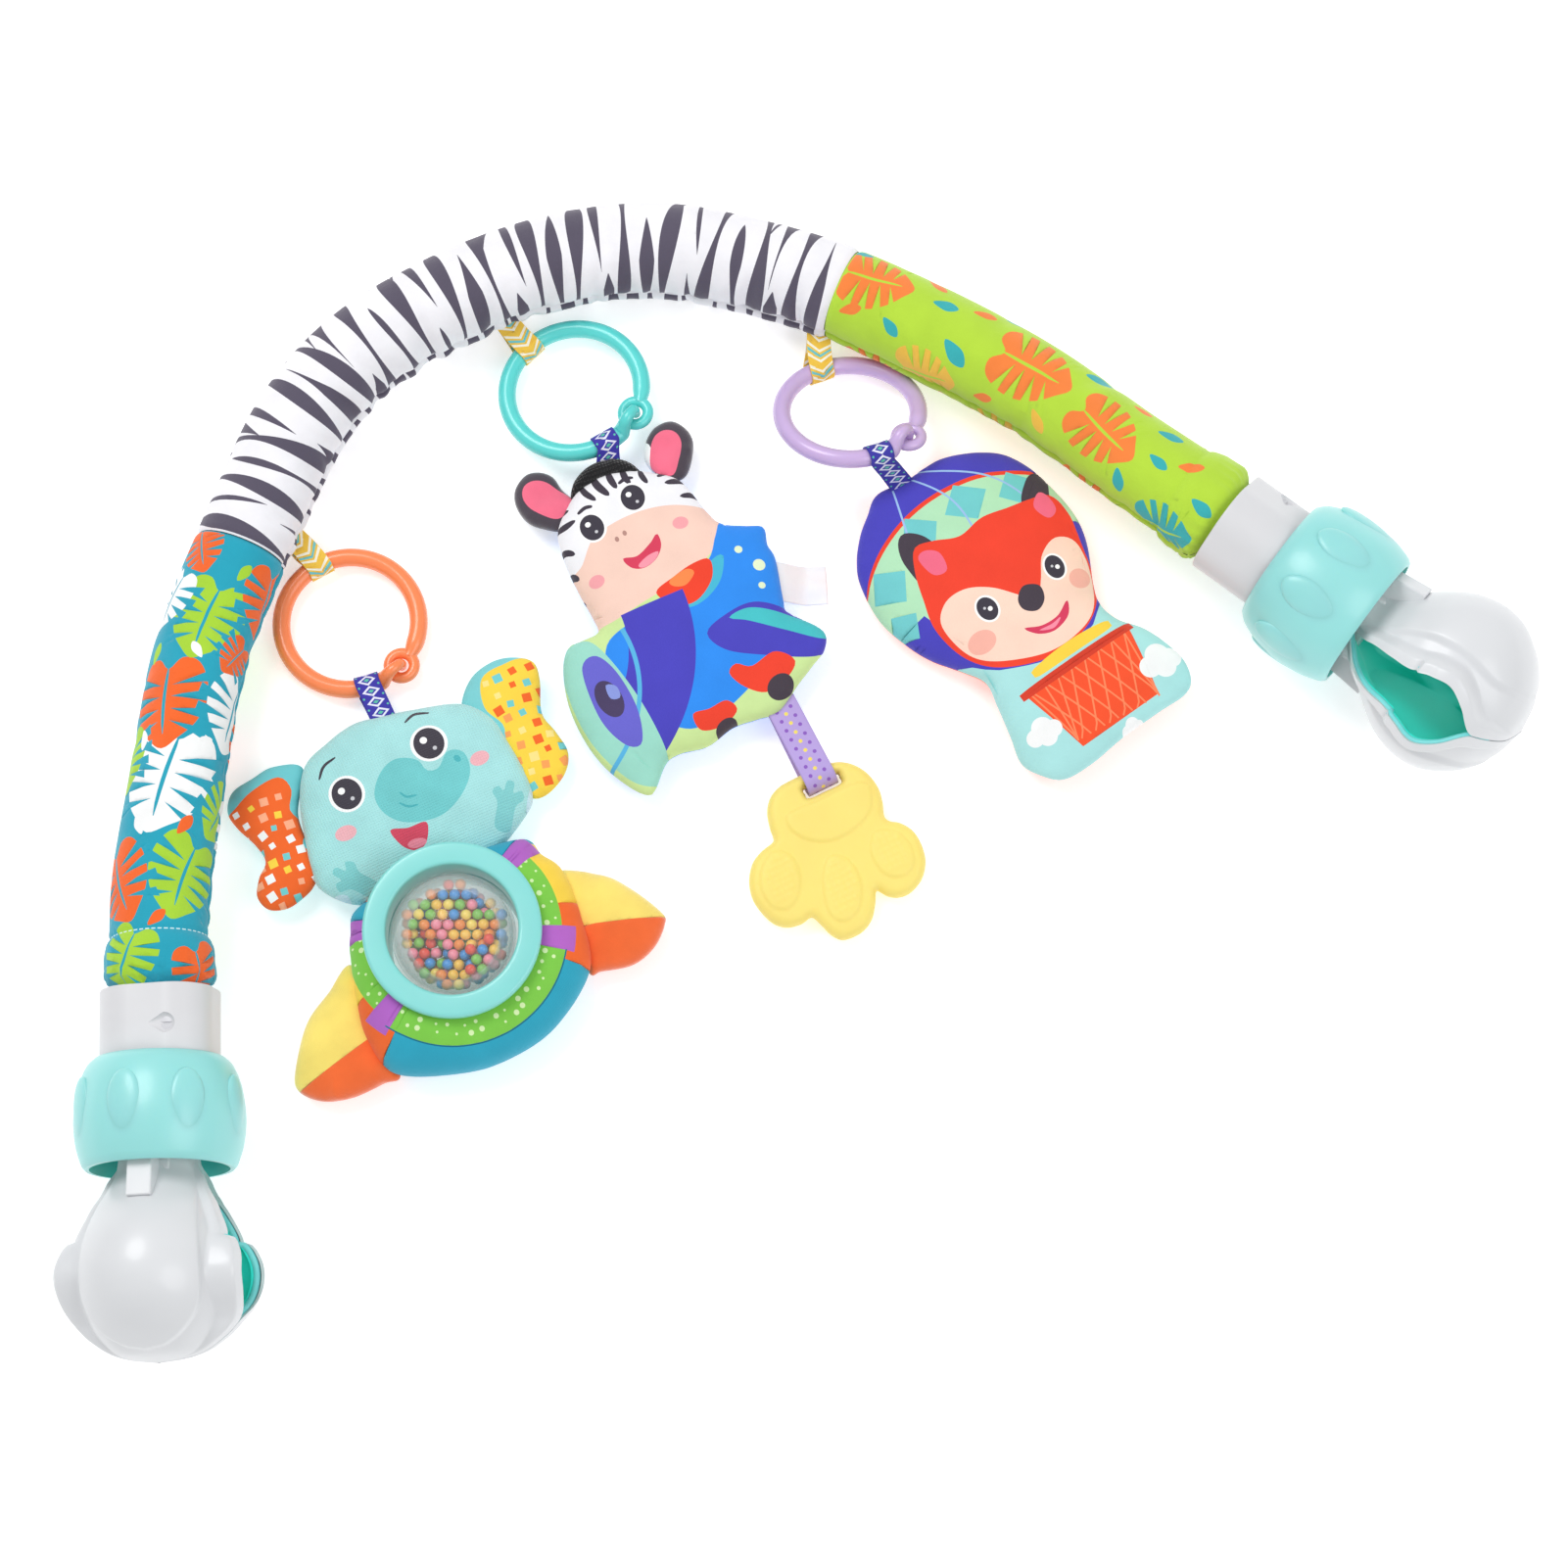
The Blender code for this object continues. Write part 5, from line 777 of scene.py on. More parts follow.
def zebra_print():
    dark = paint("423B47")
    s = [
        (PALE_LIME, blob([(-60, -62), (-40, -60), (-20, -66), (0, -63), (18, -56), (30, -46), (34, -30),
        (60, -30), (80, -80), (70, -140), (0, -160), (-60, -160), (-75, -100)], 120)),
        (SKIN, blob([(-36, -66), (-33, -46), (-26, -41), (-18, -32), (-7, -28.5), (6, -27.5), (18, -29),
        (29, -33), (38, -38), (34, -48), (25, -56), (10, -62), (-8, -66), (-24, -69)], 100))]
    # Forehead and cheek stripes of the mask.
    for a, b, c, wide in (((-9, -4), (-8, -10), (-5, -16), 3.4), ((-2, -4), (-2, -9), (-1, -14), 3.0),
            ((4, -5), (4, -10), (5, -14), 3.0), ((-15, -6), (-14, -11), (-11, -16), 2.8),
            ((11, -8), (11, -12), (12, -16), 2.6), ((-33, -22), (-27, -22), (-22, -21), 2.8),
            ((-34, -32), (-30, -33), (-27, -35), 2.8), ((-34, -42), (-31, -43.5), (-29, -46), 2.6),
            ((-33, -14), (-27, -15), (-23, -15), 2.6), ((33, -22), (27, -19), (19, -18), 3.4),
            ((36, -32), (29, -27), (23, -26), 3.2), ((24, -12), (20, -13), (17, -14), 2.4),
            ((-35, -53), (-32, -54), (-30, -57), 2.4)):
        s.append((dark, stroke([a, b, c], wide, tips=0.15, count=14)))
    s += eye(-16.5, -27.0, 5.0, 6.0, 8) + eye(4.0, -20.4, 5.1, 6.0, -6)
    for x, y in ((-16.5, -27.0), (4.0, -20.4)):
        s.append((dark, stroke([(x - 3.6, y + 8.2), (x, y + 9.6), (x + 3.2, y + 9.0)], 1.8, tips=0.5,
            count=10)))
    s += [("B98E84", oval(-8.5, -36, 0.9, 1.2)), ("B98E84", oval(-4.6, -34.6, 0.9, 1.2))]
    s += [
        ("D9415E", blob([(-9, -45), (-3, -46), (4, -42.5), (8, -39.5), (8, -45), (4, -50), (-2, -52),
        (-7, -50)], 40)),
        ("F79AAB", blob([(-4, -50.2), (1, -47.5), (6, -47.2), (3, -50.5), (-2, -51.8)], 24))]
    s += [("F5A6AC", oval(-22.5, -50, 3.4, 2.8)), ("F5A6AC", oval(19, -38, 3.4, 2.8))]
    # Scarf, rounded cabin, porthole, side fin and two floats of the little craft below the face.
    s += [
        (BLUE, blob([(37, -40), (48, -44), (60, -58), (54, -84), (42, -104), (28, -112), (8, -121),
        (-10, -122), (-30, -100), (-28, -78), (-10, -71), (8, -66), (24, -58), (31, -48)], 110)),
        ("48B9D6", blob([(-2, -70), (12, -75), (25, -69), (31, -58), (26, -58), (14, -66), (2, -66)], 50)),
        ("F0442C", blob([(-1, -64), (8, -60), (18, -57), (25, -57.5), (23, -66), (14, -73), (5, -72)], 46)),
        ("F98A4C", blob([(6, -61), (14, -58.5), (17, -61), (12, -65), (7, -64)], 26)),
        (INDIGO, ring_share((-62, -70), 44, 72, -62, 3, 40)),
        ("9DDCCB",
        blob([(-48, -76), (-40, -71), (-33, -74), (-26, -92), (-21, -114), (-20, -133), (-28, -140),
        (-38, -134), (-47, -116), (-50, -96)], 80)),
        ("5AB6E4", ring_share((-70, -84), 50.5, 52.4, -60, 12, 40)),
        ("6A66CF", blob([(-41, -84), (-34, -80), (-28, -90), (-25, -108), (-28, -122), (-35, -120),
        (-41, -106)], 60)), ("4A3F63", oval(-34.5, -100, 5.2, 8.6, 12)),
        ("8C9BE0", blob([(-34, -94), (-30, -96), (-30, -101), (-34, -100)], 16)),
        (INDIGO, blob([(13, -88), (22, -83), (36, -81), (50, -88), (64, -98), (60, -108), (50, -110),
        (32, -104), (18, -97)], 60)),
        ("47C2C8", blob([(24, -84.5), (34, -83), (48, -90), (62, -101), (58, -104), (44, -96), (31, -88)],
        50)),
        (RED, blob([(20, -104), (26, -107), (37, -104), (44, -110), (38, -116), (28, -119), (20, -114),
        (16, -107)], 40)), (PLUM, oval(34.5, -118.5, 6.2, 4.8, 25)),
        (RED, blob([(-4, -118), (3, -118), (11, -117), (14, -122), (6, -126), (-3, -125)], 36)),
        (PLUM, oval(7.5, -127.5, 5.2, 3.6, 22)), ("E8F6D0", oval(44, -66, 2.6)),
        ("E8F6D0", oval(38, -57, 1.7)), ("E8F6D0", oval(42, -75, 1.5))]
    return s


def zebra_ear_print(side):
    if side == "left":
        return [
            (PINK, blob([(-19.5, -11), (-24, -4.3), (-28, 1.1), (-33.1, 3.2), (-37.6, 1.6), (-39.2, -3.6),
            (-36.4, -10), (-28, -16.5)], 50))]
    return [(LEAF_WHITE, blob([(12, 3), (18, 4), (19, -4), (16, -12), (10, -12)], 20)),
        (PINK, blob([(16.5, -9), (18.5, -1), (22, 4), (26.8, 5.4), (31, 3.0), (32, -2.2), (28.5, -9),
        (23.5, -14.5)], 50))]


def ear_hollow(flat):
    """How far the front of a zebra ear sinks in at its middle."""
    middle = np.array((-31, -4) if flat[0, 0] < 0 else (25, -3))
    return -2.6 * np.exp(-((flat - middle) ** 2).sum(axis=1) / 40.0)


def make_zebra(plan):
    back = kept_inside(dotted((-55, -142), (62, 0), 8.0, 1.2, paint("EAF7DA")), ZEBRA_LINE, 2.5)
    pillow = puffed("zebra_stuffed_pillow", plan, ZEBRA_LINE, zebra_print(), paint("F6F6FA"), back, BLUE,
        12.0, 12.5, 11.9, spacing=1.4, seed=43, count=250, gather=0.6)
    stuffed(pillow, "cotton", "zebra", "zebra_pillow")
    for side, line, seed in (("left", ZEBRA_EAR_LEFT_LINE, 52), ("right", ZEBRA_EAR_RIGHT_LINE, 55)):
        ear = puffed("zebra_%s_ear" % side, plan, line, zebra_ear_print(side), PLUM, [], PLUM, 10.0, 5.6,
            5.4, spacing=1.2, seed=seed, count=110, gather=0.35, hollow=ear_hollow)
        stuffed(ear, "velvet", "zebra", "zebra_ear_" + side)
    cap = puffed("zebra_plush_tuft", plan, CAP_LINE, [], TUFT_BLACK, [], TUFT_BLACK, 12.0, 8.0, 7.0,
        spacing=1.1, seed=61, count=90, gather=0.6)
    stuffed(cap, "black", "zebra", "zebra_cap")


# Fox.

FOX_LINE = [(2, 1), (11, 2), (21, 2), (33, -2), (44, -9), (51, -20), (55, -34), (57, -48), (55, -61),
    (48, -78), (46, -87), (49, -96), (56, -104), (61, -114), (64, -125), (62, -134), (56, -138), (43, -139),
    (24, -141), (8, -144), (-6, -144), (-14, -137), (-18, -129), (-16, -117), (-14, -103), (-13, -92),
    (-19, -83), (-28, -72), (-34, -60), (-38, -46), (-37, -29), (-33, -19), (-26, -10), (-19, -4), (-11, 2)]


def fox_print():
    s = [(INDIGO, [(-60, -160), (80, -160), (80, 30), (-60, 30)]),
        (RED, blob([(-40, -40), (-28, -25), (-8, -15), (14, -12), (36, -16), (60, -32), (60, -62),
        (-45, -66)], 80)),
        (MINT, blob([(-41, -42), (-28, -27), (-8, -17), (14, -14), (36, -18), (60, -34), (60, -60),
        (-45, -64)], 80)), (INDIGO, [(-50, -62), (-22, -56), (-12, -80), (-12, -100), (-60, -100)]),
        (INDIGO, [(70, -56), (52, -50), (46, -80), (70, -90)])]
    for x, y, w, h, turn in ((-28, -38, 15, 15, 38), (-6, -25, 15, 16, 30), (18, -22, 17, 15, 24),
            (40, -27, 14, 14, 20), (-31, -56, 12, 12, 44)):
        s.append((AQUA, placed([(0, -h * 0.62), (w * 0.62, 0), (0, h * 0.62), (-w * 0.62, 0)], x, y, 1.0,
            turn - 20)))
    for points in (((-4, 3), (-12, -30), (-16, -62)), ((2, 3), (14, -20), (14, -50)),
            ((6, 3), (34, -18), (48, -50))):
        s.append(("9FC3EE", stroke(points, 0.9, tips=0.8)))
    s.append(
        (SKY, blob([(-60, -96), (-30, -80), (-16, -84), (-6, -92), (16, -99), (36, -95), (47, -86),
        (62, -88), (90, -100), (90, -160), (-60, -160)], 80)))
    # Ears and mask of a plain fox's face.
    s += [(PLUM, blob([(-18, -34), (-16, -24), (-11, -21), (-4, -28), (-2, -42), (-14, -50)], 40)),
        (PLUM, blob([(50, -38), (54, -29), (51, -24), (45, -26), (38, -36), (46, -50)], 40)),
        (RED, blob([(-16, -38), (-11, -29), (-3, -30), (8, -34), (20, -31.5), (32, -33), (42, -34),
        (51, -36), (54, -46), (52, -60), (48, -80), (36, -93), (16, -98), (-4, -92), (-16, -80), (-21, -64),
        (-19, -50)], 110)), (PINK, blob([(-12, -34), (-8, -32), (-3, -36), (-4, -44), (-10, -43)], 26)),
        (PINK, blob([(42, -38), (47, -33), (50, -36), (50, -43), (45, -45)], 26)),
        ("FFD9C6", blob([(-18, -64), (-12, -56), (-2, -55), (8, -60), (16, -68), (22, -74), (28, -67),
        (34, -58), (43, -54), (50, -60), (48, -76), (38, -91), (18, -96), (-2, -90), (-14, -80)], 110)),
        ("F8B6A6", oval(-7, -78, 6.2, 4.8)), ("F8B6A6", oval(43, -74, 4.6, 4.4))]
    s += eye(2, -67, 4.2, 5.2, 6, (0.25, -0.1)) + eye(36, -65, 4.1, 5.2, -6, (0.25, -0.1))
    s += [(PLUM, blob([(15, -70), (20, -66), (26, -69), (25, -75), (20, -78), (15, -75)], 34)),
        ("D93E60", blob([(11, -82), (18, -84.5), (26, -84), (33, -80), (30, -86), (22, -89), (15, -87)],
        40)), ("F78FA6", blob([(16, -85.8), (22, -86), (27, -85), (22, -87.9)], 20))]
    # Woven basket and clouds.
    s.append(("F9552D", [(-3, -107), (50, -102), (46, -133), (7, -137)]))
    for i in range(8):
        a = i / 7.0
        s.append(
            ("FF8A5E", stroke([(-1 + 48 * a, -107.5 + 4.5 * a), (max(6.5, 47 * a - 11), -133 - 1.5 * a),
            (max(6.5, 47 * a - 12), -134)], 0.75, tips=0.9, count=6)))
        s.append(("FF8A5E", stroke([(47 * a, -107 + 4 * a), (min(46, 12 + 47 * a), -132 + 1.0 * a),
                                           (min(46, 12.6 + 47 * a), -134)], 0.75, tips=0.9, count=6)))
    s += [(YELLOW, stroke([(4, -101), (24, -98.5), (44, -97)], 5.5, tips=0.5)),
          ("D8402A", stroke([(-5, -107), (22, -104.6), (52, -101.5)], 4.0, tips=0.8))]
    for x, y, k in ((54, -119, 1.0), (-4, -122, 0.82), (30, -139, 0.55)):
        s += [(LEAF_WHITE, oval(x, y, 5.6 * k)), (LEAF_WHITE, oval(x + 5 * k, y - 3 * k, 4.4 * k)),
            (LEAF_WHITE, oval(x - 5.4 * k, y - 2.8 * k, 4.6 * k)),
            (LEAF_WHITE, oval(x + 0.5 * k, y - 5 * k, 5.0 * k))]
    return s


def make_fox(plan):
    back = kept_inside(dotted((-40, -145), (65, 0), 8.0, 1.2, LEAF_WHITE), FOX_LINE, 2.5)
    pillow = puffed("fox_stuffed_pillow", plan, FOX_LINE, fox_print(), SKY, back, ORANGE, 12.0, 12.5, 11.9,
        spacing=1.4, seed=71, count=240, gather=0.55)
    stuffed(pillow, "cotton", "fox", "fox_pillow")


# Arch: its line, sleeves and prints.

SHIFT = Vector((-0.26365, -0.09764, 0.0))
ARCH_SPAN = 0.4356
ARCH_RISE = 0.3245
ARCH_SHARES = [(0.0, 0.0), (-0.003, 0.128), (0.005, 0.25), (0.021, 0.436), (0.056, 0.59), (0.109, 0.76),
    (0.184, 0.877), (0.295, 0.963), (0.414, 1.0), (0.515, 0.994), (0.641, 0.941), (0.802, 0.818),
    (0.915, 0.698), (1.0, 0.614)]
SLEEVE_RADIUS = 0.02
COLLAR_BORE = 0.0176
SLEEVE_SEAMS = (0.277, 0.727)
HEAD_TURN = {"left": math.radians(11.0), "right": math.radians(49.0)}
HEAD_REST = {side: math.hypot(0.039 * math.cos(a), 0.041 * math.sin(a)) for side, a in HEAD_TURN.items()}
LEFT_AXIS = heading(-88.2)
RIGHT_AXIS = heading(-37.3)
SLEEVE_OVERLAP = 0.0055


def smooth_share(x):
    x = min(1.0, max(0.0, x))
    return x * x * (3.0 - 2.0 * x)


def arch_line():
    flat = curve_through([(x * ARCH_SPAN, y * ARCH_RISE) for x, y in ARCH_SHARES], 400, closed=False)
    line = []
    for i, p in enumerate(flat):
        share = i / (len(flat) - 1)
        side = "left" if share < 0.5 else "right"
        lift = smooth_share(1.0 - min(share, 1.0 - share) / 0.3)
        line.append(Vector((p[0], p[1], SLEEVE_RADIUS + (HEAD_REST[side] - SLEEVE_RADIUS) * lift)) + SHIFT)
    return line


ARCH_LINE = arch_line()
ARCH_RUN = np.concatenate([[0.0], np.cumsum([(b - a).length for a, b in zip(ARCH_LINE, ARCH_LINE[1:])])])
ARCH_LENGTH = float(ARCH_RUN[-1])
ARCH_ARRAY = np.array([tuple(p) for p in ARCH_LINE])


def arch_point(distance):
    if distance < 0.0:
        return ARCH_LINE[0] - LEFT_AXIS * distance
    if distance > ARCH_LENGTH:
        return ARCH_LINE[-1] + RIGHT_AXIS * (distance - ARCH_LENGTH)
    return Vector([np.interp(distance, ARCH_RUN, ARCH_ARRAY[:, k]) for k in range(3)])


def arch_frame(distance):
    along = (arch_point(distance + 0.006) - arch_point(distance - 0.006)).normalized()
    inner = along.cross(Vector((0, 0, 1))).normalized()
    up = inner.cross(along).normalized()
    return arch_point(distance), along, inner, up


SLEEVE_MM = 20.0
GIRTH = 2 * math.pi * SLEEVE_MM


def leaf_scatter(ground, big, small):
    shapes = []
    for x, y, size, turn, colour in big:
        shapes += split_leaf(x, y, size, turn, colour, ground)
    for x, y, size, turn, colour in small:
        shapes += small_leaf(x, y, size, turn, colour)
    return shapes


def stitches(u, colour):
    """A row of sewn stitches round the sleeve."""
    return [(colour, [(u - 0.25, v), (u + 0.25, v), (u + 0.25, v + 1.7), (u - 0.25, v + 1.7)])
        for v in np.arange(2.0, GIRTH - 3.0, 2.6)]


def left_print():
    w, o, l = LEAF_WHITE, ORANGE, paint("A8D53A")
    big = [(11, 42, 25, 70, l), (4, 12, 24, 110, o), (45, 19, 33, 75, l), (42, 49, 30, 115, o),
        (86, 33, 42, 80, w), (76, 4, 24, 60, l), (119, 39, 36, 95, o), (120, 6, 32, 80, w),
        (158, 30, 33, 85, l), (176, 5, 30, 100, o), (165, 52, 24, 70, w), (145, 12, 18, 60, o),
        (188, 45, 22, 120, o), (95, 58, 26, 100, l), (15, 75, 30, 80, w), (50, 82, 34, 100, o),
        (90, 88, 34, 80, l), (130, 76, 30, 95, w), (165, 86, 34, 85, o), (30, 108, 32, 70, l),
        (70, 112, 32, 100, w), (110, 110, 34, 85, o), (150, 108, 32, 75, l), (187, 108, 30, 90, w)]
    small = [(26, 30, 9, 40, o), (64, 42, 9, 120, w), (66, 22, 10, 60, o), (102, 20, 9, 30, w),
        (140, 50, 9, 80, l), (142, 30, 8, 130, w), (182, 22, 9, 70, l), (102, 48, 9, 100, w),
        (30, 62, 9, 90, w), (62, 64, 9, 90, l), (25, 92, 9, 40, o), (75, 66, 9, 20, w), (112, 92, 9, 60, w),
        (148, 92, 9, 60, o), (180, 70, 9, 60, l)]
    return leaf_scatter(TURQUOISE, big, small) + stitches(21.5, paint("D9F0F2"))


def right_print():
    o, t, y = paint("F5853F"), paint("38AFB4"), paint("F2C14A")
    big = [(13, 37, 30, -80, o), (92, 33, 33, -88, o), (133, 28, 29, -100, o), (174, 6, 24, -70, t),
        (50, 6, 26, -80, y), (28, 80, 30, -90, t), (70, 78, 32, -80, o), (112, 84, 30, -100, t),
        (152, 80, 30, -85, o), (24, 112, 28, -90, o), (88, 112, 30, -75, y), (138, 112, 30, -95, o),
        (178, 108, 26, -90, t)]
    small = [(3, 50, 10, 110, t), (47, 40, 11, 100, t), (61, 22, 14, 60, t), (117, 51, 13, 130, t),
        (157, 45, 11, 110, t), (38, 51, 11, 60, o), (63, 46, 10, 110, o), (30, 20, 10, 60, t),
        (74, 55, 9, 100, t), (108, 14, 11, 50, y), (150, 14, 10, 30, t), (160, 30, 9, 80, t),
        (80, 10, 9, 110, o), (140, 50, 9, 100, o), (172, 36, 10, 120, o), (185, 24, 10, 80, t),
        (10, 20, 10, 120, o), (50, 62, 10, 60, t), (95, 60, 9, 60, y), (125, 62, 9, 60, t),
        (180, 60, 9, 90, t), (50, 96, 10, 60, t), (118, 108, 10, 60, t), (60, 116, 10, 30, o),
        (160, 100, 10, 30, t)]
    return leaf_scatter(LIME, big, small)


def stripe(u, slope, wave, low, high, wide, seed, blunt=(0.0, 0.0)):
    """One stripe round the sleeve, from low to high round its girth, drawn to a point unless blunt."""
    shuffle = random.Random(seed)
    v = np.linspace(low, high, 30)
    share = np.linspace(0.0, 1.0, 30)
    middle = u + slope * (v - (low + high) / 2.0) + wave * np.sin(v / 17.0 + shuffle.random() * 6.0)
    thick = wide * (0.62 + 0.38 * np.sin(v / 11.0 + shuffle.random() * 6.0))
    start = np.clip(share / 0.45 + blunt[0], 0.0, 1.0) ** 0.8
    end = np.clip((1 - share) / 0.45 + blunt[1], 0.0, 1.0) ** 0.8
    half = thick * np.minimum(start, end) / 2.0 + 0.05
    return np.vstack([np.stack([middle - half, v], axis=1), np.stack([middle + half, v], axis=1)[::-1]])


def middle_print(length):
    shuffle = random.Random(27)
    shapes = []
    u = 3.0
    i = 0
    while u < length - 2:
        slope = shuffle.uniform(-0.1, 0.1)
        wide = shuffle.uniform(6.0, 8.2)
        kind = i % 4
        if kind in (0, 2):
            shapes.append((STRIPE_DARK, stripe(u, slope, 1.0, -3.0, GIRTH / 2 + 14, wide, i, (1.0, 0.2))))
        elif kind == 1:
            shapes.append((STRIPE_DARK, stripe(u, slope, 1.2, 22.0 + shuffle.uniform(-6, 4), GIRTH + 4,
                wide, i, (0.0, 1.0))))
            shapes.append((STRIPE_DARK, stripe(u + shuffle.uniform(-1.5, 1.5), slope, 0.6, -3.0, 16.0,
                wide * 0.8, i + 70, (1.0, 0.0))))
        else:
            shapes.append((STRIPE_DARK, stripe(u, slope, 1.0, -3.0, 44.0 + shuffle.uniform(-4, 8), wide, i,
                (1.0, 0.0))))
            shapes.append((STRIPE_DARK, stripe(u + 1.0, slope, 0.8, 54.0, GIRTH + 3, wide * 0.9, i + 90,
                (0.1, 1.0))))
        if kind == 0:
            shapes.append((STRIPE_DARK, stripe(u + 3.4, 0.16, 0.4, 40.0, 74.0, 4.6, i + 40, (0.0, 0.0))))
            shapes.append((STRIPE_DARK, stripe(u, slope, 0.5, 84.0, GIRTH + 3, wide * 0.9, i + 20,
                (0.0, 1.0))))
        if kind == 2:
            shapes.append((STRIPE_DARK, stripe(u + 1.5, slope, 0.8, 80.0, GIRTH + 3, wide, i + 50,
                (0.0, 1.0))))
        u += shuffle.uniform(8.6, 11.0)
        i += 1
    return shapes


def fold_height(u, v, kind):
    """How far the sleeve's cloth stands out at each place, in millimetres."""
    seam = np.minimum(v, GIRTH - v)
    side = np.where(v < GIRTH / 2, 1.0, -1.0)
    if kind == "middle":
        folds = np.zeros(len(u))
        shuffle = random.Random(33)
        at = 4.0
        while at < 314:
            wide = shuffle.uniform(2.4, 4.6)
            lean = shuffle.uniform(-0.35, 0.35)
            deep = shuffle.uniform(0.8, 2.1)
            run = shuffle.uniform(16.0, 36.0)
            only = shuffle.choice((0.25, 1.0, 1.0))
            weight = np.where(side > 0, 1.0, only)
            folds -= deep * weight * np.exp(-((u - at - lean * seam) / wide) ** 2) * np.exp(-(seam / run)
                ** 2)
            at += shuffle.uniform(6.0, 12.0)
        swell = 0.55 * np.sin(u / 7.7 + 1.3 * np.sin(v / 19.0)) * np.sin(v / 40.0 * math.pi / 1.57) ** 2
        bag = 0.7 * np.sin(u / 21.0 + 0.6) * np.cos(v / 20.0)
        return folds + swell + bag + 0.5
    folds = np.zeros(len(u))
    shuffle = random.Random(41 if kind == "left" else 57)
    for _ in range(13):
        cu, cv = shuffle.uniform(6, 190), shuffle.uniform(0, GIRTH)
        lean = shuffle.uniform(-0.5, 0.5)
        du = (u - cu) - lean * (v - cv)
        dv = (v - cv + GIRTH / 2) % GIRTH - GIRTH / 2
        deep, wide, long = shuffle.uniform(0.4, 1.3), shuffle.uniform(2.5, 5.0), shuffle.uniform(9, 20)
        folds -= deep * np.exp(-(du / wide) ** 2) * np.exp(-(dv / long) ** 2)
    at = 3.0
    while at < 194:
        folds -= shuffle.uniform(0.2, 0.9) * np.exp(-((u - at) / shuffle.uniform(2.0, 4.0))
            ** 2) * np.exp(-(seam / 9.0) ** 2)
        at += shuffle.uniform(7.0, 16.0)
    long_wave = 0.45 * np.sin(v / 20.0 * 2 + 1.0 + u / 60.0) * np.sin(u / 33.0 + 0.4)
    return folds + long_wave


def make_sleeve(name, kind, start, end, ground, motifs):
    """A cloth tube over the foam: a panel wrapped round the arch, sewn together on the inner side."""
    length = (end - start) * 1000.0
    outline = np.array([(x, 0.0) for x in np.linspace(0.0, length, int(length / 1.6) + 1)]
                       + [(length, y) for y in np.linspace(0.0, GIRTH, 82)[1:-1]]
                       + [(x, GIRTH) for x in np.linspace(length, 0.0, int(length / 1.6) + 1)]
                       + [(0.0, y) for y in np.linspace(GIRTH, 0.0, 82)[1:-1]])
    motifs = [(c, s) for c, s in motifs if np.max(s, axis=0)[0] >= 0.9 and np.min(s, axis=0)[0] <= length
        - 0.9]
    trimmed = within_strip(motifs, (0.8, 0.8), (length - 0.8, GIRTH - 0.8))
    flat, faces, colours = cut_panel(outline, trimmed, ground, 1.75)
    u, v = flat[:, 0], flat[:, 1]
    lift = fold_height(u, v, kind)
    near_seam = np.minimum(v, GIRTH - v)
    lift = lift - 2.6 * np.exp(-(near_seam / 1.3) ** 1.5)
    # Elastic casings at the collars: a row of stitches and a gathered edge.
    end_gap = u if kind == "left" else (length - u if kind == "right" else np.full(len(u), 1e3))
    ruffle = np.sin(v / 20.0 * 27.0 + 1.7 * np.sin(v / 9.0)) * np.exp(-np.maximum(end_gap - 8.0, 0.0) / 5.0)
    gathers = (ruffle + 2.4) * np.clip((30.0 - end_gap) / 10.0, 0.0, 1.0) * np.clip(end_gap / 9.0, 0.0, 1.0)
    casing = -1.1 * np.exp(-((end_gap - 27.0) / 1.2) ** 2)
    lift = lift * np.clip((end_gap - 6.0) / 18.0, 0.12, 1.0) + gathers + casing
    for joined in ((0.0,) if kind != "left" else ()) + ((length,) if kind != "right" else ()):
        lift = lift - 1.3 * np.exp(-(np.abs(u - joined) / 1.2) ** 1.5)
    stops = np.linspace(0.0, length, int(length / 2.0) + 2)
    frames = [arch_frame(start + s / 1000.0) for s in stops]
    table = [np.array([tuple(f[k]) for f in frames]) for k in range(4)]
    middle, inner, up = [looked_up(u, stops, table[row]) for row in (0, 2, 3)]
    distance = start + u / 1000.0
    edge = np.minimum(distance, ARCH_LENGTH - distance)
    ease = np.clip(edge / 0.0038, 0.0, 1.0)
    ease = ease * ease * (3 - 2 * ease)
    radius = COLLAR_BORE - 0.0003 + (SLEEVE_RADIUS - COLLAR_BORE + 0.0003) * ease
    radius = radius + lift * MM * np.clip(edge / 0.006, 0.0, 1.0)
    angle = v / SLEEVE_MM
    points = middle + (inner * np.cos(angle)[:, None] + up * np.sin(angle)[:, None]) * radius[:, None]
    points[:, 2] = np.maximum(points[:, 2], 0.0003)
    stuffed(make_mesh(name, points, faces, colours, flat * MM, 80.0), "sleeve", "arch", "sleeve_"
        + kind)


def make_sleeves():
    first, second = [share * ARCH_LENGTH for share in SLEEVE_SEAMS]
    leaves = [(colour, shape + np.array([SLEEVE_OVERLAP / MM, 0.0])) for colour, shape in left_print()]
    stripes = middle_print((second - first) * 1000.0)
    make_sleeve("sleeve_turquoise_leaves", "left", -SLEEVE_OVERLAP, first, TURQUOISE, leaves)
    make_sleeve("sleeve_zebra_stripes", "middle", first, second, STRIPE_WHITE, stripes)
    make_sleeve("sleeve_lime_leaves", "right", second, ARCH_LENGTH + SLEEVE_OVERLAP, LIME, right_print())


# Hard pieces, modelled in edit mode.

def select_only(obj):
    bpy.ops.object.select_all(action="DESELECT")
    obj.select_set(True)
    bpy.context.view_layer.objects.active = obj


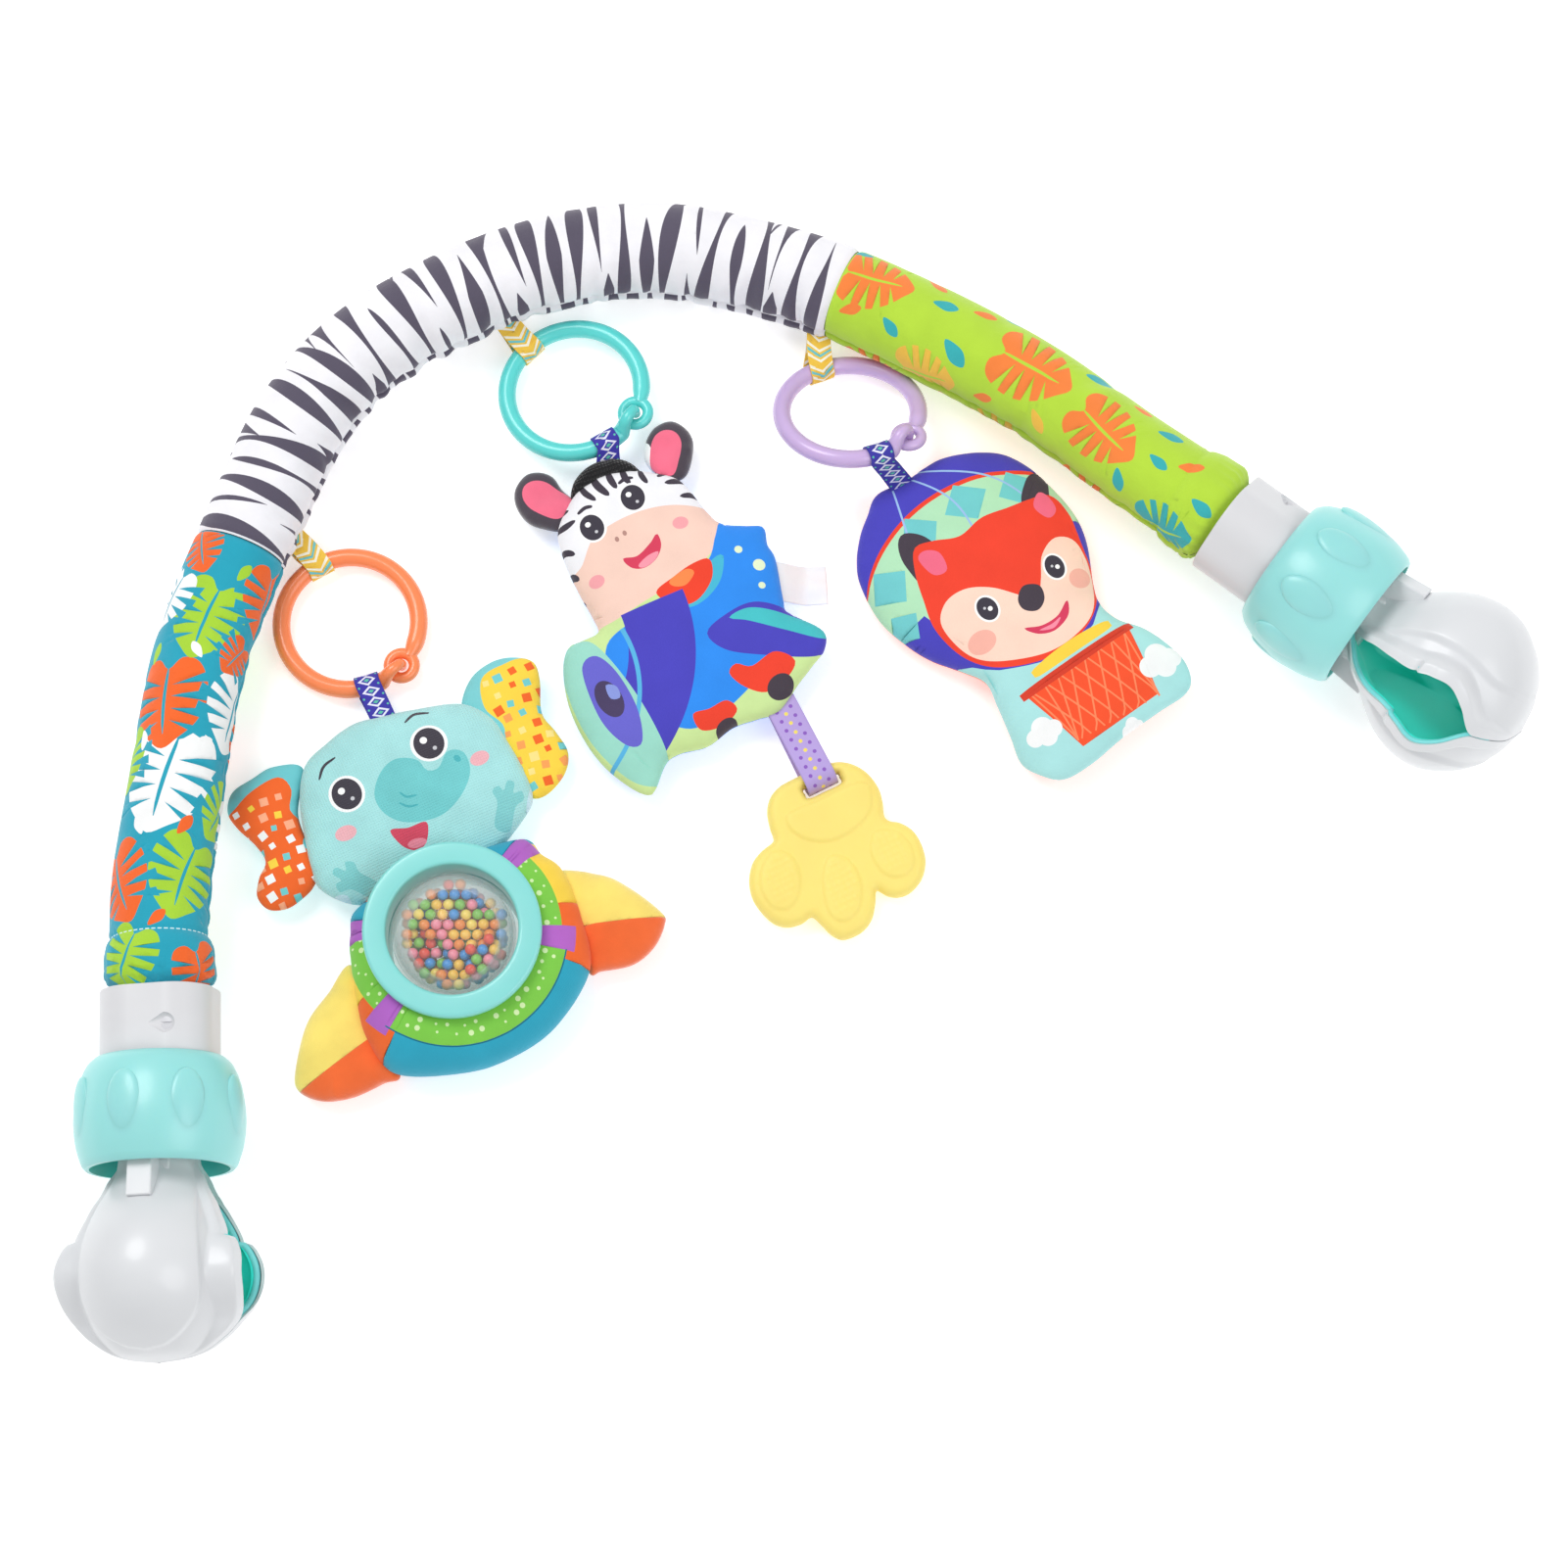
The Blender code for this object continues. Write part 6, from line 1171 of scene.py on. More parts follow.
def apply_step(obj, kind, **settings):
    """A modifier with these settings, applied at once."""
    step = obj.modifiers.new("step", kind)
    for key, value in settings.items():
        setattr(step, key, value)
    bpy.context.view_layer.objects.active = obj
    bpy.ops.object.modifier_apply(modifier=step.name)


def edit_mode(obj=None):
    if obj is not None:
        select_only(obj)
    bpy.ops.object.mode_set(mode="EDIT")
    bpy.ops.mesh.select_mode(type="VERT")
    bpy.ops.mesh.select_all(action="SELECT")


def leave_edit(obj, name, smooth_angle=35.0):
    bpy.ops.mesh.select_all(action="SELECT")
    bpy.ops.mesh.normals_make_consistent(inside=False)
    bpy.ops.object.mode_set(mode="OBJECT")
    obj.name = obj.data.name = name
    bpy.ops.object.shade_smooth_by_angle(angle=math.radians(smooth_angle))
    bpy.ops.object.select_all(action="DESELECT")
    return obj


def pick_edges(obj, chosen):
    """Selects the edges whose two ends pass the test."""
    bpy.ops.mesh.select_mode(type="EDGE")
    bpy.ops.mesh.select_all(action="DESELECT")
    bpy.ops.object.mode_set(mode="OBJECT")
    for edge in obj.data.edges:
        edge.select = chosen(*(obj.data.vertices[i].co for i in edge.vertices))
    bpy.ops.object.mode_set(mode="EDIT")


def turned(name, profile, segments=96, smooth_angle=35.0):
    """A turned piece: a circle drawn out and resized row by row, its last row joined to its first."""
    bpy.ops.mesh.primitive_circle_add(vertices=segments, radius=profile[0][0])
    obj = bpy.context.object
    edit_mode()
    bpy.ops.transform.translate(value=(0.0, 0.0, profile[0][1]))
    for (near, low), (far, high) in zip(profile, profile[1:]):
        bpy.ops.mesh.extrude_edges_move(TRANSFORM_OT_translate={"value": (0.0, 0.0, high - low)})
        bpy.ops.transform.resize(value=(far / near, far / near, 1.0))
    bpy.ops.mesh.select_all(action="DESELECT")
    bpy.ops.mesh.select_non_manifold()
    bpy.ops.mesh.bridge_edge_loops()
    return leave_edit(obj, name, smooth_angle)


def rounded(profile, radius, steps=4):
    """The profile with each of its corners turned into a small arc."""
    made = []
    n = len(profile)
    for i in range(n):
        a, b, c = (np.array(profile[j % n], float) for j in (i - 1, i, i + 1))
        reach = min(radius, 0.45 * np.linalg.norm(a - b), 0.45 * np.linalg.norm(c - b))
        p = b + (a - b) / max(np.linalg.norm(a - b), 1e-9) * reach
        q = b + (c - b) / max(np.linalg.norm(c - b), 1e-9) * reach
        for k in range(steps + 1):
            t = k / steps
            made.append(tuple((1 - t) ** 2 * p + 2 * t * (1 - t) * b + t * t * q))
    return made


def block(name, low, high, bevel, segments=4):
    """A box with rounded edges."""
    low, high = Vector(low), Vector(high)
    bpy.ops.mesh.primitive_cube_add(size=1.0)
    obj = bpy.context.object
    edit_mode()
    bpy.ops.transform.resize(value=tuple(high - low))
    bpy.ops.transform.translate(value=tuple((low + high) / 2.0))
    if bevel:
        bpy.ops.mesh.bevel(offset=bevel, segments=segments, affect="EDGES")
    return leave_edit(obj, name)


def bar(name, radius, start, end, segments=40, bevel=0.0003):
    """A round bar between two points."""
    start, end = Vector(start), Vector(end)
    bpy.ops.mesh.primitive_cylinder_add(vertices=segments, radius=radius, depth=(end - start).length)
    obj = bpy.context.object
    edit_mode()
    if bevel:
        pick_edges(obj, lambda a, b: abs(a.z - b.z) < 1e-6)
        bpy.ops.mesh.bevel(offset=bevel, segments=3, affect="EDGES")
    leave_edit(obj, name)
    obj.data.transform(Matrix.Translation((start + end) / 2.0) @ (end - start).to_track_quat("Z",
        "Y").to_matrix().to_4x4())
    return obj


def carve(obj, *cutters):
    """The cutters are taken out of the piece."""
    for cutter in cutters:
        apply_step(obj, "BOOLEAN", object=cutter, solver="EXACT")
        bpy.data.objects.remove(cutter)
    select_only(obj)
    bpy.ops.object.shade_smooth_by_angle(angle=math.radians(30.0))
    obj.select_set(False)
    return obj


def joined(name, *pieces):
    bpy.ops.object.select_all(action="DESELECT")
    for piece in pieces:
        piece.select_set(True)
    bpy.context.view_layer.objects.active = pieces[0]
    bpy.ops.object.join()
    pieces[0].name = pieces[0].data.name = name
    pieces[0].select_set(False)
    return pieces[0]


# Clamps.

CLAMPS = {
    "left": Matrix(((0.98114, -0.19071, 0.03141, -0.26365), (0.03083, -0.00599, -0.99951, -0.09764),
                    (0.19081, 0.98163, 0.0, 0.03907), (0, 0, 0, 1))),
    "right": Matrix(((0.39756, 0.45735, 0.79547, 0.17195), (0.52188, 0.60035, -0.60599, 0.1016),
                     (-0.75471, 0.65606, 0.0, 0.04015), (0, 0, 0, 1))),
}
PAD_PHASE = {"left": 7.0, "right": 32.0}
GRIP_COUNT = 8
SCREW_ACROSS, SCREW_RUN = 0.0085, 0.0167
JAW_WALL = 0.0022
# Place along the jaw, underside and top of the rib at its near end and at its far end.
RIB_ENDS = ((0.0705, 0.014, 0.025), (0.0865, 0.02, 0.0268))
COLLAR_WIDTH, COLLAR_DEPTH, COLLAR_LENGTH = 0.047, 0.041, 0.038
RING_START, RING_LENGTH, RING_RADIUS = 0.0275, 0.045, 0.0345
HEAD_START, HEAD_LENGTH = 0.069, 0.081
HEAD_WIDE, HEAD_HIGH, LIP_HIGH = 0.041, 0.039, 0.015
HEAD_TABLE = [(0.0, 0.422, 0.415, 0.04), (0.074, 0.439, 0.441, 0.44), (0.16, 0.535, 0.55, 0.8),
    (0.26, 0.69, 0.725, 0.85), (0.37, 0.841, 0.885, 0.77), (0.48, 0.965, 0.975, 0.9),
    (0.593, 1.0, 1.0, 1.0), (0.7, 0.955, 0.95, 0.65), (0.802, 0.841, 0.815, 0.06),
    (0.89, 0.675, 0.635, 0.0), (0.965, 0.42, 0.36, 0.0), (1.0, 0.0, 0.0, 0.0)]
HEAD_CURVES = [curve_through([(row[0], row[k]) for row in HEAD_TABLE], 240, closed=False)
    for k in (1, 2, 3)]
PANEL_EDGE = [(0.0, 0.015), (0.2, 0.02), (0.4, 0.0238), (0.6, 0.0255), (0.75, 0.024), (0.86, 0.018),
    (0.93, 0.0095), (0.955, 0.0), (1.0, -0.01)]
UPPER_LIP = [(0.0, 0.02), (0.074, 0.14), (0.16, 0.32), (0.26, 0.46), (0.37, 0.6), (0.48, 0.88),
    (0.593, 1.0), (0.7, 0.65), (0.802, 0.06), (0.9, 0.0), (1.0, 0.0)]
WING_REACH = [(0.0, 0.0), (0.38, 0.0), (0.42, 0.004), (0.46, 0.0074), (0.52, 0.009), (0.6, 0.0093),
    (0.72, 0.008), (0.85, 0.0045), (1.0, 0.0)]
BODY_SINK = [(0.0, 0.0), (0.2, 0.001), (0.3, 0.0028), (0.38, 0.0044), (0.47, 0.007), (0.6, 0.008),
    (0.72, 0.0072), (0.85, 0.0042), (1.0, 0.0)]
NECK_WING = {"left": 0.0028, "right": 0.006}
UPPER_LIP, PANEL_EDGE, WING_REACH, BODY_SINK = [curve_through(line, 240, closed=False) for line in
                                                (UPPER_LIP, PANEL_EDGE, WING_REACH, BODY_SINK)]


def along(line, share):
    return float(np.interp(share, line[:, 0], line[:, 1]))


def head_size(share, which):
    wide, high, lip = [along(c, share) for c in HEAD_CURVES]
    return wide, high, max(0.0, along(UPPER_LIP, share)) if which == "upper" else lip


def head_point(jaw, share, turn, inset, lip_drop, relief=True):
    """A place on a jaw's shell. Its turn is 0 at one lip and 1 at the other, and wings stand out there."""
    side, which = jaw
    wide, high, lip = head_size(share, which)
    neck = NECK_WING[side] * smooth_share(share / 0.12) * smooth_share((0.48 - share) / 0.1)
    wing, sunk = along(WING_REACH, share) + neck, along(BODY_SINK, share)
    half_wide = max(0.0, HEAD_WIDE * wide - sunk - inset)
    half_high = max(0.0, HEAD_HIGH * high - inset)
    lip = max(0.0003, LIP_HIGH * lip - lip_drop)
    first = math.asin(min(0.999, lip / max(half_high, lip + 1e-6)))
    angle = first + (math.pi - 2 * first) * turn
    x, y = half_wide * math.cos(angle), max(half_high * math.sin(angle), lip)
    from_lip = min(turn, 1.0 - turn)
    if relief:
        edge = along(PANEL_EDGE, share)
        panel = smooth_share((edge - abs(x)) / 0.0022 + 0.5)
        body = smooth_share((share - 0.1) / 0.2) * smooth_share((1.0 - share) / 0.1)
        flange = smooth_share((0.085 - from_lip) / 0.012)
        sink = (1.0 - panel) * 0.001 + body * (1.0 - panel) * (1.0 - flange) * 0.0008
        long = max(math.hypot(x, y), 1e-6)
        x, y = x * (1 - sink / long), max(lip, y * (1 - sink / long))
        out = smooth_share((0.092 - from_lip) / 0.034)
    else:
        out = smooth_share((0.075 - from_lip) / 0.05)
    return x + math.copysign(wing * out, math.cos(angle)), y


def head_shell(name, sign, rows, columns, first, last, outer, inner, smooth_angle=40.0):
    """A half shell with its wall: the outer face, the inner face and the rim that joins them."""
    points, faces = [], []
    shares = np.linspace(first, last, rows + 1)
    if last > 0.99:
        shares = first + (last - first) * np.sin(np.linspace(0, math.pi / 2, rows + 1)) ** 0.9
    for face in (outer, inner):
        for share in shares:
            for j in range(columns + 1):
                x, y, z = face(float(share), j / columns)
                points.append((x, y * sign, z))
    wide = columns + 1
    half = (rows + 1) * wide
    flip = -1 if sign < 0 else 1
    for i in range(rows):
        for j in range(columns):
            a, b, c, d = i * wide + j, i * wide + j + 1, (i + 1) * wide + j + 1, (i + 1) * wide + j
            faces.append((a, b, c, d)[::flip])
            faces.append((half + d, half + c, half + b, half + a)[::flip])
        for j in (0, columns):
            a, d = i * wide + j, (i + 1) * wide + j
            quad = (d, half + d, half + a, a) if j == 0 else (a, half + a, half + d, d)
            faces.append(quad[::flip])
    for j in range(columns):
        faces.append((half + j, half + j + 1, j + 1, j)[::flip])
        end = rows * wide
        faces.append((end + j, end + j + 1, half + end + j + 1, half + end + j)[::flip])
    return make_mesh(name, points, faces, smooth_angle=smooth_angle)


def make_jaw(side, which, sign, frame_matrix):
    tag = "%s_%s" % (which, side)

    def skin(inset, lip_drop, ceiling=1.0, relief=False, back=0.0):
        """A face of the jaw: set in by a gap, cut off at a height and drawn back at its tip."""
        def place(share, turn):
            x, y = head_point((side, which), share, turn, inset, lip_drop, relief)
            z = HEAD_START + HEAD_LENGTH * share - back * smooth_share((share - 0.8) / 0.2)
            return x, min(y, ceiling), z
        return place

    shell = head_shell("jaw_shell_" + tag, sign, 104, 168, 0.0, 1.0, skin(0.0, 0.0, relief=True),
        skin(JAW_WALL, 0.0, back=JAW_WALL))
    apply_step(shell, "BEVEL", width=0.0005, segments=3, limit_method="ANGLE",
        angle_limit=math.radians(55.0))
    rib = block("cam_rib", (-0.0052, 0.014, 0.0), (0.0052, 0.025, 0.016), 0.0)
    for corner in rib.data.vertices:
        run, under, over = RIB_ENDS[corner.co.z > 0.008]
        corner.co.y = over if corner.co.y > 0.02 else under
        corner.co.z = run
    edit_mode(rib)
    bpy.ops.mesh.bevel(offset=0.0007, segments=3, affect="EDGES")
    leave_edit(rib, "cam_rib")
    knuckle = bar("knuckle", 0.0043, (-0.0105, 0.007, 0.064), (0.0105, 0.007, 0.064))
    web = block("web", (-0.009, 0.0015, 0.064), (0.009, 0.0155, 0.075), 0.0008)
    if sign < 0:
        for extra in (rib, knuckle, web):
            extra.data.transform(Matrix.Diagonal((1.0, -1.0, 1.0, 1.0)))
            extra.data.flip_normals()
    shell = joined("jaw_shell_" + tag, shell, rib, knuckle, web)
    shell.data.transform(frame_matrix)
    hard(shell, "jaw_" + tag, "grey_gloss_plastic", "jaw_" + tag)

    liner = head_shell("liner_pad_" + tag, sign, 76, 90, 0.05, 0.9, skin(0.003, -0.0004, 0.02),
        skin(0.0064, 0.0009, 0.0176), 50.0)
    apply_step(liner, "BEVEL", width=0.0008, segments=3, limit_method="ANGLE",
        angle_limit=math.radians(50.0))
    wear(liner, HARD["aqua_rubber"])
    lip = skin(0.004, -0.0006)
    beads = []
    for turn in (0.0, 1.0):
        line = [(x, y * sign, z) for x, y,
            z in (lip(share, turn) for share in np.linspace(0.012, 0.885, 90))]
        beads.append(tube("bead", line, [0.0015] * 90, 14))
        wear(beads[-1], HARD["aqua_bead"])
    liner = joined("liner_pad_" + tag, liner, *beads)
    liner.data.transform(frame_matrix)
    settle(liner, "jaw_" + tag, "liner_" + tag)


def make_collar(side, frame_matrix):
    """The D-shaped end piece: a rounded block bored for the sleeve, its flange and its recessed screw."""
    name = "collar_shell_" + side
    long = COLLAR_LENGTH - 0.003
    bpy.ops.mesh.primitive_cube_add(size=1.0)
    collar = bpy.context.object
    edit_mode()
    bpy.ops.transform.resize(value=(COLLAR_WIDTH, COLLAR_DEPTH, long))
    bpy.ops.transform.translate(value=(0.0, 0.0, long / 2.0))
    pick_edges(collar, lambda a, b: abs(a.z - b.z) > 0.01)
    bpy.ops.mesh.bevel(offset=0.0168, segments=20, affect="EDGES")
    pick_edges(collar, lambda a, b: max(a.z, b.z) < 1e-5)
    bpy.ops.mesh.bevel(offset=0.0007, segments=3, affect="EDGES")
    leave_edit(collar, name)
    flange = bar("collar_flange", 0.026, (0, 0, 0.034), (0, 0, COLLAR_LENGTH), 96)
    bore = bar("bore", 0.0179, (0, 0, -0.01), (0, 0, 0.03), 96, 0.0)
    way = bar("way", 0.012, (0, 0, 0.02), (0, 0, 0.045), 48, 0.0)
    bpy.ops.mesh.primitive_uv_sphere_add(segments=56, ring_count=28, radius=1.0)
    pocket = bpy.context.object
    for point in pocket.data.vertices:
        x, y, z = point.co
        tail = smooth_share(-x)
        narrow = 1.0 - 0.62 * tail
        point.co = (SCREW_ACROSS + (0.0049 + 0.003 * tail) * x, 0.0212 + 0.0034 * y * narrow, SCREW_RUN
            + 0.0043 * z * narrow)
    carve(collar, bore, pocket)
    apply_step(collar, "WEIGHTED_NORMAL", keep_sharp=True)
    collar = joined(name, collar, carve(flange, way))
    collar.data.transform(frame_matrix)
    hard(collar, "arch", "pale_grey_plastic", "collar_" + side)

    head = bar("screw", 0.003, (SCREW_ACROSS, 0.0162, SCREW_RUN), (SCREW_ACROSS, 0.0186, SCREW_RUN), 40,
        0.0004)
    carve(head, block("slot", (0.003, 0.018, 0.0162), (0.014, 0.021, 0.0172), 0.0))
    head.data.transform(frame_matrix)
    head.name = "anchor_screw_head_" + side
    hard(head, "arch", "screw_plastic", "anchor_screw_" + side)


def make_lock_ring(side, frame_matrix):
    """The turned barrel with its eight raised grips; the inner faces at its mouth get a darker, deeper teal
    copy of its aqua as painted shade.
    """
    shares = [(1.0, 0.862), (0.96, 0.905), (0.78, 0.975), (0.54, 1.0), (0.28, 0.955), (0.09, 0.862),
        (0.01, 0.765)]
    end = RING_START + RING_LENGTH
    barrel = curve_through([(RING_RADIUS * r, RING_START + RING_LENGTH * a) for a, r in shares], 26,
        closed=False)
    inner = rounded([(0.0244, RING_START), (0.0244, 0.0335), (0.0265, 0.0335), (0.0265, 0.0385),
        (0.0255, 0.0385), (0.0255, 0.064), (0.0278, end)], 0.0004, 2)[3:-3]
    profile = [tuple(p) for p in barrel] + [(0.025, RING_START + 0.0002)] + inner + [(0.0281, end)]
    ring = turned("lock_ring_shell_" + side, profile, 128, smooth_angle=32.0)
    pads = []
    for i in range(GRIP_COUNT):
        bpy.ops.mesh.primitive_uv_sphere_add(segments=48, ring_count=24, radius=1.0)
        pad = bpy.context.object
        edit_mode()
        bpy.ops.transform.resize(value=(0.0027, 0.0076, 0.0134))
        leave_edit(pad, "pad", 80.0)
        around = Matrix.Rotation(math.radians(PAD_PHASE[side] + 45.0 * i), 4, "Z")
        tilt = Matrix.Rotation(math.radians(-1.0), 4, "Y")
        pad.data.transform(around @ Matrix.Translation((RING_RADIUS - 0.002, 0.0, RING_START + 0.0225))
            @ tilt)
        pads.append(pad)
    ring = joined("lock_ring_shell_" + side, ring, *pads)
    # The faces inside the ring's mouth are picked here to wear a darker teal: painted shade, not a second
    # colour of the moulding.
    painted_shade_faces = [p.index for p in ring.data.polygons if math.hypot(p.center.x, p.center.y) < 0.0284
        and p.center.z > 0.04]
    ring.data.transform(frame_matrix)
    wear(ring, HARD["aqua_plastic"])
    ring.data.materials.append(HARD["aqua_painted_shade"])
    for index in painted_shade_faces:
        ring.data.polygons[index].material_index = 1
    settle(ring, "lock_ring_" + side, "lock_ring_" + side)


def make_clamps():
    for side, matrix in CLAMPS.items():
        make_collar(side, matrix)
        make_lock_ring(side, matrix)
        for which, sign in (("upper", 1.0), ("lower", -1.0)):
            make_jaw(side, which, sign, matrix)


# Link rings.

def tube(name, points, radii, sides=20):
    """A round wire along points, its radius given at each, with flat caps at its ends."""
    points = [Vector(p) for p in points]
    rings, faces = [], []
    way = (points[1] - points[0]).normalized()
    across = way.orthogonal().normalized()
    for i, (p, r) in enumerate(zip(points, radii)):
        ahead = points[min(i + 1, len(points) - 1)] - points[max(i - 1, 0)]
        across = (across - ahead.normalized() * across.dot(ahead.normalized())).normalized()
        over = ahead.normalized().cross(across)
        for k in range(sides):
            a = 2 * math.pi * k / sides
            rings.append(tuple(p + (across * math.cos(a) + over * math.sin(a)) * r))
    for i in range(len(points) - 1):
        for k in range(sides):
            n = (k + 1) % sides
            faces.append((i * sides + k, i * sides + n, (i + 1) * sides + n, (i + 1) * sides + k))
    faces.append(tuple(range(sides - 1, -1, -1)))
    faces.append(tuple((len(points) - 1) * sides + k for k in range(sides)))
    return make_mesh(name, rings, faces, smooth_angle=60.0)


LINK_ROWS = {
    "orange": ((-0.19408, 0.06709, 0.0061), 0.0, 0.0, -40.0),
    "aqua": ((-0.10069, 0.16895, 0.01012), 8.0, 45.0, -23.5),
    "lilac": ((0.01657, 0.15616, 0.01967), 28.0, 0.0, -32.0),
}
LINK_RADIUS, LINK_WIRE = 0.0289, 0.0038
HOOK_REACH, HOOK_RISE = 0.0108, 0.006
HOOK = [(1.0, 0.0, 1.0), (0.82, 0.42, 0.84), (0.6, 0.93, 0.7), (0.34, 1.05, 0.63), (0.1, 0.88, 0.58),
    (0.0, 0.42, 0.56), (0.0, -0.15, 0.53)]


def make_link_ring(colour, slot):
    """An open ring: a wire that ends in a hook, and the small eyelet that its other end goes through."""
    centre, _, _, eyelet = LINK_ROWS[colour]
    hooked = curve_through(HOOK, 40, closed=False)
    start = eyelet + math.degrees(0.0048 / LINK_RADIUS)
    stop = eyelet + 360.0 - math.degrees(HOOK_REACH / LINK_RADIUS)


    def spot(a, up=0.0):
        return (LINK_RADIUS * math.cos(math.radians(a)), LINK_RADIUS * math.sin(math.radians(a)), up)

    points, radii = [], []
    for a in np.linspace(start, stop, 150):
        points.append(spot(a))
        radii.append(LINK_WIRE * (1.0 - 0.28 * smooth_share((start + 14.0 - a) / 14.0)))
    for before, up, thick in hooked[1:]:
        a = eyelet + 360.0 - math.degrees(HOOK_REACH * before / LINK_RADIUS)
        points.append(spot(a, HOOK_RISE * up))
        radii.append(LINK_WIRE * thick)
    ring = tube("link_ring_" + colour + "_body", points, radii, 28)
    bpy.ops.mesh.primitive_torus_add(major_radius=0.00535, minor_radius=0.00235, major_segments=56,
        minor_segments=24)
    loop = bpy.context.object
    loop.data.transform(Matrix.Translation(spot(eyelet)))
    bpy.ops.object.shade_smooth()
    ring = joined("link_ring_%s_moulding" % colour, ring, loop)
    ring.data.transform(Matrix.Translation(centre) @ link_tilt(colour).to_4x4())
    hard(ring, "ring_" + colour, slot, "link_ring_" + colour)


def link_tilt(colour):
    _, tilt, axis, _ = LINK_ROWS[colour]
    return Matrix.Rotation(-math.radians(tilt), 3, heading(axis))


# Ribbons and the tag.

RIBBON_WIDTH, RIBBON_THICKNESS = 0.0104, 0.0008
TEETHER_WAY = -63.0


def chevron_print(length):
    yellow, aqua, white = paint("F3C64A"), paint("6FC7CF"), paint("FBF6E4")
    colours = (aqua, white, yellow, white)
    shapes = []
    for i in range(-3, int(length / 2.0) + 3):
        x = i * 2.2
        shapes.append((colours[i % 4], [(x - 1.6, -6), (x + 1.7, 0), (x - 1.6, 6), (x - 0.35, 6),
            (x + 2.9, 0), (x - 0.35, -6)]))
    return yellow, shapes


def diamond_print(length):
    white, green, navy = paint("E9EAFB"), paint("5CBFA6"), paint("3A34A4")
    shapes = []
    for i in range(int(length / 5.2) + 2):
        x = i * 5.2
        for colour, wide, high in ((white, 2.5, 3.9), (navy, 1.5, 2.5), (green, 0.8, 1.3)):
            shapes.append((colour, [(x - wide, 0), (x, -high), (x + wide, 0), (x, high)]))
        for y in (-4.2, 4.2):
            shapes.append((green, oval(x + 2.6, y, 0.5, count=8)))
    return navy, shapes


def dot_print(length):
    shapes = []
    for i in range(int(length / 4.4) + 2):
        for y in (-3.2, 3.2):
            shapes.append(("8D5FC0", oval(i * 4.4, y, 0.85, count=12)))
        shapes.append(("F3DD6A", oval(i * 4.4 + 2.2, 0.0, 0.85, count=12)))
    return paint("B9A3E0"), shapes


def make_ribbon(name, node_name, body, root, root_across, wire, wire_along, pattern,
        width=RIBBON_WIDTH, wire_radius=LINK_WIRE):
    """A printed ribbon sewn at its root that goes round a wire and back, its print cut into the strip."""
    root, wire = Vector(root), Vector(wire)
    root_across, wire_along = Vector(root_across).normalized(), Vector(wire_along).normalized()
    if root_across.dot(wire_along) < 0:
        root_across = -root_across
    way = (wire - root).normalized()
    root_up = root_across.cross(way).normalized()
    root_up = -root_up if root_up.z < 0 else root_up
    out = (way - wire_along * way.dot(wire_along)).normalized()
    wire_up = wire_along.cross(out)
    wire_up = -wire_up if wire_up.z < 0 else wire_up
    middle = root.lerp(wire, 0.5)
    middle_across = root_across.lerp(wire_along, 0.5).normalized()
    middle_up = root_up.lerp(wire_up, 0.5).normalized()
    bight = wire_radius + 0.0005 + RIBBON_THICKNESS / 2.0
    spread = RIBBON_THICKNESS / 2.0 + 0.0002
    bow = (spread + bight) / 2.0
    rows = [(root + root_up * spread, root_across), (middle + middle_up * bow, middle_across)]
    for a in np.radians(np.linspace(105, -105, 9)):
        rows.append((wire + (out * math.cos(a) + wire_up * math.sin(a)) * bight, wire_along))
    rows += [(middle - middle_up * bow, middle_across), (root - root_up * spread, root_across)]
    line = curve_through([tuple(p) for p, _ in rows], 200, closed=False)
    at = run_along(line)
    length = float(at[-1])
    nearest = [float(at[np.argmin(np.linalg.norm(line - np.array(tuple(p)), axis=1))]) for p, _ in rows]
    side_table = np.array([tuple(s) for _, s in rows])
    long, half = length * 1000.0, width * 1000.0 / 2.0
    ground, shapes = pattern(long)
    outline = np.array([(x, -half) for x in np.arange(0, long, 0.8)]
        + [(long, y) for y in np.linspace(-half, half, 12)]
        + [(x, half) for x in np.arange(long - 0.4, 0, -0.8)]
        + [(0, y) for y in np.linspace(half, -half, 12)[:-1]], float)
    trimmed = within_strip(shapes, (0.15, 0.15 - half), (long - 0.15, half - 0.15))
    flat, faces, colours = cut_panel(outline, [(c, s) for c, s in trimmed if np.ptp(s[:, 0]) > 0.3], ground,
        0.9)
    run = flat[:, 0] * MM
    centre = looked_up(run, at, line)
    across = looked_up(run, nearest, side_table)
    across /= np.linalg.norm(across, axis=1)[:, None]
    points = centre + across * (flat[:, 1] * MM)[:, None]
    points[:, 2] = np.maximum(points[:, 2], 0.0006)
    ribbon = make_mesh(name, points, faces, colours, flat * MM, 60.0)
    apply_step(ribbon, "SOLIDIFY", thickness=RIBBON_THICKNESS, offset=0.0)
    wear(ribbon, CLOTHS["ribbon"])
    settle(ribbon, body, node_name)


# Where each of the arch's ribbons leaves the sleeve, and the way along the arch there.
ARCH_LOOPS = {
    "orange": ((-0.21662, 0.10081, 0.0135), (0.342, 0.94, -0.008)),
    "aqua": ((-0.12858, 0.19709, 0.01349), (0.929, 0.369, 0.0)),
    "lilac": ((0.00345, 0.1924, 0.01386), (0.918, -0.395, 0.042)),
}
# Each toy's link ring, the way and the distance from its joint to its own grid, and the grid's turn.
TOYS = {
    "elephant": ("orange", -65.3, 0.0172, 25.0),
    "zebra": ("aqua", -85.0, 0.0085, 20.0),
    "fox": ("lilac", -37.0, 0.0125, 30.0),
}


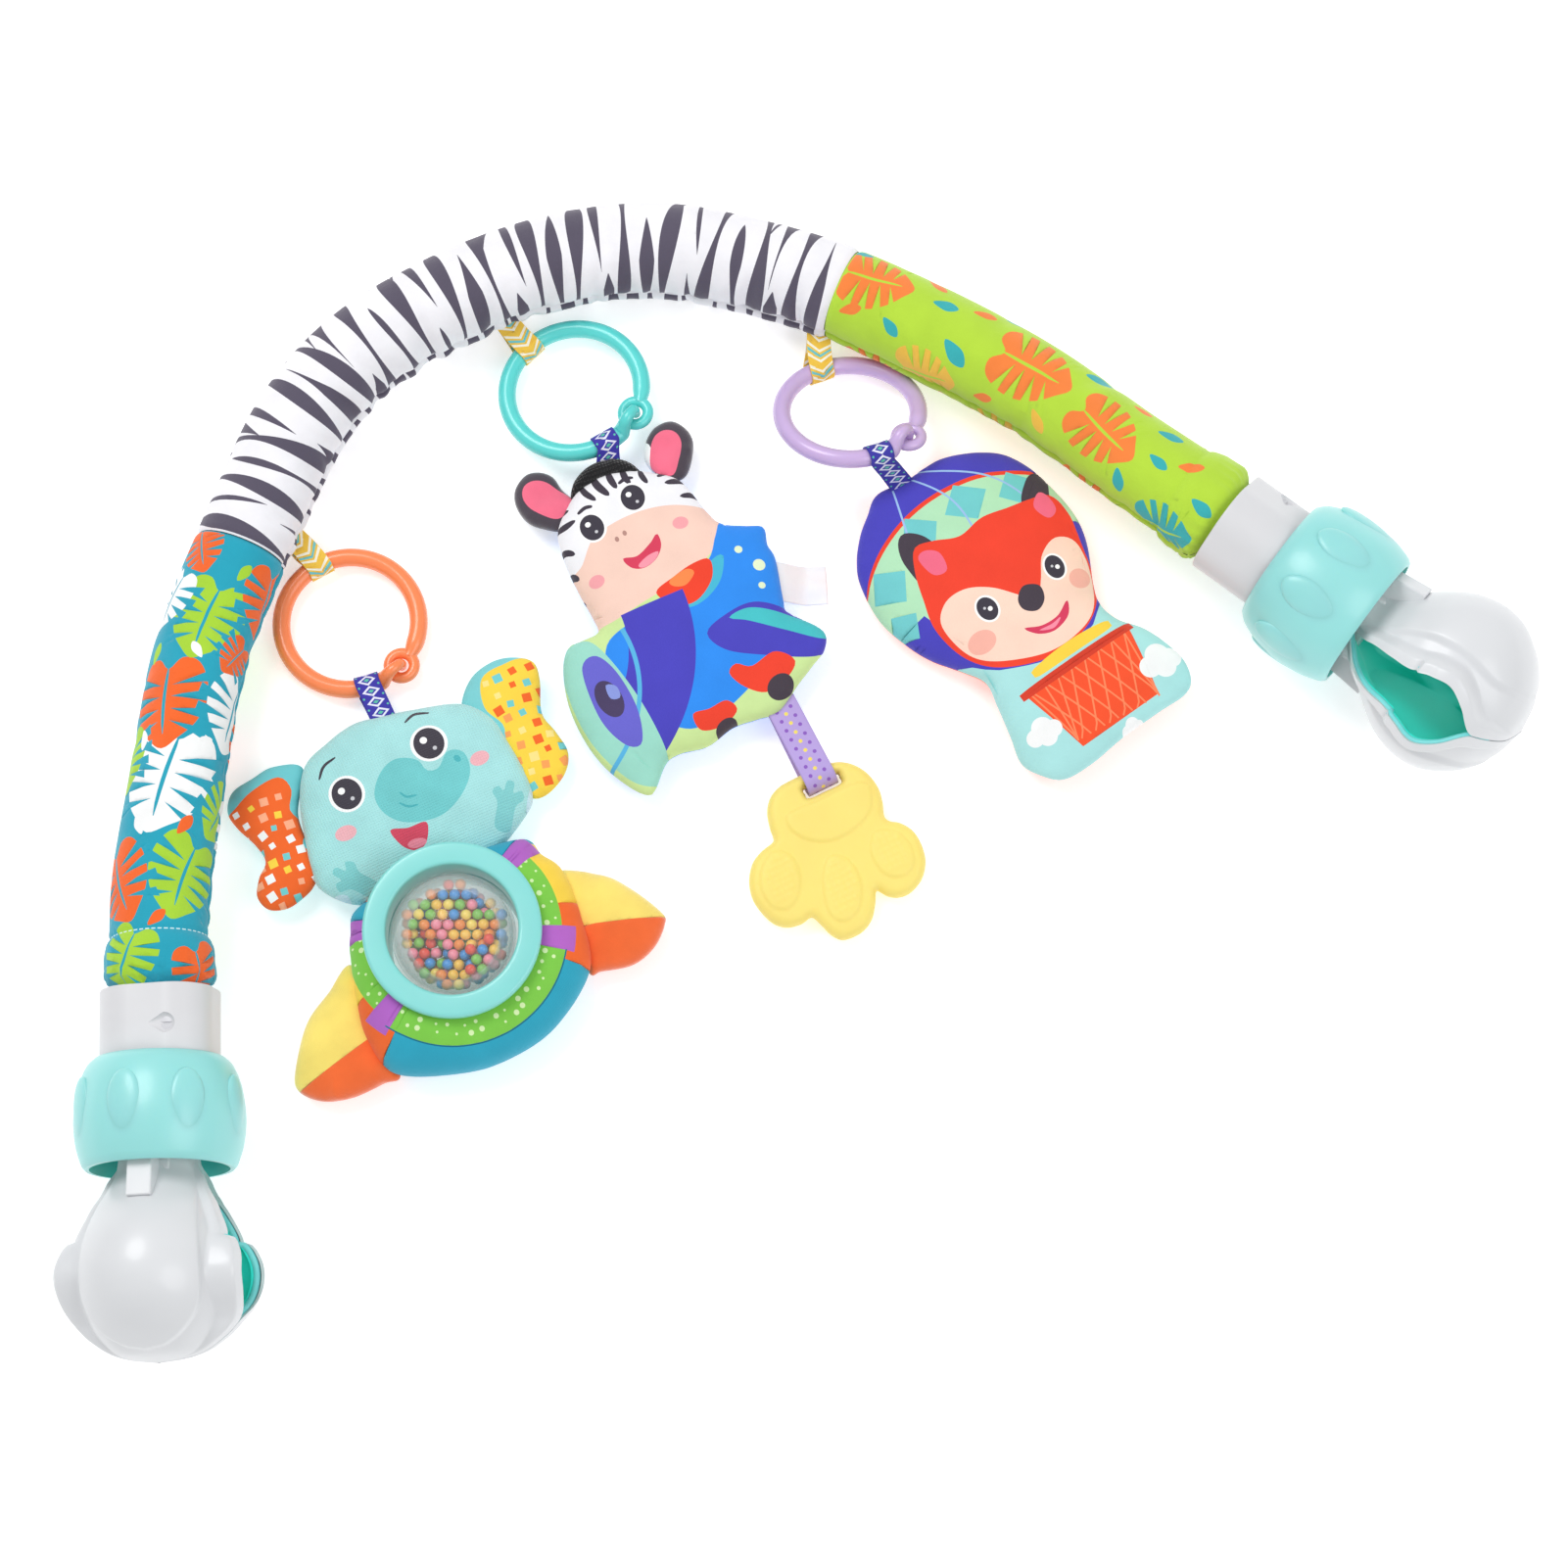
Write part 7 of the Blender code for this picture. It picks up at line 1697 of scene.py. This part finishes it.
def make_ribbons():
    for colour, (sewn_at, way) in ARCH_LOOPS.items():
        wire, sewn_at = JOINT["swing_" + colour], Vector(sewn_at)
        root = sewn_at - (wire - sewn_at).normalized() * 0.0022
        make_ribbon("arch_ribbon_" + colour, "arch_loop_" + colour, "arch", root, way,
            wire, wire_across(colour, wire), chevron_print)
    for toy, (colour, way, reach, turn) in TOYS.items():
        wire = JOINT["swing_" + toy]
        root = Vector((*hang_point(toy), 0.012)) + heading(way) * 0.0024
        make_ribbon(toy + "_ribbon", toy + "_loop", toy, root, heading(turn), wire,
            wire_across(colour, wire), diamond_print)
    tab = Vector((*(PLANS["zebra"].flat([(32.5, -124.5)])[0]), 0.012))
    across = heading(TEETHER_WAY + 90.0)
    make_ribbon("teether_ribbon", "teether_tab", "zebra", tab - heading(TEETHER_WAY)
        * 0.002, across, JOINT["swing_teether"], across, dot_print, width=0.0134,
        wire_radius=0.0052)


def wire_across(colour, wire):
    """The way along the link's wire at a place on it, which is across the ribbon there."""
    normal = link_tilt(colour) @ Vector((0, 0, 1))
    return normal.cross(wire - Vector(LINK_ROWS[colour][0])).normalized()


def make_tag():
    """The bare white satin tag: one cut sheet that droops from the zebra's sewn edge."""
    root = PLANS["zebra"].flat([(48.0, -73.0)])[0]
    way, across = heading(3.0), heading(93.0)
    free, sewn, wide = 0.0225, 0.0025, 0.017
    high, low = 0.012, 0.003
    rows, columns = 36, 26
    points, faces, uv = [], [], []
    for i in range(rows + 1):
        run = -sewn + (free + sewn) * i / rows
        share = max(0.0, run) / free
        drop = high + (low - high) * smooth_share(share * 1.5)
        for j in range(columns + 1):
            v = j / columns - 0.5
            wave = 0.0007 * math.sin(v * 5.5 + 3.5 * share) * share + 0.0005 * math.cos(v * 9.0) * share
            points.append(tuple(Vector((root[0], root[1], drop + wave)) + way * run + across * wide * v))
            uv.append((run, wide * v))
    for i in range(rows):
        for j in range(columns):
            a = i * (columns + 1) + j
            faces.append((a, a + 1, a + columns + 2, a + columns + 1))
    colours = np.tile(np.array(paint("F7F7F8")), (len(faces), 1))
    tag = make_mesh("satin_tag", points, faces, colours, uv, 60.0)
    apply_step(tag, "SOLIDIFY", thickness=0.0004, offset=0.0)
    wear(tag, CLOTHS["satin"])
    settle(tag, "zebra", "side_tag")


# Rattle.

BALL = (-0.14638, -0.07122, 0.0263)
BALL_ROOM, BEAD_RADIUS = 0.0243, 0.00235


def make_rattle():
    """The bezel's two rings, the clear ball's two halves and its beads."""
    x, y, z = BALL
    front = [(0.0366, z + 0.0066), (0.0366, z + 0.0118), (0.027, z + 0.0118), (0.027, z - 0.0048),
        (0.0304, z - 0.0048), (0.0304, z + 0.0066)]
    back = [(0.0338, 0.0007), (0.0338, 0.0035), (0.0304, 0.0035), (0.0304, z - 0.0053),
        (0.027, z - 0.0053), (0.027, 0.0007)]
    for side, profile, segments in (("front", rounded(front, 0.0018, 6), 128),
            ("back", rounded(back, 0.0008, 4), 96)):
        ring = turned("bezel_%s_ring" % side, profile, segments)
        ring.data.transform(Matrix.Translation((x, y, 0.0)))
        hard(ring, "elephant", "bezel_plastic", "bezel_" + side)
    for half, side in (("front", 1.0), ("back", -1.0)):
        outer = [(0.0256 * math.cos(a), side * 0.0256 * math.sin(a))
            for a in np.radians(np.linspace(0.6, 89.0, 40))]
        inner = [(0.0244 * math.cos(a), side * 0.0244 * math.sin(a))
            for a in np.radians(np.linspace(88.9, 0.6, 40))]
        shell = turned("ball_shell_" + half, outer + inner, 96)
        shell.data.transform(Matrix.Translation(BALL))
        hard(shell, "rattle_ball", "clear_plastic", "ball_" + half)
    make_beads()


def make_beads():
    """The settled heap: close-packed beads of mixed colours, each a little off its place."""
    shuffle = random.Random(5)
    step = BEAD_RADIUS * 2.06
    spots = []
    for k in range(-12, 13):
        for j in range(-12, 13):
            for i in range(-12, 13):
                p = Vector((i * step + (j % 2) * step / 2 + (k % 2) * step / 2, j * step * 0.866 + (k % 2)
                    * step * 0.289, k * step * 0.816))
                heap_top = 0.0005 + 0.0035 * math.sin(p.x * 110.0) * math.cos(p.y * 90.0 + 1.0) + 0.0012
                if p.length < BALL_ROOM - BEAD_RADIUS and p.z < heap_top:
                    spots.append(p
                        + Vector([shuffle.uniform(-1, 1) * BEAD_RADIUS * 0.05 for _ in range(3)]))
    # Only the beads that can be seen are made: those near the shell and those at the top of the heap.
    spots = [p for p in spots if p.length > BALL_ROOM - BEAD_RADIUS * 3.4 or p.z > -0.0062]
    colours = [paint(c) for c in ("F5C23C", "E9462F", "7CC24A", "2F8FD8", "F28AA0", "F08A2C", "F6D75A")]
    bpy.ops.mesh.primitive_ico_sphere_add(subdivisions=2, radius=BEAD_RADIUS)
    seed = bpy.context.object
    shape = np.array([tuple(v.co) for v in seed.data.vertices])
    skin = [tuple(p.vertices) for p in seed.data.polygons]
    bpy.data.objects.remove(seed)
    points, faces, paints = [], [], []
    for p in spots:
        base = len(points)
        points.extend((shape + np.array(tuple(p))).tolist())
        faces.extend(tuple(base + i for i in f) for f in skin)
        paints.extend([shuffle.choice(colours)] * len(skin))
    beads = make_mesh("coloured_beads", points, faces, paints, smooth_angle=80.0)
    beads.data.transform(Matrix.Translation(BALL))
    wear(beads, bead_finish())
    settle(beads, "rattle_ball", "rattle_beads")


def bead_finish():
    material, tree, shader = blank_material("bead_moulding_colours", Roughness=0.22)
    colours = node(tree, "ShaderNodeVertexColor", layer_name="print")
    tree.links.new(colours.outputs["Color"], shader.inputs["Base Color"])
    return material


# Teether and the arch's filling.

TEETHER_HALF = 4.5
TEETHER_LEVEL = 0.0078
DOT_STEP = 2.7


def make_teether():
    """Silicone paw: a slab with round edges, three raised toes with dots, a raised palm and a ribbon slot."""
    outline = curve_through([(3.3, 8.1), (10.5, 6.5), (15.8, 2.6), (19.4, -3.4), (20.7, -10.7),
        (19.6, -16.9), (17.6, -22.6), (18.6, -25.6), (22.2, -28.3), (25.4, -33.4), (26.1, -40.0),
        (24.4, -47.5), (19.7, -53.5), (13.3, -56.6), (7.8, -56.4), (3.7, -53.9), (1.2, -50.2), (0.0, -50.3),
        (-2.7, -55.1), (-7.1, -60.3), (-13.3, -63.0), (-21.0, -62.4), (-24.7, -58.3), (-26.3, -53.4),
        (-27.9, -48.9), (-29.4, -48.0), (-33.6, -48.8), (-39.6, -47.5), (-44.0, -43.5), (-46.5, -36.9),
        (-47.2, -30.0), (-45.1, -22.8), (-40.7, -16.9), (-35.4, -14.0), (-29.6, -12.6), (-28.2, -11.0),
        (-27.6, -6.4), (-25.7, 0.0), (-22.0, 5.0), (-16.7, 7.6), (-10.3, 8.2), (-3.9, 8.2)], 300)
    slot = counterclockwise(curve_through([(-7.4, -2.1), (-8.0, 0.2), (-7.5, 2.2), (0, 2.4), (7.5, 2.2),
        (8.0, 0.2), (7.4, -2.1), (0, -2.3)], 60))
    toes = [curve_through(line, 60)
        for line in ([(-26.9, -18.5), (-24.2, -23.2), (-24.9, -31.1), (-29.2, -38.5), (-36.2, -41.9),
        (-42.0, -38.2), (-43.3, -30.3), (-40.7, -23.3), (-35.4, -18.0), (-30.7, -16.6)],
        [(-8.8, -28.8), (-4.5, -32.8), (-3.0, -40.1), (-4.6, -47.5), (-9.0, -54.2), (-15.2, -57.1),
        (-20.1, -55.4), (-22.2, -50.4), (-20.7, -42.1), (-17.5, -34.6), (-13.0, -29.3)],
        [(15.3, -28.6), (19.5, -32.0), (21.6, -37.9), (20.8, -44.9), (17.5, -49.2), (11.9, -50.2),
        (6.8, -47.5), (4.4, -41.9), (4.6, -34.5), (7.8, -29.0), (11.2, -27.3)])]
    toes.append(curve_through([(-19.4, -5.0), (-13.4, -4.4), (-6.0, -5.0), (4.0, -4.8), (12.4, -5.0),
        (17.2, -7.6), (17.2, -12.4), (13.7, -18.6), (8.0, -22.2), (-0.8, -24.2), (-8.6, -23.6),
        (-15.6, -19.8), (-20.1, -14.2), (-21.3, -8.6)], 80))
    flat, faces, _ = cut_panel(outline, [(WHITE, shape) for shape in toes], WHITE, 0.95,
        rims=(0.2, 0.6, 1.2, 2.0, 3.0), holes=[slot])
    outline = counterclockwise(outline)
    gap, _ = edge_distance(flat, outline)
    hole_gap, _ = edge_distance(flat, slot)
    near = np.minimum(gap, hole_gap * 1.15)
    round_off = np.sqrt(np.clip(1 - (1 - np.clip(near / 3.6, 0, 1)) ** 2, 0, 1))
    top = TEETHER_HALF * round_off
    for toe in toes:
        far, _ = edge_distance(flat, toe)
        within = inside(flat, toe)
        rise = np.where(within, np.clip(far / 1.5, 0, 1), 0.0)
        top += 1.0 * rise * rise * (3 - 2 * rise)
    for toe in toes[:3]:
        field = shrunk(counterclockwise(toe), 2.6)
        (left, near), (right, far) = field.min(axis=0), field.max(axis=0)
        for x in np.arange(left, right, DOT_STEP):
            for y in np.arange(near, far, DOT_STEP):
                spot = np.array((x, y))
                if inside(spot[None, :], field)[0]:
                    top += 0.6 * np.exp(-(np.linalg.norm(flat - spot, axis=1) / 0.8) ** 2)
    count = len(flat)
    plan = placed(flat - np.array((0.0, 5.2)), 0.0, 0.0, 1.0, TEETHER_WAY + 89.0) * MM
    plan += np.array(JOINT["swing_teether"][:2])
    upper = np.column_stack([plan, TEETHER_LEVEL + top * MM])
    lower = np.column_stack([plan, TEETHER_LEVEL - TEETHER_HALF * round_off * MM])
    lower_faces = [tuple(int(i) + count for i in f[::-1]) for f in faces]
    walls = [(b, a, a + count, b + count) for a, b in open_edges(faces)]
    paw = make_mesh("teether_paw", np.vstack([upper, lower]), [tuple(f) for f in faces] + lower_faces
        + walls, smooth_angle=70.0)
    edit_mode(paw)
    bpy.ops.mesh.remove_doubles(threshold=0.00001)
    leave_edit(paw, "teether_paw", 70.0)
    hard(paw, "teether", "yellow_silicone", "teether")


FOAM_SETBACK = 0.01


def make_foam():
    """The sleeves' filling: a foam rod bored for the wire."""
    rods = []
    for name, start, radius, sides in (("arch_foam_rod", FOAM_SETBACK, 0.0166, 32),
            ("wire_bore", -FOAM_SETBACK, 0.0024, 12)):
        stops = np.linspace(start, ARCH_LENGTH - start, 150)
        rods.append(tube(name, [arch_point(s) for s in stops], [radius] * len(stops), sides))
    rod = carve(*rods)
    wear(rod, HARD["foam"])
    settle(rod, "arch", "foam_core")


# Rest of the finishes.

def metal(name, colour, rough):
    return blank_material(name, Base_Color=(*colour, 1.0), Metallic=1.0, Roughness=rough)[0]


def clear_plastic(name):
    """Thin clear moulding: see-through when faced, paler and glossier at a glance."""
    material, tree, shader = blank_material(name, Base_Color=(0.95, 0.97, 0.97, 1.0), Roughness=0.06,
        Specular_IOR_Level=1.0)
    glance = node(tree, "ShaderNodeFresnel", IOR=1.3)
    share = node(tree, "ShaderNodeMapRange", From_Min=0.0, From_Max=0.6, To_Min=0.05, To_Max=0.32)
    tree.links.new(glance.outputs["Fac"], share.inputs["Value"])
    tree.links.new(share.outputs["Result"], shader.inputs["Alpha"])
    return material


CLOTHS = {"sleeve": printed_cloth("printed_sleeve_cotton", crumple=0.0011),
    "cotton": printed_cloth("printed_toy_cotton", rough=0.85, sheen=0.15, crumple=0.0007, strength=0.28),
    "plush": printed_cloth("short_plush", period=0.0011, depth=0.0004, rough=1.0, sheen=0.6, crumple=0.0005,
    tint=0.08, strength=0.5), "velvet": printed_cloth("velvet", period=0.0007, depth=0.00015, rough=0.8,
    sheen=0.8, crumple=0.0006, tint=0.1), "black": printed_cloth("black_long_plush", period=0.0013,
    depth=0.0008, rough=0.95, sheen=0.3, tint=0.3, strength=0.8),
    "ribbon": printed_cloth("woven_ribbon", period=0.0005, depth=0.00012, rough=0.7, sheen=0.2,
    crumple=0.0003, tint=0.03), "satin": printed_cloth("white_satin", period=0.00025, depth=0.00005,
    rough=0.38, sheen=0.1, crumple=0.0006, tint=0.02)}
HARD = {"steel_wire": metal("wire_steel", (0.5, 0.5, 0.52), 0.35),
    "steel_pin": metal("pin_steel", (0.62, 0.62, 0.63), 0.25),
    "foam": moulded("arch_foam", "D9D5C4", rough=0.95, grain=0.0006, specular=0.2),
    "pale_grey_plastic": moulded("pale_grey_moulding", "D8D8DB", rough=0.36, grain=0.00003),
    "grey_gloss_plastic": moulded("grey_gloss_moulding", "DCDEE1", rough=0.34, coat=0.15),
    "aqua_rubber": moulded("aqua_rubber_moulding", "33EAD8", rough=0.6, subsurface=0.1, specular=0.3),
    "screw_plastic": moulded("screw_moulding", "CFCFD4", rough=0.35),
    "aqua_plastic": moulded("aqua_moulding", "96DEDC", rough=0.33, coat=0.1, subsurface=0.12),
    "aqua_bead": moulded("aqua_rubber_lip", "7FE0E0", rough=0.45, subsurface=0.1),
    # A darker, deeper teal copy of the ring's aqua for the inside of its mouth: painted shade.
    "aqua_painted_shade": moulded("aqua_moulding_painted_shade", "3FC9BC", rough=0.4),
    "orange_plastic": moulded("orange_moulding", "FF8A52", rough=0.25, coat=0.2, subsurface=0.1),
    "turquoise_plastic": moulded("turquoise_moulding", "5AD6D2", rough=0.25, coat=0.2, subsurface=0.1),
    "lilac_plastic": moulded("lilac_moulding", "CDB2E2", rough=0.25, coat=0.2, subsurface=0.1),
    "bezel_plastic": moulded("bezel_moulding", "86DAD6", rough=0.3, coat=0.2, subsurface=0.1),
    "clear_plastic": clear_plastic("clear_moulding"), "yellow_silicone": moulded("yellow_silicone_moulding",
    "F8E27C", rough=0.5, subsurface=0.25, specular=0.35)}
KEPT = {"arch_wire": "steel_wire", "anchor_plug": "pale_grey_plastic", "jaw_carrier": "grey_gloss_plastic",
    "pin": "steel_pin"}


def finish_cad_nodes():
    """The CAD pieces that nothing stands for keep their shape and get their slot's finish."""
    for name, cad in frame["nodes"].items():
        for start, slot in KEPT.items():
            if name.startswith(start):
                for spot in cad.material_slots:
                    spot.material = HARD[slot]


# Camera, light and floor.

def add_camera():
    eye_data = bpy.data.cameras.new("photo_camera")
    eye_data.lens = 99.97
    eye_data.sensor_width = 36.0
    eye_data.clip_start = 0.05
    eye_data.clip_end = 20.0
    camera = bpy.data.objects.new("photo_camera", eye_data)
    camera.location = (-0.01135, -0.4422, 1.7688)
    camera.rotation_euler = (math.radians(14.0), 0.0, 0.0)
    bpy.context.scene.collection.objects.link(camera)
    bpy.context.scene.camera = camera


def add_lamp(name, place, aim, size, power, colour=(1.0, 1.0, 1.0)):
    lamp_data = bpy.data.lights.new(name, "AREA")
    lamp_data.shape = "DISK"
    lamp_data.size = size
    lamp_data.energy = power
    lamp_data.color = colour
    lamp = bpy.data.objects.new(name, lamp_data)
    lamp.location = place
    lamp.rotation_euler = (Vector(aim) - Vector(place)).to_track_quat("-Z", "Y").to_euler()
    bpy.context.scene.collection.objects.link(lamp)


def add_floor():
    side, level = 6.0, -0.0004
    mesh = bpy.data.meshes.new("studio_floor")
    mesh.from_pydata([(-side, -side, level), (side, -side, level), (side, side, level),
        (-side, side, level)], [], [(0, 1, 2, 3)])
    floor = bpy.data.objects.new("studio_floor", mesh)
    bpy.context.scene.collection.objects.link(floor)
    material, _, _ = blank_material("studio_white", Base_Color=(0.9, 0.9, 0.9, 1.0), Roughness=0.9,
        Specular_IOR_Level=0.0, Emission_Color=(1.0, 1.0, 1.0, 1.0), Emission_Strength=0.42)
    mesh.materials.append(material)


def add_world():
    """Plain white where the camera, a gloss or a clear part sees it, and dimmer as light."""
    world = bpy.data.worlds.new("studio_world")
    world.use_nodes = True
    tree = world.node_tree
    link = tree.links.new
    ground = tree.nodes["Background"]
    tune(ground, {"Color": (1.0, 1.0, 1.0, 1.0), "Strength": 0.54})
    bright = node(tree, "ShaderNodeBackground", Strength=1.0)
    path = node(tree, "ShaderNodeLightPath")
    seen_by = path.outputs["Is Camera Ray"]
    for ray in ("Is Glossy Ray", "Is Transmission Ray"):
        either = node(tree, "ShaderNodeMath", operation="MAXIMUM")
        link(seen_by, either.inputs[0])
        link(path.outputs[ray], either.inputs[1])
        seen_by = either.outputs[0]
    shown = node(tree, "ShaderNodeMixShader")
    link(seen_by, shown.inputs["Fac"])
    link(ground.outputs["Background"], shown.inputs[1])
    link(bright.outputs["Background"], shown.inputs[2])
    link(shown.outputs["Shader"], tree.nodes["World Output"].inputs["Surface"])
    bpy.context.scene.world = world


# All of it.

JOINT = {row["name"]: Vector(row["pos_m"]) for row in frame["joints"] if "pos_m" in row}


def hang_point(toy):
    """Where the toy's own grid starts: a little way from its joint."""
    _, way, reach, _ = TOYS[toy]
    place, turn = JOINT["swing_" + toy], math.radians(way)
    return (place.x + math.cos(turn) * reach, place.y + math.sin(turn) * reach)


PLANS = {toy: Ground(hang_point(toy), row[3]) for toy, row in TOYS.items()}

make_elephant(PLANS["elephant"])
make_zebra(PLANS["zebra"])
make_fox(PLANS["fox"])
make_sleeves()
make_foam()
make_clamps()
for colour, slot in (("orange", "orange_plastic"), ("aqua", "turquoise_plastic"),
        ("lilac", "lilac_plastic")):
    make_link_ring(colour, slot)
make_ribbons()
make_tag()
make_rattle()
make_teether()
finish_cad_nodes()

bpy.context.scene.view_settings.view_transform = "Standard"
add_camera()
add_lamp("key_softbox", (-0.9, 0.9, 1.9), (0.0, 0.0, 0.0), 1.2, 23.0)
add_lamp("fill_softbox", (1.1, -0.6, 1.6), (0.0, 0.0, 0.0), 1.4, 11.5)
add_world()
add_floor()
